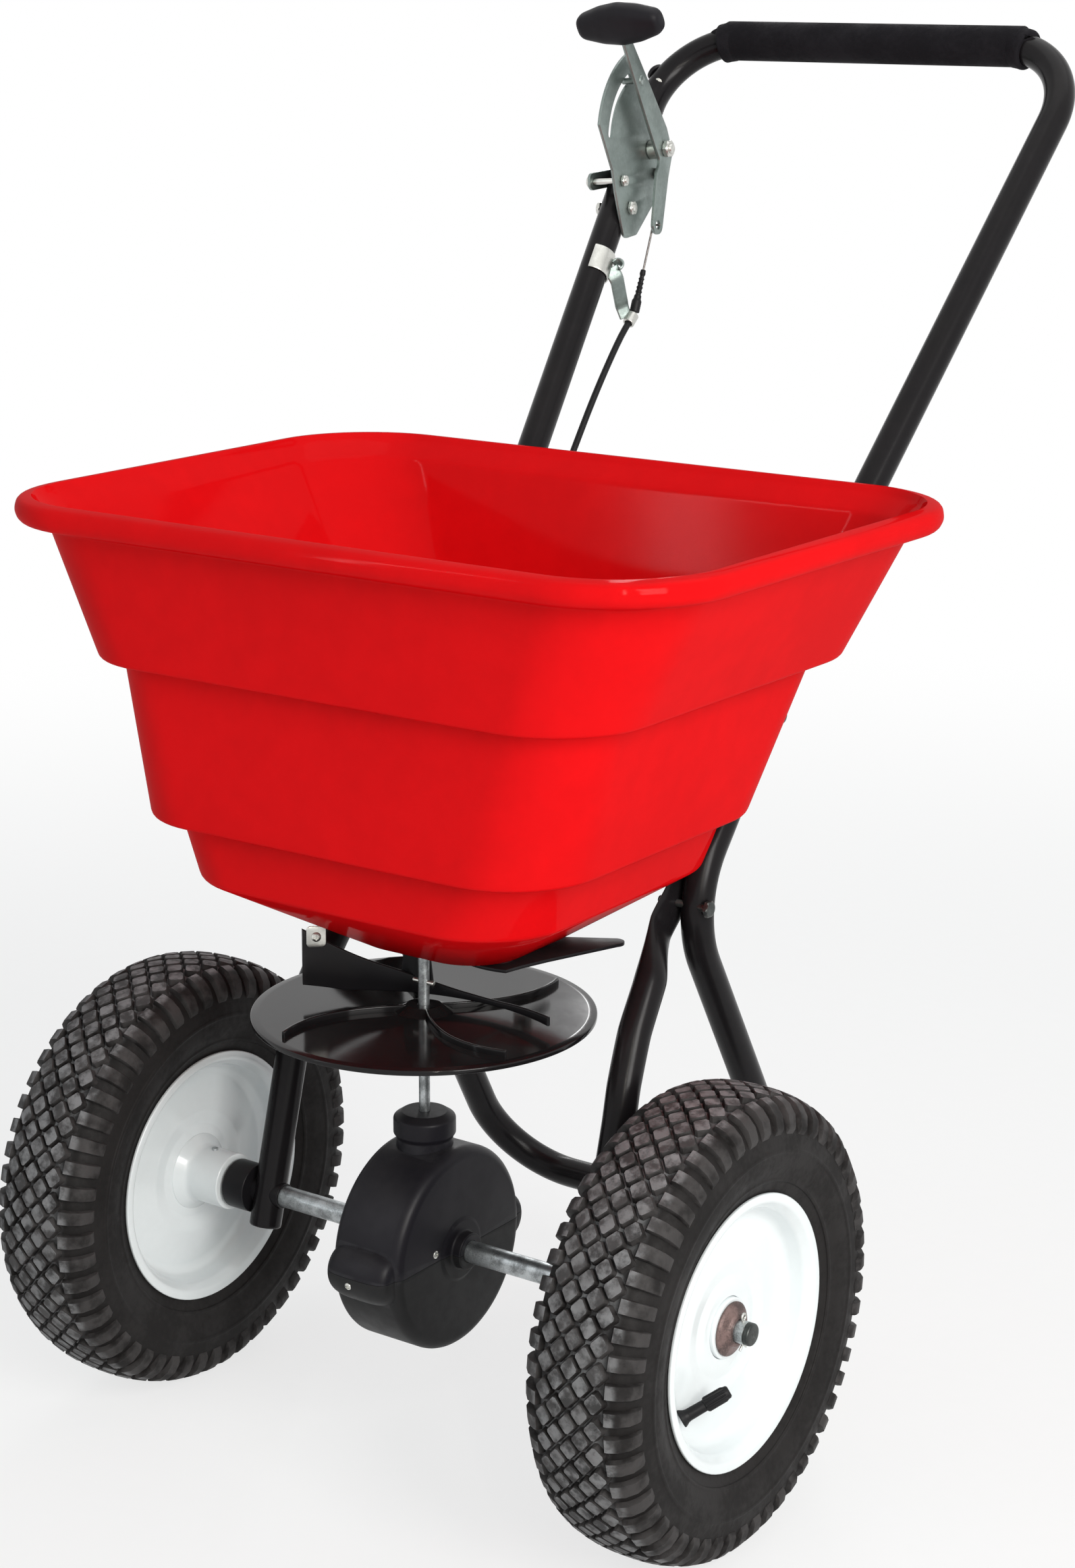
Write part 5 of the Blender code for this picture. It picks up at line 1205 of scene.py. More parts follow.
class Workshop:
    """Sets finished pieces down on their bodies and keeps count of them."""

    def __init__(self) -> None:
        """Builds the shared effects and every finish."""
        effects = Effects()
        self.coats = {key: finish.material(effects) for key, finish in FINISHES.items()}
        self.made: list[Object] = []

    def add(self, name: str, shape: Mesh | Curve, body: str, coat: str, node: str = "",
            at: Sequence[float] = (0, 0, 0), turn: Quaternion | None = None,
            bend: tuple[str, Vector, Vector] | None = None) -> Object:
        """Sets a piece down.

        Args:
            name: the piece's name.
            shape: its mesh or curve.
            body: the body that it rides on.
            coat: its finish.
            node: the frame's node that it stands for, if any.
            at: its place, counted from the middle of the axle.
            turn: how it is turned.
            bend: for a wire across a joint, the body that its far end would follow and the points
                where it would bend.
            Only whether it is given is read: the piece is then fixed where it stands, on no body.

        Returns:
            The piece.
        """
        piece = linked(name, shape)
        piece.location = ORIGIN + Vector(at)
        if turn is not None:
            piece.rotation_mode = "QUATERNION"
            piece.rotation_quaternion = turn
        shape.materials.clear()
        shape.materials.append(self.coats[coat])
        if bend:
            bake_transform(piece)
        else:
            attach(piece, body)
        if node:
            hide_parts(node)
        self.made.append(piece)
        LOG.info("%s rides on %s", name, body)
        return piece

    def dress(self, node: str, coat: str) -> None:
        """Gives a node of the frame that stays in sight its finish.

        Args:
            node: the frame's node.
            coat: its finish.
        """
        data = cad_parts[node].data
        data.materials.clear()
        data.materials.append(self.coats[coat])
        LOG.info("%s keeps its own shape", node)


# Where the tubes run


def handle_y(height: float) -> float:
    """Where the middle of a handle leg is, at a height."""
    return HANDLE_POINT.y + HANDLE_LEAN * (height - HANDLE_POINT.z)


def handle_x(height: float) -> float:
    """How far out a handle leg is, at a height above its lower bend."""
    return HANDLE_POINT.x + HANDLE_SPLAY * (height - HANDLE_POINT.z)


def on_left_leg(height: float) -> Vector:
    """The middle of the handle's left leg, at a height."""
    return Vector((-handle_x(height), handle_y(height), height))


def mirrored(half: list[tuple]) -> list[tuple]:
    """A line of (point, bend) corners carried on over its mirror image across X."""
    return half + [((-p[0], p[1], p[2]), r) for p, r in reversed(half)]


def aimed(direction: Sequence[float], start: Sequence[float] = (1, 0, 0)) -> Quaternion:
    """The turn that takes one direction to another."""
    return Vector(start).rotation_difference(Vector(direction))


FLIP = Quaternion((0, 0, 1), math.pi)
UP = Quaternion((0, 1, 0), -math.pi / 2)
ON_EDGE = Quaternion((1, 0, 0), math.pi / 2)
LEG_SLOPE = Vector((-HANDLE_SPLAY, HANDLE_LEAN, 1)).normalized()
LEAN = Vector((0, HANDLE_LEAN, 1)).normalized()
OFF_LEAN = Vector((0, -1, HANDLE_LEAN)).normalized()


@dataclass
class Cable:
    """The cable that works the shutter: clip, casing, boot and bare wires."""

    casing_radius: float = 0.0027
    wire_radius: float = 0.0009
    clip_z: float = 0.654
    eye: tuple[float, float, float] = (-0.152, 0.492, 0.612)
    route: tuple = (
        (-0.152, 0.492, 0.612), (-0.152, 0.470, 0.592), (-0.152, 0.437, 0.553),
        (-0.152, 0.402, 0.505), (-0.149, 0.352, 0.440), (-0.135, 0.300, 0.375),
        (-0.108, 0.252, 0.322), (-0.074, 0.216, 0.275), (-0.036, 0.186, 0.239),
        (-0.003, 0.158, WIRE_Z + 0.004), (BRACKET_X - 0.001, 0.130, WIRE_Z),
        (BRACKET_X, BRACKET_Y - 0.001, WIRE_Z),
    )

    def casing(self, shop: Workshop) -> None:
        """The casing, one smooth curve that hangs from the clip down to the bracket.

        Args:
            shop: where pieces are set down.
        """
        line = smooth_route(self.route, 0.0085)
        curve = bpy.data.curves.new("cable_casing_cover", "CURVE")
        curve.dimensions = "3D"
        curve.bevel_depth = self.casing_radius
        curve.bevel_resolution = 6
        curve.use_fill_caps = True
        lined(curve, line)
        piece = shop.add("cable_casing_cover", curve, "chassis", "rubber", "cable_casing")

    def clip(self, shop: Workshop, heading: Vector) -> None:
        """The band round the handle with its arm and the eye that holds the casing.

        Args:
            shop: where pieces are set down.
            heading: which way the casing points where it leaves the eye.
        """
        at = on_left_leg(self.clip_z)
        inner, outer = TUBE_RADIUS + GAP, TUBE_RADIUS + 0.0018
        middle, thick = (inner + outer) / 2, (outer - inner) / 2
        grip = [Vector((middle * math.cos(t), middle * math.sin(t), 0))
                for t in (math.radians(-76 + 5 * k) for k in range(41))]
        band = swept(grip, (0.0110, thick), 24, side=(0, 0, 1), power=0.3, lip=0.0004)
        moved(band, at, aimed(LEG_SLOPE, (0, 0, 1)))
        eye_at = Vector(self.eye) - heading * 0.006
        side = Vector((1, 0.25, -0.2)).normalized()
        corners = [(at + side * (TUBE_RADIUS + 0.0012), 0),
                   (at + Vector((0.017, 0.006, -0.012)), 0.008),
                   (eye_at + Vector((-0.0075, -0.002, 0.010)), 0.006),
                   (eye_at + Vector((-0.0040, -0.001, 0.001)), 0)]
        path = bent_path(corners, 8)
        last = len(path) - 1
        widths = [(0.0011, 0.0064 - 0.0010 * i / last) for i in range(last + 1)]
        arm = swept(path, widths, 20, (0.80, -0.60, 0), power=0.5, lip=0.0006)
        hole, rim = self.casing_radius + 2 * GAP, self.casing_radius + 0.0022
        eye = turned("eye", [(-0.005, hole, 0.0003), (-0.005, rim, 0.0006),
                             (0.005, rim, 0.0006), (0.005, hole, 0.0003)],
                     36, Axis.UPRIGHT, ring=True)
        moved(eye, eye_at, aimed(heading, (0, 0, 1)))
        curl = [at + side * (TUBE_RADIUS + 0.0030) + LEG_SLOPE * 0.004
                + side * (0.0036 - 0.0036 * math.cos(t)) + LEG_SLOPE * 0.0036 * math.sin(t)
                for t in (math.radians(14 * k) for k in range(18))]
        hook = swept(curl, (0.0010, 0.0035), 16, power=0.5, lip=0.0004)
        shop.add("clip_band", gathered("clip", [band, eye]), "chassis", "zinc", "cable_clip")
        shop.add("clip_arm", gathered("clip", [arm, hook]), "chassis", "lever zinc")

    def ferrule(self, shop: Workshop) -> None:
        """The crimped sleeve on the casing behind the shutter's bracket.

        Args:
            shop: where pieces are set down.
        """
        inner, outer = self.casing_radius + 0.0001, self.casing_radius + 0.0009
        profile = [(0, inner), (0, outer + 0.0006, 0.0002), (0.0012, outer + 0.0006, 0.0002),
                   (0.0012, outer), (0.004, outer, 0.001), (0.0052, outer - 0.0006, 0.001),
                   (0.0064, outer, 0.001), (0.0095, outer, 0.0004), (0.0095, inner)]
        mesh = turned("ferrule", profile, 32, ring=True)
        at = (BRACKET_X, BRACKET_Y + 0.0021, WIRE_Z)
        shop.add("casing_ferrule", mesh, "chassis", "zinc", at=at, turn=aimed((0, 1, 0)))

    def bare_wire(self, shop: Workshop, node: str, far: str, corners: Sequence[Vector],
                  hook_radius: float, start: Vector, end: Vector) -> None:
        """A bare wire across a joint.

        Args:
            shop: where pieces are set down.
            node: the frame's node that it stands for.
            far: the body that its far end would follow; it is handed on but not used.
            corners: its start, its bend, and its end in the hole.
            hook_radius: the bend's radius.
            start: where it would start to give; it is handed on but not used.
            end: where it would follow the far body in full; it is handed on but not used.
        """
        first, bend, tip = corners
        straight = [(first.lerp(bend, i / WIRE_STEPS), 0) for i in range(WIRE_STEPS)]
        path = bent_path([*straight, (bend, hook_radius), (tip, 0)], 12)
        shop.add(f"{node}_end", swept(path, self.wire_radius, 16, lip=0.0003), "chassis",
                 "wire", node, bend=(far, start, end))

    def shutter_wire(self, shop: Workshop) -> None:
        """The bare wire from the bracket to the shutter's lug, hooked at its end.

        Args:
            shop: where pieces are set down.
        """
        start = Vector((BRACKET_X, BRACKET_Y - 0.001 - GAP, WIRE_Z))
        lug = polar(SHUTTER_PIVOT, LUG_ARM, LUG_ANGLE)
        hook = Vector((*lug, WIRE_Z))
        top = hook + Vector((0, 0, SHUTTER_TOP - WIRE_Z + 0.0005))
        self.bare_wire(shop, "shutter_wire", "shutter", (start, hook, top), 0.0025, start,
                       start.lerp(hook, 0.9))

    def lever_wire(self, shop: Workshop, heading: Vector, hook: Vector, inward: Vector) -> None:
        """The boot on the clip's eye, and the bare wire from it into the lever.

        Args:
            shop: where pieces are set down.
            heading: which way the casing points where it leaves the eye.
            hook: where the lever's cable hole is.
            inward: the lever's axis.
        """
        start = Vector(self.eye) + heading * GAP
        corner = hook - inward * 0.0035
        aim = (corner - start).normalized()
        bore = self.wire_radius + 2 * GAP
        profile = [(0, bore), (0, 0.0041, 0.0008), (0.0095, 0.0041, 0.0010),
                   (0.0115, 0.0031, 0.0010)]
        for i in range(5):
            along = 0.0140 + 0.0036 * i
            out = 0.0030 - 0.00012 * i
            profile += [(along, out, 0.0005), (along + 0.0010, out - 0.0007, 0.0004),
                        (along + 0.0022, out - 0.0007, 0.0004)]
        profile += [(0.0325, 0.0025, 0.0006), (0.036, 0.0021, 0.0006), (0.036, bore)]
        shop.add("wire_boot", turned("boot", profile, 36, ring=True, arcs=3), "chassis", "rubber",
                 "cable_boot", start + aim * 0.0012, aimed(aim))
        self.bare_wire(shop, "lever_wire", "lever",
                       (start + aim * 0.002, corner, hook + inward * 0.0035), 0.002,
                       start + aim * 0.036, corner - aim * 0.004)

    def build(self, shop: Workshop, lever: "Lever") -> None:
        """Every piece of the cable.

        Args:
            shop: where pieces are set down.
            lever: the lever that its wire is hooked into.
        """
        self.casing(shop)
        line = smooth_route(self.route, 0.0165)
        heading = (line[0] - line[1]).normalized()
        self.clip(shop, heading)
        self.ferrule(shop)
        self.shutter_wire(shop)
        hook = lever.pivot + lever.turn @ Vector((lever.offset, *lever.hook))
        self.lever_wire(shop, heading, hook, lever.turn @ Vector((1, 0, 0)))


@dataclass
class Frame:
    """The bent tubes: handle with its grip, rear frame, front legs, and their bolts."""

    joint_z: float = 0.395
    spigot_radius: float = 0.0100
    spigot_length: float = 0.050
    handle_corner: float = 0.065
    grip_radius: float = 0.0160
    grip_half: float = 0.1415
    stand_x: float = 0.145
    stand_lean: float = 0.575
    stand_point: Flat = (0.146, 0.200)
    stand_bar_z: float = -0.069
    knee_radius: float = 0.075
    loop_radius: float = 0.068
    leg_foot_z: float = -0.025
    leg_flat: float = 0.0030
    leg_wide: float = 0.0160
    leg_bolt: Flat = (0.130, 0.245)
    hopper_bolt_z: float = 0.340

    def handle_line(self) -> list[Vector]:
        """The handle from joint to joint: two legs that splay out and the bar across.

        Returns:
            The points.
        """
        bend_z = HANDLE_POINT.z - (HANDLE_POINT.x - FRAME_X) / HANDLE_SPLAY
        low_z = self.joint_z + GAP
        return bent_path(mirrored([
            ((FRAME_X, handle_y(low_z), low_z), 0),
            ((FRAME_X, handle_y(bend_z), bend_z), 0.25),
            ((handle_x(HANDLE_TOP_Z), handle_y(HANDLE_TOP_Z), HANDLE_TOP_Z), self.handle_corner),
        ]))

    def rear_line(self) -> list[Vector]:
        """The rear frame from joint to joint, through both knees and the stand's loop.

        Returns:
            The points.
        """
        base = self.stand_point[0] + self.stand_lean * self.stand_point[1]
        rise = HANDLE_POINT.y - HANDLE_LEAN * HANDLE_POINT.z
        knee_z = (base - rise) / (HANDLE_LEAN + self.stand_lean)
        low_z = self.stand_bar_z
        return bent_path(mirrored([
            ((FRAME_X, handle_y(self.joint_z), self.joint_z), 0),
            ((FRAME_X, handle_y(knee_z), knee_z), self.knee_radius),
            ((self.stand_x, base - self.stand_lean * low_z, low_z), self.loop_radius),
        ]))

    def leg_line(self, side: int, grow: float = 0.0) -> tuple[list[Vector], list[Flat]]:
        """A front leg's line and sections: round below, pressed flat where it is bolted.

        Args:
            side: -1 for the left leg, 1 for the right one.
            grow: how much is added all round.

        Returns:
            The points, and (half width, half depth) at each.
        """
        flat_x = FRAME_X - TUBE_RADIUS - GAP - self.leg_flat
        full = (TUBE_RADIUS, TUBE_RADIUS)
        flat = (self.leg_flat, self.leg_wide)
        stations = [
            ((LEG_X, -0.007, self.leg_foot_z), full), ((LEG_X, 0.0, 0.0), full),
            ((LEG_X, 0.031, 0.112), full), ((LEG_X - 0.002, 0.040, 0.137), full),
            ((LEG_X - 0.006, 0.059, 0.170), full),
            ((LEG_X - 0.009, 0.083, 0.201), (0.0115, 0.0124)),
            ((flat_x, 0.113, 0.230), flat), ((flat_x, *self.leg_bolt), flat),
            ((flat_x, 0.150, 0.264), flat),
        ]
        knots = [Vector((side * p[0], p[1], p[2])) for p, _ in stations]
        ends = carried_on(knots)
        path, sections = [], []
        for i in range(len(knots) - 1):
            a, b, c, d = ends[i:i + 4]
            pull = 0.5 * (c - b).length
            out = (c - a).normalized() * pull
            into = (d - b).normalized() * pull
            for k in range(7 if i < len(knots) - 2 else 8):
                t = k / 7
                path.append((2 * t**3 - 3 * t**2 + 1) * b + (t**3 - 2 * t**2 + t) * out
                            + (3 * t**2 - 2 * t**3) * c + (t**3 - t**2) * into)
                share = t * t * (3 - 2 * t)
                sections.append(tuple(p + (q - p) * share + grow
                                      for p, q in zip(stations[i][1], stations[i + 1][1])))
        path[-1] += (path[-1] - path[-2]).normalized() * grow
        return path, sections

    def nests(self, grow: float) -> list[Mesh]:
        """Solids of the rear frame and both legs, grown, that the hopper is cut by.

        Args:
            grow: how much is added all round.

        Returns:
            The meshes.
        """
        made = [swept(self.rear_line(), TUBE_RADIUS + grow, 32)]
        made += [swept(*self.leg_line(side, grow), 32) for side, _ in SIDES]
        return made

    def handle(self, shop: Workshop) -> None:
        """The handle tube with the necks that go into the rear frame.

        Args:
            shop: where pieces are set down.
        """
        path = self.handle_line()
        neck = [path[0] - LEAN * self.spigot_length, path[0] - LEAN * 0.0002]
        other = [path[-1] - LEAN * 0.0002, path[-1] - LEAN * self.spigot_length]
        radii = [self.spigot_radius] * 2 + [TUBE_RADIUS - 0.0006, TUBE_RADIUS]
        line = neck + [path[0], path[0] + LEAN * 0.0006] + path[1:-1]
        line += [path[-1] + LEAN * 0.0006, path[-1]] + other
        sections = radii + [TUBE_RADIUS] * (len(path) - 2) + radii[::-1]
        shop.add("handle_bend", swept(line, sections, 40), "chassis", "paint", "handle_tube")

    def grip(self, shop: Workshop) -> None:
        """The foam sleeve on the bar, drawn in a little at both ends.

        Args:
            shop: where pieces are set down.
        """
        line = self.handle_line()
        half = len(line) // 2
        inner = [p for p in line if abs(p.x) < self.grip_half and p.z > HANDLE_TOP_Z - 0.02]
        beyond = [p for p in line[:half] if p.x >= self.grip_half and p.z > 0.9 * HANDLE_TOP_Z][-1]
        share = (self.grip_half - inner[0].x) / (beyond.x - inner[0].x)
        tip = inner[0].lerp(beyond, share)
        dense = smooth_route([tip, *inner, (-tip.x, tip.y, tip.z)], 0.006)
        outer = round_ended(swept_rings(dense, self.grip_radius, 44), 0.0025, 5)
        bore = swept_rings([dense[0], *dense[1:-1:4], dense[-1]], TUBE_RADIUS + 0.0002, 44)
        mesh = skin("grip", outer + bore[::-1], ring_loop=True)
        shop.add("foam_sleeve", mesh, "chassis", "foam", "handle_grip")

    @staticmethod
    def studs(shop: Workshop) -> None:
        """The pale rivet and the dark stud on the handle's left bend, above the lever.

        Args:
            shop: where pieces are set down.
        """
        out = Vector((-0.996, -0.059, -0.071))
        facing = (Vector((0.54, -0.84, 0.0)) + out * 0.45).normalized()
        upward = Vector((-0.78, 0.16, 0.60)).normalized()
        on = Vector((-0.1817, 0.5797, 0.7959))
        shop.add("handle_rivet", pan_screw(0.0042, 0.0018), "chassis", "nylon",
                 at=on + facing * (TUBE_RADIUS - 0.0004), turn=aimed(facing))
        shop.add("handle_stud", pan_screw(0.0080, 0.0055), "chassis", "plastic",
                 at=on + upward * (TUBE_RADIUS - 0.0010), turn=aimed(upward))

    def bolts(self, shop: Workshop) -> None:
        """Bolts of the legs, of the handle's joints and of the hopper.

        Args:
            shop: where pieces are set down.
        """
        leg_bolt = HexBolt(2 * TUBE_RADIUS + GAP + 2 * self.leg_flat, 0.003, 0.0065, 0.004,
                           0.004, 0.005)
        joint_bolt = HexBolt(2 * TUBE_RADIUS, 0.003, 0.0065, 0.004, 0.004, 0.005)
        hopper_bolt = HexBolt(2 * TUBE_RADIUS + NEST + HOPPER_WALL, 0.0025, 0.0055, 0.0035,
                              0.0035, 0.004)
        joint = self.joint_z - 0.55 * self.spigot_length
        for side, label in SIDES:
            turn = FLIP if side > 0 else None
            out = side * (FRAME_X + TUBE_RADIUS)
            shop.add(f"{label}_leg_hex_bolt", leg_bolt.mesh(), "chassis", "dark steel",
                     f"{label}_leg_bolt", (out, *self.leg_bolt), turn)
            shop.add(f"{label}_joint_hex_bolt", joint_bolt.mesh(), "chassis", "dark steel",
                     f"{label}_handle_bolt", (out, handle_y(joint), joint), turn)
            middle = Vector((side * FRAME_X, handle_y(self.hopper_bolt_z), self.hopper_bolt_z))
            shop.add(f"{label}_hopper_hex_bolt", hopper_bolt.mesh(), "chassis", "zinc",
                     f"{label}_hopper_bolt", middle - OFF_LEAN * TUBE_RADIUS, aimed(OFF_LEAN))

    def build(self, shop: Workshop) -> None:
        """Every tube and bolt.

        Args:
            shop: where pieces are set down.
        """
        self.handle(shop)
        self.studs(shop)
        self.grip(shop)
        rear = swept(self.rear_line(), TUBE_RADIUS, 40, lip=0.0006)
        shop.add("rear_bend", rear, "chassis", "paint", "rear_frame")
        for side, label in SIDES:
            path, sections = self.leg_line(side)
            leg = skin("leg", round_ended(swept_rings(path, sections, 40), 0.0018))
            hole = bar(0.0095 + GAP, side * LEG_X - 0.03, side * LEG_X + 0.03)
            shop.add(f"{label}_leg_tube", carved("leg", leg, cuts(hole)),
                     "chassis", "paint", f"{label}_leg")
        self.bolts(shop)


@dataclass
class Hopper:
    """The moulded hopper. A level is half width, front, back, corner radius and height."""

    floor: tuple = (0.064, -0.015, 0.112, 0.040, FLOOR_Z)
    sides: tuple = (
        (0.148, -0.106, 0.178, 0.064, 0.273), (0.160, -0.103, 0.178, 0.052, 0.314),
        (0.181, -0.120, 0.184, 0.066, 0.316), (0.204, -0.112, 0.221, 0.056, 0.423),
        (0.222, -0.127, 0.243, 0.070, 0.425), (0.266, -0.130, 0.258, 0.076, 0.513),
        (0.283, -0.147, 0.277, 0.086, 0.517), (0.286, -0.150, 0.280, 0.088, 0.534),
    )
    corner_steps: int = 14
    edge: float = 0.0038

    @staticmethod
    def drawn(level: tuple, inset: float, lift: float) -> tuple:
        """A level drawn in by a wall and lifted.

        Args:
            level: the level.
            inset: how far it is drawn in.
            lift: how far it is lifted.

        Returns:
            The new level.
        """
        half, front, back, corner, height = level
        return (half - inset, front + inset, back - inset, max(corner - inset, 0.3 * corner),
                height + lift)

    def loop(self, level: Sequence[float]) -> list[Vector]:
        """The rounded rectangle of one level.

        Args:
            level: the level.

        Returns:
            Its points.
        """
        half, front, back, radius, height = level
        corners = ((half, back, 0), (-half, back, 90), (-half, front, 180), (half, front, 270))
        points = []
        for x, y, start in corners:
            middle = (x - math.copysign(radius, x), y - radius if start < 180 else y + radius)
            points += [Vector((px, py, height))
                       for px, py in arc(middle, radius, start, start + 90, self.corner_steps)]
        return points

    def outside(self) -> Mesh:
        """The solid of the outer face, with its shelves and the rim eased.

        Returns:
            The mesh.
        """
        top = self.sides[-1]
        levels = [self.floor, *self.sides[:-1], self.drawn(top, 0.0, -0.0115)]
        levels += [self.drawn(top, 0.0006, -0.0048), self.drawn(top, 0.0032, -0.0014),
                   self.drawn(top, 0.0085, 0.0)]
        return skin("hopper", [self.loop(level) for level in eased(levels, self.edge)])

    def hollow(self, thick_nests: list[Mesh]) -> Mesh:
        """The solid that is taken out, clear of the channels for the tubes.

        Args:
            thick_nests: the tubes, grown by the wall and the clearance.

        Returns:
            The mesh.
        """
        wall = HOPPER_WALL
        top = self.sides[-1]
        levels = [self.drawn(self.floor, 0.3 * wall, wall),
                  self.drawn(self.sides[0], wall, 0.55 * wall)]
        levels += [self.drawn(level, wall, wall) for level in self.sides[1:-2]]
        levels += [self.drawn(top, 0.0150, -0.0055), self.drawn(top, 0.0128, -0.0014),
                   self.drawn(top, 0.0112, 0.0010), self.drawn(top, 0.0112, 0.005)]
        solid = skin("hollow", [self.loop(level) for level in eased(levels, self.edge)])
        return carved("hollow", solid, cuts(*thick_nests))

    def build(self, shop: Workshop, tubes: Frame) -> None:
        """The shell with its channels and holes, and the bush in its floor.

        Args:
            shop: where pieces are set down.
            tubes: the frame that the shell is nested on.
        """
        outlet = polar(SHUTTER_PIVOT, 0.038, 265.0)
        holes = [moved(bar(radius, -0.02, 0.02, Axis.UPRIGHT, 48), (*at, FLOOR_Z))
                 for radius, at in ((0.0081, (0, 0)), (0.0120, outlet))]
        height = tubes.hopper_bolt_z
        crest = TUBE_RADIUS + NEST + HOPPER_WALL
        for side in (-1, 1):
            middle = (side * FRAME_X, handle_y(height), height)
            for radius, low, high in ((0.0028, -0.03, 0.03), (0.0070, crest, crest + 0.02)):
                holes.append(moved(bar(radius, low, high), middle, aimed(OFF_LEAN)))
        hollow = self.hollow(tubes.nests(NEST + HOPPER_WALL))
        shell = carved("hopper", self.outside(), cuts(*tubes.nests(NEST), hollow, *holes))
        shop.add("hopper_shell", shell, "chassis", "hopper", "hopper")
        seat, bore = FLOOR_Z + HOPPER_WALL, SHAFT_RADIUS + GAP
        bush = turned("bush", [
            (FLOOR_Z - 2 * GAP, bore), (FLOOR_Z - 2 * GAP, 0.0078, 0.0004),
            (seat + GAP, 0.0078), (seat + GAP, 0.0105, 0.0004), (seat + 0.002, 0.0105, 0.0008),
            (seat + 0.004, 0.0075, 0.001), (seat + 0.004, bore, 0.0004)],
            48, Axis.UPRIGHT, ring=True)
        shop.add("floor_bush", bush, "chassis", "nylon", "hopper_shaft_bush")


@dataclass
class Wheel:
    """One wheel: tyre with its tread, both halves of the rim, hub and valve."""

    side: int
    label: str
    body: str
    bush: float = 0.0
    middle: float = 0.237
    crown: float = 0.1647
    crown_drop: float = 2.91e-4
    crown_power: float = 2.84
    steps: int = 180
    tread: float = 0.0042
    pitches: int = 54
    row_step: float = 0.0097
    bead: float = 0.0885
    lip_x: float = 0.0355
    sheet: float = 0.0024
    hub_radius: float = 0.0215

    def crown_at(self, x: float) -> float:
        """How far from the axle the tops of the blocks are, at a distance from the middle."""
        return self.crown - self.crown_drop * 1e-3 * (abs(x) * 1e3) ** self.crown_power

    def at(self, x: float, radius: float, angle: float) -> Vector:
        """A point of the tyre."""
        return Vector((self.side * self.middle + x, radius * math.sin(angle),
                       -radius * math.cos(angle)))

    def carcass_line(self) -> list[list[float]]:
        """Half of the tyre's outline, from the middle of the tread to the bead.

        Returns:
            The (across, radius) points.
        """
        base = [[x, self.crown_at(x) - self.tread] for x in (0.0, 0.008, 0.016, 0.023, 0.0275)]
        side = [[0.0325, 0.1542], [0.0370, 0.1488], [0.0398, 0.1430], [0.0418, 0.1350],
                [0.0424, 0.1290], [0.0430, 0.1282], [0.0430, 0.1262], [0.0424, 0.1254],
                [0.0420, 0.1210], [0.0407, 0.1150], [0.0380, 0.1080], [0.0384, 0.1066],
                [0.0376, 0.1048], [0.0364, 0.1050], [0.0338, 0.0990], [0.0328, 0.0965],
                [0.0325, 0.0930], [0.0325, self.bead]]
        return eased(base + side, 0.0022, 3)

    def block(self, bm: BMesh, x: float, angle: float) -> None:
        """One diamond block of the tread.

        Args:
            bm: what it is added to.
            x: how far across its middle is.
            angle: how far round it is, in radians.
        """
        reach_x, reach_s, cut = 0.0077, 0.0088, 0.0011
        outline = [(reach_x - cut, -cut), (reach_x - cut, cut), (cut, reach_s - cut),
                   (-cut, reach_s - cut), (-reach_x + cut, cut), (-reach_x + cut, -cut),
                   (-cut, -reach_s + cut), (cut, -reach_s + cut)]
        levels = ((1.12, -self.tread - 0.0008), (0.98, -0.0012), (0.95, -0.0004), (0.88, 0.0))
        add_skin(bm, [[self.at(x + px * scale, self.crown_at(x + px * scale) + lift,
                               angle + ps * scale / self.crown) for px, ps in outline]
                      for scale, lift in levels])

    def lug(self, bm: BMesh, hand: int, angle: float) -> None:
        """One side knob of the tread, from the crown's edge down over the shoulder.

        Args:
            bm: what it is added to.
            hand: -1 or 1, the shoulder that it is on.
            angle: how far round it is, in radians.
        """
        line = [(0.0240, 0.1578, 0.3, 1.0), (0.0252, 0.1574, 4.2, 0.95), (0.0265, 0.1568, 4.7, 0.9),
                (0.0320, 0.1545, 4.5, 0.78), (0.0368, 0.1495, 4.2, 0.5),
                (0.0393, 0.1445, 3.1, 0.2), (0.0402, 0.1420, 2.4, 0.1),
                (0.0410, 0.1385, 0.1, 0.0)]
        rings = []
        half = 0.27 * 2 * math.pi / self.pitches
        for x, radius, rise, upward in line:
            out = math.sqrt(1 - upward * upward)
            top_x, top_r = x + rise * 1e-3 * out, radius + rise * 1e-3 * upward
            low_x, low_r = x - 0.0010 * out, radius - 0.0010 * upward
            near_x, near_r = top_x - 0.0004 * out, top_r - 0.0004 * upward
            flank = ((low_x, low_r, 1.12), (near_x, near_r, 1.0), (top_x, top_r, 0.93))
            rings.append([self.at(hand * px, pr, angle - wide * half) for px, pr, wide in flank]
                         + [self.at(hand * px, pr, angle + wide * half)
                            for px, pr, wide in flank[::-1]])
        add_skin(bm, rings)

    def tyre(self) -> Mesh:
        """The carcass as a ring, with every block and knob standing on it.

        Returns:
            The mesh.
        """
        line = self.carcass_line()
        inner = [[0.0250, self.bead], [0.0330, 0.1100], [0.0345, 0.1280], [0.0280, 0.1480],
                 [0.0, 0.1530]]
        half = line + inner
        profile = half + [[-x, r] for x, r in reversed(half[1:-1])]
        bm = bmesh.new()
        add_skin(bm, [[self.at(x, r, 2 * math.pi * k / self.steps) for k in range(self.steps)]
                      for x, r in profile], ring_loop=True)
        pitch = 2 * math.pi / self.pitches
        for k in range(self.pitches):
            for row in range(-2, 3):
                shift = 0.5 if row % 2 else 0.0
                self.block(bm, self.row_step * row, (k + shift) * pitch)
            for hand in (-1, 1):
                self.lug(bm, hand, (k + 0.5) * pitch)
        return finished(bm, "tyre", 38)

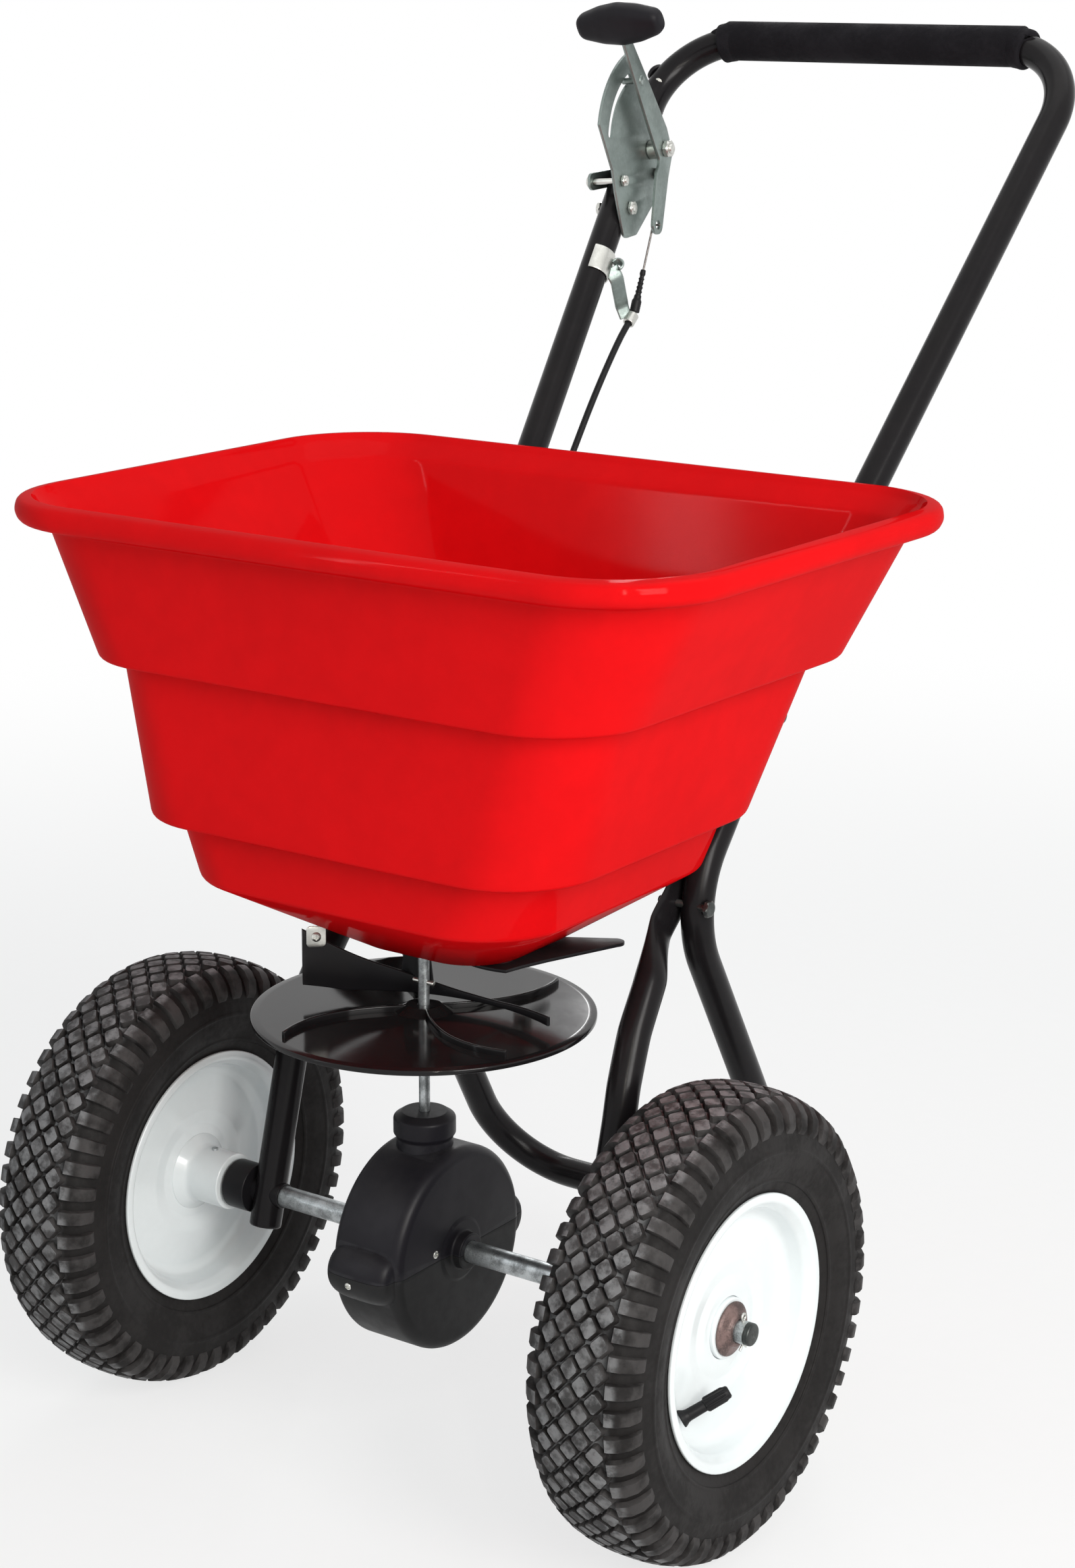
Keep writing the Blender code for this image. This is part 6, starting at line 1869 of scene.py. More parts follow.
    def rim_half(self, facing: int) -> Mesh:
        """One pressed half of the rim, facing out along +X or -X.

        Args:
            facing: 1 or -1, the way its dish opens.

        Returns:
            The mesh.
        """
        seat, sheet = self.bead - GAP, self.sheet
        lip = self.lip_x
        profile = [
            (lip + 0.0002, seat + 0.0085, 0.0010), (lip - sheet, seat + 0.0085, 0.0008),
            (lip - sheet, seat, 0.0008), (0.0150, seat - 0.0030, 0.004),
            (GAP, seat - 0.0030), (GAP, seat - 0.0054), (0.0100, seat - 0.0062, 0.004),
            (0.0166, 0.0470, 0.012), (0.0150, 0.0360, 0.006), (0.0166, 0.0290, 0.004),
            (0.0166, self.hub_radius + GAP), (0.0190, self.hub_radius + GAP, 0.0005),
            (0.0190, 0.0295, 0.004), (0.0174, 0.0365, 0.006), (0.0190, 0.0475, 0.012),
            (0.0128, seat - 0.0062, 0.010), (0.0290, seat - 0.0030, 0.008),
            (lip, seat + 0.0020, 0.004),
        ]
        return turned("rim", profile, 96, ring=True, arcs=5, facing=facing,
                      shift=self.side * self.middle, sharp=40)

    def hub(self) -> Mesh:
        """The hub's barrel, with the weld's flare on the inner face of the rim.

        Returns:
            The mesh.
        """
        low, high = HUB_SPAN
        bore = AXLE_RADIUS + GAP + (self.bush + GAP if self.bush else 0)
        out = self.hub_radius
        web = self.middle - 0.0191
        profile = [(low, bore, 0.0006), (low, out, 0.0010), (web - 0.0075, out, 0.007),
                   (web - 0.0004, out + 0.0078, 0.0005), (web + 0.0004, out + 0.0078),
                   (web + 0.0004, out), (high, out, 0.0012), (high, bore, 0.0008)]
        return turned("hub", profile, 72, ring=True, arcs=6, facing=self.side)

    @staticmethod
    def valve() -> Mesh:
        """The valve's stem along +X, with its ribbed cap.

        Returns:
            The mesh.
        """
        stem = turned("stem", [(0, 0), (0, 0.0062, 0.0005), (0.0012, 0.0062, 0.0006),
                               (0.004, 0.0046, 0.002), (0.006, 0.0042, 0.002),
                               (0.0195, 0.0040, 0.0006), (0.0195, 0)], 40)
        rings = []
        for along, out, rib in ((0.0185, 0.0040, 0), (0.0190, 0.0048, 0), (0.0200, 0.0050, 1),
                                (0.0330, 0.0049, 1), (0.0345, 0.0046, 0), (0.0365, 0.0043, 0),
                                (0.0374, 0.0034, 0), (0.0375, 0.0, 0)):
            ring = []
            for k, (c, s) in enumerate(round_turns(64)):
                reach = max(out + 0.00035 * rib * (1 if k % 4 < 2 else -1), TIP_RADIUS)
                ring.append(Vector((along, reach * c, reach * s)))
            rings.append(ring)
        return gathered("valve", [stem, skin("cap", rings, sharp=30)])

    def build(self, shop: Workshop) -> None:
        """Every piece of the wheel.

        Args:
            shop: where pieces are set down.
        """
        label, side = self.label, self.side
        shop.add(f"{label}_tread_tyre", self.tyre(), self.body, "tyre", f"{label}_tyre")
        for facing, where in ((side, "outer"), (-side, "inner")):
            shop.add(f"{label}_rim_{where}_half", self.rim_half(facing), self.body, "rim",
                     f"{label}_rim_{where}")
        shop.add(f"{label}_hub_barrel", self.hub(), self.body, "rim", f"{label}_hub")
        if self.bush:
            low, high = HUB_SPAN
            bore = AXLE_RADIUS + GAP
            out = bore + self.bush
            sleeve = [(low, bore), (low, out, 0.0003), (high, out, 0.0003), (high, bore, 0.0006)]
            mesh = turned("bush", sleeve, 56, ring=True, arcs=3, facing=side)
            shop.add(f"{label}_nylon_bush", mesh, self.body, "nylon", f"{label}_bush")
        spin = Matrix.Rotation(math.radians(-52), 3, "X")
        seat = spin @ Vector((0, 0, -(self.bead - 0.0125)))
        facing = Vector((side, 0, 0))
        lean = (facing * 0.62 - seat.normalized() * 0.78).normalized()
        start = facing * (self.middle + 0.0165) + seat + lean * 0.0045
        shop.add(f"{label}_valve_stem", self.valve(), self.body, "rubber", f"{label}_valve",
                 start, aimed(lean))


@dataclass
class Axle:
    """The axle, what pins the wheels to it, and the bushes in the legs."""

    end_x: float = 0.2770
    drive_pin_x: float = 0.2000
    cotter_x: float = 0.2690

    @staticmethod
    def cotter() -> Mesh:
        """The split pin along Z: an eye above, two legs, and their ends bent apart.

        Returns:
            The mesh.
        """
        eye = [Vector((0, 0.0021 * math.sin(a), 0.0113 - 0.0021 * math.cos(a)))
               for a in (math.radians(20 + 320 * i / 20) for i in range(21))]
        parts = [swept(eye, 0.0009, 14, side=(1, 0, 0))]
        for hand in (-1, 1):
            path = bent_path([((0, hand * 0.0007, 0.0098), 0), ((0, hand * 0.0007, -0.0090), 0.002),
                              ((0, hand * 0.0042, -0.0122), 0)], 12)
            parts.append(swept(path, 0.00082, 14, lip=0.0003))
        return gathered("cotter", parts)

    def build(self, shop: Workshop) -> None:
        """Every piece.

        Args:
            shop: where pieces are set down.
        """
        out = AXLE_RADIUS
        shaft = turned("axle", [
            (-self.end_x, 0), (-self.end_x, out, 0.0012), (-0.2735, out),
            (self.end_x - 0.0045, out, 0.0002), (self.end_x - 0.0042, out - 0.0003, 0.0002),
            (self.end_x - 0.0036, out, 0.0002), (self.end_x, out, 0.0014),
            (self.end_x, 0.0026, 0.0004), (self.end_x - 0.0012, 0)], 56)
        bar_piece = shop.add("axle_bar", shaft, "axle", "steel", "axle")
        bar_piece.data.materials.append(shop.coats["dark steel"])
        for face in bar_piece.data.polygons:
            if abs(face.center.x) > self.cotter_x + 0.0025:
                face.material_index = 1
        for side, label in SIDES:
            inner, seat = LEG_X - TUBE_RADIUS - 0.002, LEG_X + TUBE_RADIUS + GAP
            end, bore = HUB_SPAN[0] - GAP, out + GAP
            mesh = turned("bush", [
                (inner, bore), (inner, 0.0095, 0.0006), (seat, 0.0095), (seat, 0.0185, 0.0008),
                (end - 0.0028, 0.0185, 0.0015), (end, 0.0152, 0.0008), (end, bore, 0.0004)],
                56, ring=True, facing=side)
            shop.add(f"{label}_flanged_bush", mesh, "chassis", "plastic", f"{label}_axle_bush")
        shop.add("drive_pin", dowel(-0.0230, 0.0230, 0.0025, 0.0006, 32, Axis.UPRIGHT), "axle",
                 "steel", "drive_wheel_pin", (-self.drive_pin_x, 0, 0))
        shop.add("hub_washer", self.washer(), "axle", "washer", "free_wheel_washer")
        shop.add("split_pin", self.cotter(), "axle", "zinc", "free_wheel_cotter",
                 (self.cotter_x, 0, 0))
        shop.add("gear_pin", dowel(-0.0145, 0.0145, 0.002, 0.0006, 32, Axis.UPRIGHT), "axle",
                 "zinc", "crown_gear_pin", (0.004, 0, 0))

    @staticmethod
    def washer() -> Mesh:
        """The dished washer outside the free wheel.

        Returns:
            The mesh.
        """
        start, bore = HUB_SPAN[1] + GAP, AXLE_RADIUS + GAP
        return turned("washer", [
            (start, bore), (start, 0.019, 0.0006), (start + 0.0016, 0.019, 0.0006),
            (start + 0.0030, 0.0172, 0.002), (start + 0.0050, 0.0122, 0.002),
            (start + 0.0068, 0.0112, 0.0008), (start + 0.0070, bore, 0.0004)], 64, ring=True)


@dataclass
class GearCase:
    """The two halves of the gear case and the small screws that show."""

    radius: float = 0.0750
    left: float = -0.0265
    right: float = 0.0320
    wall: float = 0.0028
    fillet: float = 0.0085
    boss: float = 0.0135
    boss_end: float = 0.0410
    lip_y: float = 0.0795
    neck_top: float = 0.0990

    def drum(self) -> Mesh:
        """The outside of the drum with the axle's boss.

        Returns:
            The mesh.
        """
        return turned("drum", [
            (self.left, 0), (self.left, 0.017, 0.002), (self.left - 0.0010, 0.019, 0.001),
            (self.left - 0.0010, self.radius - 0.012, 0.003), (self.left, self.radius, self.fillet),
            (self.right, self.radius, self.fillet), (self.right, 0.0240, 0.003),
            (self.right + 0.0012, 0.0215, 0.002), (self.right + 0.0012, self.boss, 0.002),
            (self.boss_end, self.boss, 0.0012), (self.boss_end, 0)], 120, arcs=6)

    def half(self, upper: bool) -> Mesh:
        """One half of the case, cut along the axle.

        Args:
            upper: whether it is the half that carries the shaft's neck.

        Returns:
            The mesh.
        """
        low, high = self.left + 0.0005, self.right - 0.0035
        steps = []
        for y in (-self.lip_y, self.lip_y):
            middle, half = (low + high) / 2, (high - low) / 2
            hump = [(-half * squared_off(math.cos(t), 0.6), math.sin(t) ** 0.42)
                    for t in (math.pi * k / 28 for k in range(1, 28))]
            lip = turned("lip", [(-half, 0), *hump, (half, 0)], 72)
            lip.transform(Matrix.Diagonal((1.0, 0.0185, 0.0200, 1.0)))
            steps.append(("UNION", moved(lip, (middle, y - math.copysign(0.0100, y), -0.002))))
        if upper:
            neck = turned("neck", [
                (self.radius - 0.020, 0), (self.radius - 0.020, 0.0205),
                (self.radius + 0.005, 0.0205, 0.003), (self.radius + 0.008, 0.0225, 0.002),
                (self.neck_top - 0.004, 0.0225, 0.003), (self.neck_top, 0.0165, 0.002),
                (self.neck_top, 0)], 80, Axis.UPRIGHT)
            steps.append(("UNION", neck))
        gap = GAP / 2
        floor, ceiling = (gap, 0.2) if upper else (-0.2, -gap)
        steps.append(("INTERSECT", block("half", (-0.1, -0.1, floor), (0.1, 0.1, ceiling), 0)))
        inset = self.wall
        hollow = turned("hollow", [
            (self.left + inset, 0), (self.left + inset, self.radius - inset, 0.0071),
            (self.right - inset, self.radius - inset, 0.0071), (self.right - inset, 0)], 72)
        steps += cuts(hollow, bar(AXLE_RADIUS + GAP, -0.1, 0.1, steps=48))
        if upper:
            steps += cuts(bar(SHAFT_RADIUS + GAP, 0.05, 0.15, Axis.UPRIGHT))
        return carved("case", self.drum(), steps, edge=0.0005)

    def build(self, shop: Workshop) -> None:
        """Both halves and the screws.

        Args:
            shop: where pieces are set down.
        """
        shop.add("case_top_half", self.half(True), "chassis", "case", "gear_case_upper")
        # The lower half takes the lighter finish, which is a painted reflection of the floor.
        shop.add("case_bottom_half", self.half(False), "chassis", "case lower painted reflection",
                 "gear_case_lower")
        shop.add("case_lip_screw", pan_screw(0.0028, 0.0014), "chassis", "zinc",
                 at=(-0.002, -self.lip_y - 0.0076, -0.0060),
                 turn=aimed(Vector((0, -0.97, -0.22)).normalized()))
        shop.add("case_face_screw", pan_screw(0.0030, 0.0014), "chassis", "zinc",
                 at=(self.right - 0.0002, -0.030, 0.006))


@dataclass
class Spinner:
    """What turns upright: shaft, disc with its fins, cross pin and stirrer."""

    shaft_low: float = 0.048
    shaft_top: float = 0.258
    disc_radius: float = 0.123
    disc_thick: float = 0.003
    fin_high: float = 0.0045
    stirrer_z: float = 0.242

    def disc(self) -> Mesh:
        """The disc: a dished plate on a stepped hub, with four swept-back fins.

        Returns:
            The mesh.
        """
        base, bore = DISC_Z - self.disc_thick, SHAFT_RADIUS + GAP
        out = self.disc_radius
        profile = [
            (base - 0.010, bore), (base - 0.010, 0.013, 0.001), (base - 0.002, 0.016, 0.003),
            (base, 0.022, 0.002), (base + 0.0004, out - 0.006, 0.002),
            (base - 0.0014, out, 0.0008), (DISC_Z - 0.0004, out, 0.0012),
            (DISC_Z, out - 0.006, 0.004), (DISC_Z, 0.021, 0.003),
            (DISC_Z + self.fin_high, 0.0125, 0.0015), (DISC_Z + self.fin_high, bore, 0.0006),
        ]
        parts = [turned("plate", profile, 160, Axis.UPRIGHT, ring=True)]
        for quarter in range(4):
            line = [Vector((*polar((0, 0), 0.010 + 0.102 * t, 45 + 90 * quarter + 22 * t * t),
                            DISC_Z + self.fin_high / 2 - 0.0006))
                    for t in (i / 18 for i in range(19))]
            way = line[1] - line[0]
            side = (-way.y, way.x, 0)
            parts.append(swept(line, (0.0012, self.fin_high / 2 + 0.0006), 20, side,
                               power=0.45, lip=0.0008))
        return gathered("disc", parts)

    def build(self, shop: Workshop) -> None:
        """Every piece.

        Args:
            shop: where pieces are set down.
        """
        out = SHAFT_RADIUS
        shaft = turned("shaft", [(self.shaft_low, 0), (self.shaft_low, out, 0.0005),
                                 (self.shaft_top, out, 0.0012), (self.shaft_top, 0)],
                       36, Axis.UPRIGHT)
        shop.add("shaft_bar", shaft, "spinner", "steel", "upright_shaft")
        shop.add("finned_disc", self.disc(), "spinner", "disc", "spinner_disc")
        shop.add("disc_pin", dowel(-0.0090, 0.0090, 0.0018, 0.0005, 28), "spinner", "zinc",
                 "cross_pin", (0, 0, 0.196))
        z = self.stirrer_z
        path = bent_path([((-0.040, 0, z + 0.026), 0), ((-0.026, 0, z), 0.008),
                          ((0.026, 0, z), 0.008), ((0.040, 0, z + 0.026), 0)], 8)
        shop.add("stirrer_wire", swept(path, 0.002, 24, side=(0, 1, 0), lip=0.0008),
                 "spinner", "steel", "stirrer")


@dataclass
class Guard:
    """The wall behind the disc, its tab and the strap that holds it."""

    centre: Flat = (0.0392, -0.1384)
    radius: float = 0.1593
    sheet: float = 0.0025
    base: float = 0.1815
    start: float = 139.5
    end: float = 66.8
    steps: int = 72
    tops: tuple = ((-0.083, 0.055), (-0.066, 0.040), (-0.047, 0.029), (-0.013, 0.0185),
                   (0.015, 0.0125), (0.045, 0.0105), (0.103, 0.0135))

    def top(self, x: float) -> float:
        """How high the guard stands above the disc, at a distance across.

        Args:
            x: the distance across.

        Returns:
            The height.
        """
        line = eased(self.tops, 0.012, 6)
        for (x0, h0), (x1, h1) in zip(line, line[1:]):
            if x <= x1:
                return h0 + (h1 - h0) * (x - x0) / max(x1 - x0, 1e-9)
        return line[-1][1]

    def wall(self) -> Mesh:
        """The curved strip.

        Returns:
            The mesh.
        """
        rings = []
        half = self.sheet / 2
        for i in range(self.steps + 1):
            angle = self.start + (self.end - self.start) * i / self.steps
            x = polar(self.centre, self.radius, angle)[0]
            low = self.base + max(0.0, (-x - 0.060) * 0.25)
            high = DISC_Z + self.top(x)
            section = rounded([(-half, low, 0.0009), (half, low, 0.0009), (half, high, 0.0011),
                               (-half, high, 0.0011)], steps=3)
            rings.append([Vector((*polar(self.centre, self.radius + u, angle), z))
                          for u, z in section])
        return skin("wall", rings)

    def build(self, shop: Workshop) -> None:
        """The guard, and its strap with a screw.

        Args:
            shop: where pieces are set down.
        """
        left = polar(self.centre, self.radius, 114.6)
        right = polar(self.centre, self.radius, 105.0)
        x, y = (left[0] + right[0]) / 2, (left[1] + right[1]) / 2 + self.sheet / 4
        half_low = (right[0] - left[0]) / 2 + 0.002
        half_top = half_low - 0.004
        low, top = DISC_Z + 0.012, FLOOR_Z - GAP
        tab = plate("tab", rounded([(-half_low, low, 0.001), (half_low, low, 0.001),
                                    (half_top, top, 0.002), (-half_top, top, 0.002)]), self.sheet)
        moved(tab, (x, y, 0), ON_EDGE)
        foot = block("foot", (x - half_top, y - 0.001, top - self.sheet),
                     (x + half_top, y + 0.012, top), 0.0006)
        shop.add("guard_wall", gathered("guard", [self.wall(), tab, foot]), "chassis", "plastic",
                 "rear_guard")
        angle = 136.0
        at = polar(self.centre, self.radius - self.sheet / 2 - GAP - 0.001, angle)
        strap = plate("strap", rounded([(-0.007, 0.2155, 0.003), (0.007, 0.2155, 0.003),
                                        (0.007, 0.2310, 0.003), (-0.007, 0.2310, 0.003)]), 0.0016)
        turn = Quaternion((0, 0, 1), math.radians(angle - 90)) @ ON_EDGE
        shop.add("guard_strap", strap, "chassis", "zinc", "guard_bracket", (*at, 0), turn)
        facing = Vector((self.centre[0] - at[0], self.centre[1] - at[1], 0)).normalized()
        shop.add("strap_screw", pan_screw(0.0036, 0.0018), "chassis", "zinc",
                 at=Vector((*at, 0.2232)) + facing * 0.0008, turn=aimed(facing))


@dataclass
class Shutter:
    """The plate under the outlet, its pivot and the bracket of the cable."""

    radius: float = 0.058

    def plate(self) -> Mesh:
        """The shutter's plate, round its pivot.

        Returns:
            The mesh.
        """
        origin = (0, 0)
        lug = polar(origin, LUG_ARM, LUG_ANGLE)
        outline = arc(lug, 0.0065, LUG_ANGLE - 80, LUG_ANGLE + 30, 12)
        outline += arc(origin, self.radius, 217, 287, 30)
        outline += [polar(origin, 0.045, 297), polar(origin, 0.033, 325)]
        outline += arc(polar(origin, 0.060, 45), 0.0070, -38, 128, 16)
        outline += [polar(origin, 0.026, 88), polar(origin, 0.021, 135)]
        return plate("shutter", outline, SHUTTER_THICK,
                     [circle(origin, 0.0033), circle(lug, 0.0015, 20)])

    @staticmethod
    def bracket() -> Mesh:
        """The bent bracket that holds the casing's end.

        Returns:
            The mesh.
        """
        seat, thick = FLOOR_Z - GAP, 0.0018
        flat = block("flat", (-0.008, BRACKET_SCREW_Y - 0.009, seat - thick),
                     (0.008, BRACKET_Y + thick, seat), 0.0004)
        drop = block("drop", (-0.008, BRACKET_Y, WIRE_Z - 0.008), (0.008, BRACKET_Y + thick, seat),
                     0.0004)
        wire_hole = moved(bar(0.0030, -0.01, 0.01), (0, BRACKET_Y, WIRE_Z), aimed((0, 1, 0)))
        screw_hole = moved(bar(0.0028, -0.01, 0.01, Axis.UPRIGHT), (0, BRACKET_SCREW_Y, seat))
        return carved("bracket", flat, [("UNION", drop), *cuts(wire_hole, screw_hole)])

    def build(self, shop: Workshop) -> None:
        """Every piece.

        Args:
            shop: where pieces are set down.
        """
        middle = (*SHUTTER_PIVOT, SHUTTER_TOP - SHUTTER_THICK / 2)
        shop.add("shutter_blade", self.plate(), "shutter", "plastic", "shutter_plate", middle)
        pivot = HexBolt(HOPPER_WALL + 2 * GAP + SHUTTER_THICK, 0.003, 0.0060, 0.0030, 0.0040,
                        0.0015)
        shop.add("shutter_hex_bolt", pivot.mesh(), "chassis", "zinc",
                 "shutter_pivot_bolt", (*SHUTTER_PIVOT, SHUTTER_TOP - SHUTTER_THICK), UP)
        shop.add("casing_bracket", self.bracket(), "chassis", "zinc", "cable_bracket",
                 (BRACKET_X, 0, 0))
        seat = FLOOR_Z - GAP - 0.0018
        bolt = HexBolt(0.0018 + GAP + HOPPER_WALL, 0.0025, 0.0050, 0.0025, 0.0035, 0.0015)
        shop.add("bracket_hex_bolt", bolt.mesh(), "chassis", "zinc",
                 "cable_bracket_bolt", (BRACKET_X, BRACKET_SCREW_Y, seat), UP)


@dataclass
class Lever:
    """The lever on the handle's left leg. Its plane is counted from its pivot."""

    pivot_z: float = 0.742
    offset: float = 0.0275
    quadrant_thick: float = 0.0025
    thick: float = 0.0030
    slot_radius: float = 0.066
    slot: Flat = (27.0, 77.0)
    rest: float = 31.5
    hook: Flat = (-0.018, -0.061)
    foot_bolt: float = 0.0593
    clamp_bolts: tuple[Flat, Flat] = ((-0.048, -0.023), (0.007, -0.020))
    knob_reach: float = 0.1190
    knob_length: float = 0.076
    pivot: Vector = field(init=False)
    turn: Quaternion = field(init=False)

    def __post_init__(self) -> None:
        """Works out where the pivot is and how the lever's plane lies."""
        self.pivot = on_left_leg(self.pivot_z)
        self.turn = aimed(Vector((1, 0, 0)) - LEG_SLOPE * LEG_SLOPE.x)

    @property
    def stack(self) -> float:
        """How far the quadrant's outer face is from the tube's middle."""
        return TUBE_RADIUS + GAP + self.quadrant_thick

    @property
    def foot(self) -> Flat:
        """Where the quadrant's lower bolt is, down the handle's slope."""
        return tuple(-Vector((HANDLE_LEAN, 1)).normalized() * self.foot_bolt)

    def clamp_holes(self) -> list[list[Flat]]:
        """The holes of the clamp's bolts."""
        return [circle(at, 0.0028) for at in self.clamp_bolts]

    @staticmethod
    def forward(radius: float, degrees: float) -> Flat:
        """A point in the lever's plane: degrees from straight up towards the front."""
        turn = math.radians(degrees)
        return (-radius * math.sin(turn), radius * math.cos(turn))

    def add(self, shop: Workshop, name: str, mesh: Mesh, coat: str, node: str,
            at: Sequence[float] = (0, 0, 0), body: str = "chassis",
            turn: Quaternion | None = None) -> None:
        """Sets a piece down in the lever's own plane.

        Args:
            shop: where pieces are set down.
            name: the piece's name.
            mesh: its mesh.
            coat: its finish.
            node: the frame's node that it stands for.
            at: its place, counted from the pivot.
            body: the body that it rides on.
            turn: how it is turned in the plane.
        """
        spin = self.turn @ turn if turn else self.turn
        shop.add(name, mesh, body, coat, node, self.pivot + self.turn @ Vector(at), spin)

    def quadrant(self) -> Mesh:
        """The slotted plate that the lever swings on.

        Returns:
            The mesh.
        """
        outline = rounded([(-0.050, -0.070, 0.006), (-0.030, -0.068, 0.004),
                           (0.017, -0.032, 0.008), (0.018, 0.012, 0.009)]
                          + [(*self.forward(0.084, a), 0.003) for a in range(14, 75, 4)]
                          + [(-0.063, -0.014, 0.004), (-0.060, -0.032, 0.004)], steps=6)
        start, end = self.slot
        slot = []
        for out, first, last, back in ((0.0032, start, end, 90), (-0.0032, end, start, 270)):
            slot += [self.forward(self.slot_radius + out, first + (last - first) * k / 24)
                     for k in range(25)]
            tip = self.forward(self.slot_radius, last)
            slot += [polar(tip, 0.0032, back + last + 180 * k / 8) for k in range(1, 8)]
        holes = [circle((0, 0), 0.0043), circle(self.foot, 0.0033), *self.clamp_holes(), slot]
        return plate("quadrant", outline, self.quadrant_thick, holes, 0.0004, Axis.ACROSS)

    def arm(self) -> Mesh:
        """The cranked lever with its guide pin.

        Returns:
            The mesh.
        """
        aim = Vector(self.forward(1, self.rest))
        cross = Vector((aim.y, -aim.x))
        drop = Vector(self.hook).normalized()
        side = Vector((drop.y, -drop.x))
        top = Vector(self.forward(self.knob_reach - 0.016, self.rest))

        def off(along: float, way: Vector, across: Vector, out: float) -> tuple:
            """A corner beside the lever's middle line."""
            return (*(way * along + across * out), 0.009)

        corners = [
            (*(top + cross * 0.0060), 0.001), off(0.052, aim, cross, 0.0100),
            off(0.012, aim, cross, 0.0125), off(0.0, drop, side, -0.0125),
            off(0.022, drop, side, -0.0095),
        ]
        angle = math.degrees(math.atan2(drop.y, drop.x))
        corners += arc(self.hook, 0.0078, angle + 90, angle - 90, 14)
        corners += [
            off(0.022, drop, side, 0.0095), off(-0.004, aim, cross, -0.0125),
            off(0.012, aim, cross, -0.0125), off(0.052, aim, cross, -0.0100),
            (*(top - cross * 0.0060), 0.001),
        ]
        blade = plate("blade", rounded(corners, steps=6), self.thick,
                      [circle((0, 0), 0.0043), circle(self.hook, 0.0036, 28)], 0.0005, Axis.ACROSS)
        reach = self.offset - self.stack + self.quadrant_thick + 0.001
        pin = turned("pin", [(-reach, 0), (-reach, 0.0026, 0.0005),
                             (self.thick / 2 - 0.0003, 0.0026), (self.thick / 2 - 0.0003, 0.0044),
                             (self.thick / 2 + 0.0012, 0.0038, 0.0008),
                             (self.thick / 2 + 0.0016, 0)], 28)
        moved(pin, (0, *self.forward(self.slot_radius, self.rest)))
        return gathered("arm", [blade, pin])

    def knob(self) -> Mesh:
        """The moulded grip: broad in the middle, drawn in to both ends.

        Returns:
            The mesh.
        """
        half = self.knob_length / 2
        stations = [(-1.0, 0.0050, 0.0035), (-0.985, 0.0076, 0.0060), (-0.90, 0.0104, 0.0085),
                    (-0.45, 0.0156, 0.0102), (0.0, 0.0180, 0.0106), (0.45, 0.0156, 0.0102),
                    (0.90, 0.0104, 0.0085), (0.985, 0.0076, 0.0060), (1.0, 0.0050, 0.0035)]
        line = eased([(s * half, t, d) for s, t, d in stations], 0.003, 6)
        rings = [[Vector((x, deep * squared_off(c, 0.75), tall * squared_off(s, 0.75)))
                  for c, s in round_turns(48, 0.5)] for x, tall, deep in line]
        pocket = block("pocket", (-self.thick / 2 - GAP, -0.0065, -0.030),
                       (self.thick / 2 + GAP, 0.0065, -0.0155), 0)
        return carved("knob", skin("knob", rings), cuts(pocket))

    def build(self, shop: Workshop) -> None:
        """Every piece.

        Args:
            shop: where pieces are set down.
        """
        middle = self.stack - self.quadrant_thick / 2
        self.add(shop, "slotted_plate", self.quadrant(), "lever zinc", "lever_quadrant",
                 (middle, 0, 0))
        clamp = plate("clamp", rounded([(-0.055, -0.030, 0.005), (0.014, -0.027, 0.005),
                                        (0.014, -0.013, 0.005), (-0.055, -0.016, 0.005)], steps=6),
                      self.quadrant_thick, self.clamp_holes(), axis=Axis.ACROSS)
        self.add(shop, "clamp_strap", clamp, "lever zinc", "clamp_bar", (-middle, 0, 0))
        face = self.offset + self.thick / 2
        stack = self.stack
        front, back = self.clamp_bolts
        bolts = (
            ("clamp_bolt_front", (-stack, *front),
             HexBolt(2 * stack, 0.0025, 0.0050, 0.0030, 0.0030, 0.0015)),
            ("clamp_bolt_back", (-stack, *back),
             HexBolt(2 * stack, 0.0025, 0.0050, 0.0030, 0.0030, 0.0045)),
            ("quadrant_bolt", (-TUBE_RADIUS, *self.foot),
             HexBolt(TUBE_RADIUS + stack, 0.003, 0.0060, 0.0035, 0.0035, 0.001)),
            ("lever_pivot_bolt", (-TUBE_RADIUS, 0, 0),
             HexBolt(TUBE_RADIUS + face, 0.004, 0.0075, 0.0045, 0.005, 0.002)),
        )
        for node, at, bolt in bolts:
            self.add(shop, node.replace("bolt", "hex_bolt"), bolt.mesh(), "zinc", node, at)
        start, end = stack + GAP, self.offset - self.thick / 2 - GAP
        spacer = turned("spacer", [(start, 0.0043), (start, 0.008, 0.0004), (end, 0.008, 0.0004),
                                   (end, 0.0043)], 40, ring=True)
        self.add(shop, "spacer_ring", spacer, "zinc", "lever_spacer")
        self.add(shop, "lever_arm", self.arm(), "lever zinc", "lever", (self.offset, 0, 0),
                 "lever")
        aim = Vector((0, *self.forward(self.knob_reach, self.rest)))
        self.add(shop, "lever_grip", self.knob(), "knob", "lever_knob",
                 Vector((self.offset, 0, 0)) + aim, "lever",
                 Quaternion((1, 0, 0), math.radians(self.rest)))


# Floor, light and camera


@dataclass(frozen=True)
class Lamp:
    """A soft rectangular lamp that points at the spreader."""

    name: str
    place: tuple[float, float, float]
    size: Flat
    power: float
    colour: Colour = (1.0, 1.0, 1.0)

    def build(self, target: Vector) -> None:
        """Hangs the lamp.

        Args:
            target: what it points at.
        """
        data = bpy.data.lights.new(self.name, "AREA")
        data.shape = "RECTANGLE"
        data.size, data.size_y = self.size
        data.energy = self.power
        data.color = self.colour
        lamp = linked(self.name, data)
        lamp.location = self.place
        lamp.rotation_mode = "QUATERNION"
        lamp.rotation_quaternion = (target - Vector(self.place)).to_track_quat("-Z", "Y")


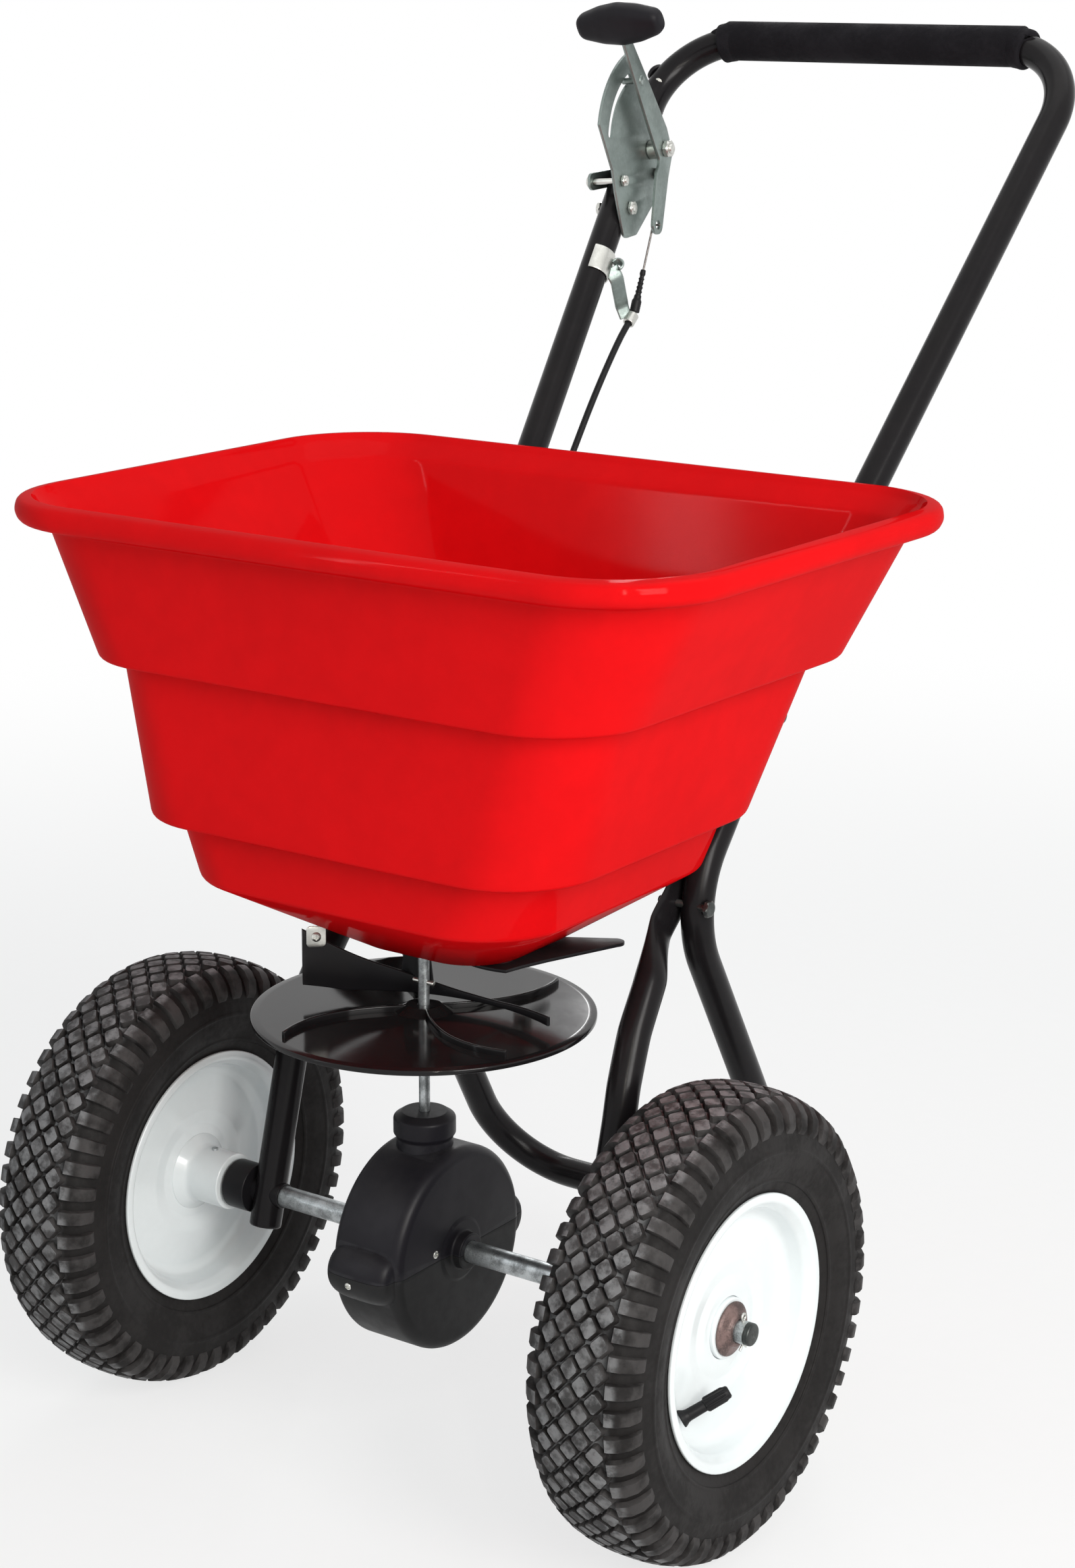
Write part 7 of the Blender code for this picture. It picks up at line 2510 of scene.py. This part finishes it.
@dataclass
class Studio:
    """The pale floor, the soft light and the camera."""

    azimuth: float = 0.61149088
    elevation: float = 0.26449289
    roll: float = 0.00412895
    focal_pixels: float = 4481.0207
    aside: float = 0.07986586
    above: float = 0.00557778
    distance: float = 2.10288823
    fill: float = 0.40
    lamps: tuple[Lamp, ...] = (
        Lamp("right lamp", (2.6, -1.3, 1.7), (1.1, 1.8), 74.0, (1.0, 0.98, 0.95)),
        Lamp("right strip", (2.0, -2.2, 1.6), (0.05, 1.6), 16.0, (1.0, 0.95, 0.84)),
        Lamp("left strip", (-1.6, -2.5, 1.6), (0.08, 1.8), 5.0, (0.90, 0.96, 1.0)),
        Lamp("top lamp", (0.2, 0.6, 3.0), (2.4, 2.4), 14.0),
        Lamp("back strip", (-1.4, 2.2, 2.2), (0.12, 2.0), 10.0),
    )

    @staticmethod
    def seen(sheet: Sheet) -> NodeSocket:
        """Whether a ray comes from the camera, a mirror or a clear piece.

        Args:
            sheet: the nodes that it is added to.

        Returns:
            1 where it does, or 0.
        """
        path = sheet.node("ShaderNodeLightPath").outputs
        both = sheet.sum("MAXIMUM", path["Is Camera Ray"], path["Is Glossy Ray"])
        return sheet.sum("MAXIMUM", both, path["Is Transmission Ray"])

    def world(self) -> None:
        """An even pale sky that looks white and gives a plain amount of light."""
        made = bpy.data.worlds.new("studio")
        bpy.context.scene.world = made
        made.use_nodes = True
        sheet = Sheet(made.node_tree)
        background = made.node_tree.nodes["Background"]
        seen = self.seen(sheet)
        tint = sheet.blend(seen, (0.91, 0.97, 1.0), (1.0, 1.0, 1.0))
        sheet.feed(background.inputs["Color"], tint)
        strength = sheet.ranged(seen, 0.0, 1.0, self.fill, 1.0)
        sheet.feed(background.inputs["Strength"], strength)

    def floor(self) -> None:
        """The pale floor, which keeps a soft shadow and runs out into white."""
        bm = bmesh.new()
        bmesh.ops.create_grid(bm, x_segments=8, y_segments=8, size=9.0)
        mesh = bpy.data.meshes.new("floor")
        bm.to_mesh(mesh)
        bm.free()
        floor = linked("floor", mesh)
        floor.location.z = -0.0005
        made = bpy.data.materials.new("floor paper")
        made.use_nodes = True
        nodes = made.node_tree.nodes
        sheet = Sheet(made.node_tree)
        place = sheet.texture_place("Object")
        paper = sheet.blend(sheet.noise(place, 60.0), (0.80, 0.80, 0.79), (0.84, 0.84, 0.84))
        shader = nodes["Principled BSDF"]
        for key, value in (("Roughness", 0.9), ("Specular IOR Level", 0.1),
                           ("Base Color", paper)):
            sheet.feed(shader.inputs[key], value)
        length = sheet.node("ShaderNodeVectorMath", {0: place}, operation="LENGTH")
        far = sheet.ranged(length.outputs["Value"], 0.9, 2.6, 0.72, 1.0)
        glow = sheet.node("ShaderNodeEmission", {"Strength": 1.0})
        mix = sheet.node("ShaderNodeMixShader", {
            0: sheet.sum("MULTIPLY", far, self.seen(sheet)), 1: shader.outputs[0],
            2: glow.outputs[0]})
        sheet.feed(nodes["Material Output"].inputs["Surface"], mix.outputs[0])
        mesh.materials.append(made)

    def camera(self) -> None:
        """The camera at the photograph's place."""
        az, el = self.azimuth, self.elevation
        back = Vector((math.sin(az) * math.cos(el), -math.cos(az) * math.cos(el), math.sin(el)))
        right = Vector((math.cos(az), math.sin(az), 0))
        up = back.cross(right)
        across = right * math.cos(self.roll) + up * math.sin(self.roll)
        over = up * math.cos(self.roll) - right * math.sin(self.roll)
        data = bpy.data.cameras.new("camera")
        data.sensor_width = SENSOR
        data.sensor_fit = "AUTO"
        data.lens = self.focal_pixels / PHOTO_HEIGHT * SENSOR
        data.clip_end = 200.0
        camera = linked("camera", data)
        target = ORIGIN + Vector((0, 0, 0.335))
        place = target + back * self.distance + across * self.aside + over * self.above
        rows = zip(across, over, back)
        camera.matrix_world = Matrix.Translation(place) @ Matrix([*rows]).to_4x4()
        bpy.context.scene.camera = camera

    def build(self) -> None:
        """Camera, floor, sky and lamps."""
        bpy.context.scene.view_settings.view_transform = "Standard"
        self.camera()
        self.world()
        self.floor()
        for lamp in self.lamps:
            lamp.build(Vector((0, 0, 0.45)))


def main() -> None:
    """Builds the studio and every sub-assembly."""
    logging.basicConfig(level=logging.INFO, format="%(message)s")
    Studio().build()
    shop = Workshop()
    lever = Lever()
    Cable().build(shop, lever)
    tubes = Frame()
    tubes.build(shop)
    Hopper().build(shop, tubes)
    Wheel(-1, "drive_wheel", "axle").build(shop)
    Wheel(1, "free_wheel", "free_wheel", bush=0.0025).build(shop)
    Axle().build(shop)
    GearCase().build(shop)
    Spinner().build(shop)
    Guard().build(shop)
    Shutter().build(shop)
    lever.build(shop)
    for node in ("crown_gear", "pinion"):
        shop.dress(node, "gear")
    bpy.context.view_layer.update()
    LOG.info("%d pieces made", len(shop.made))


if __name__ == "__main__":
    main()
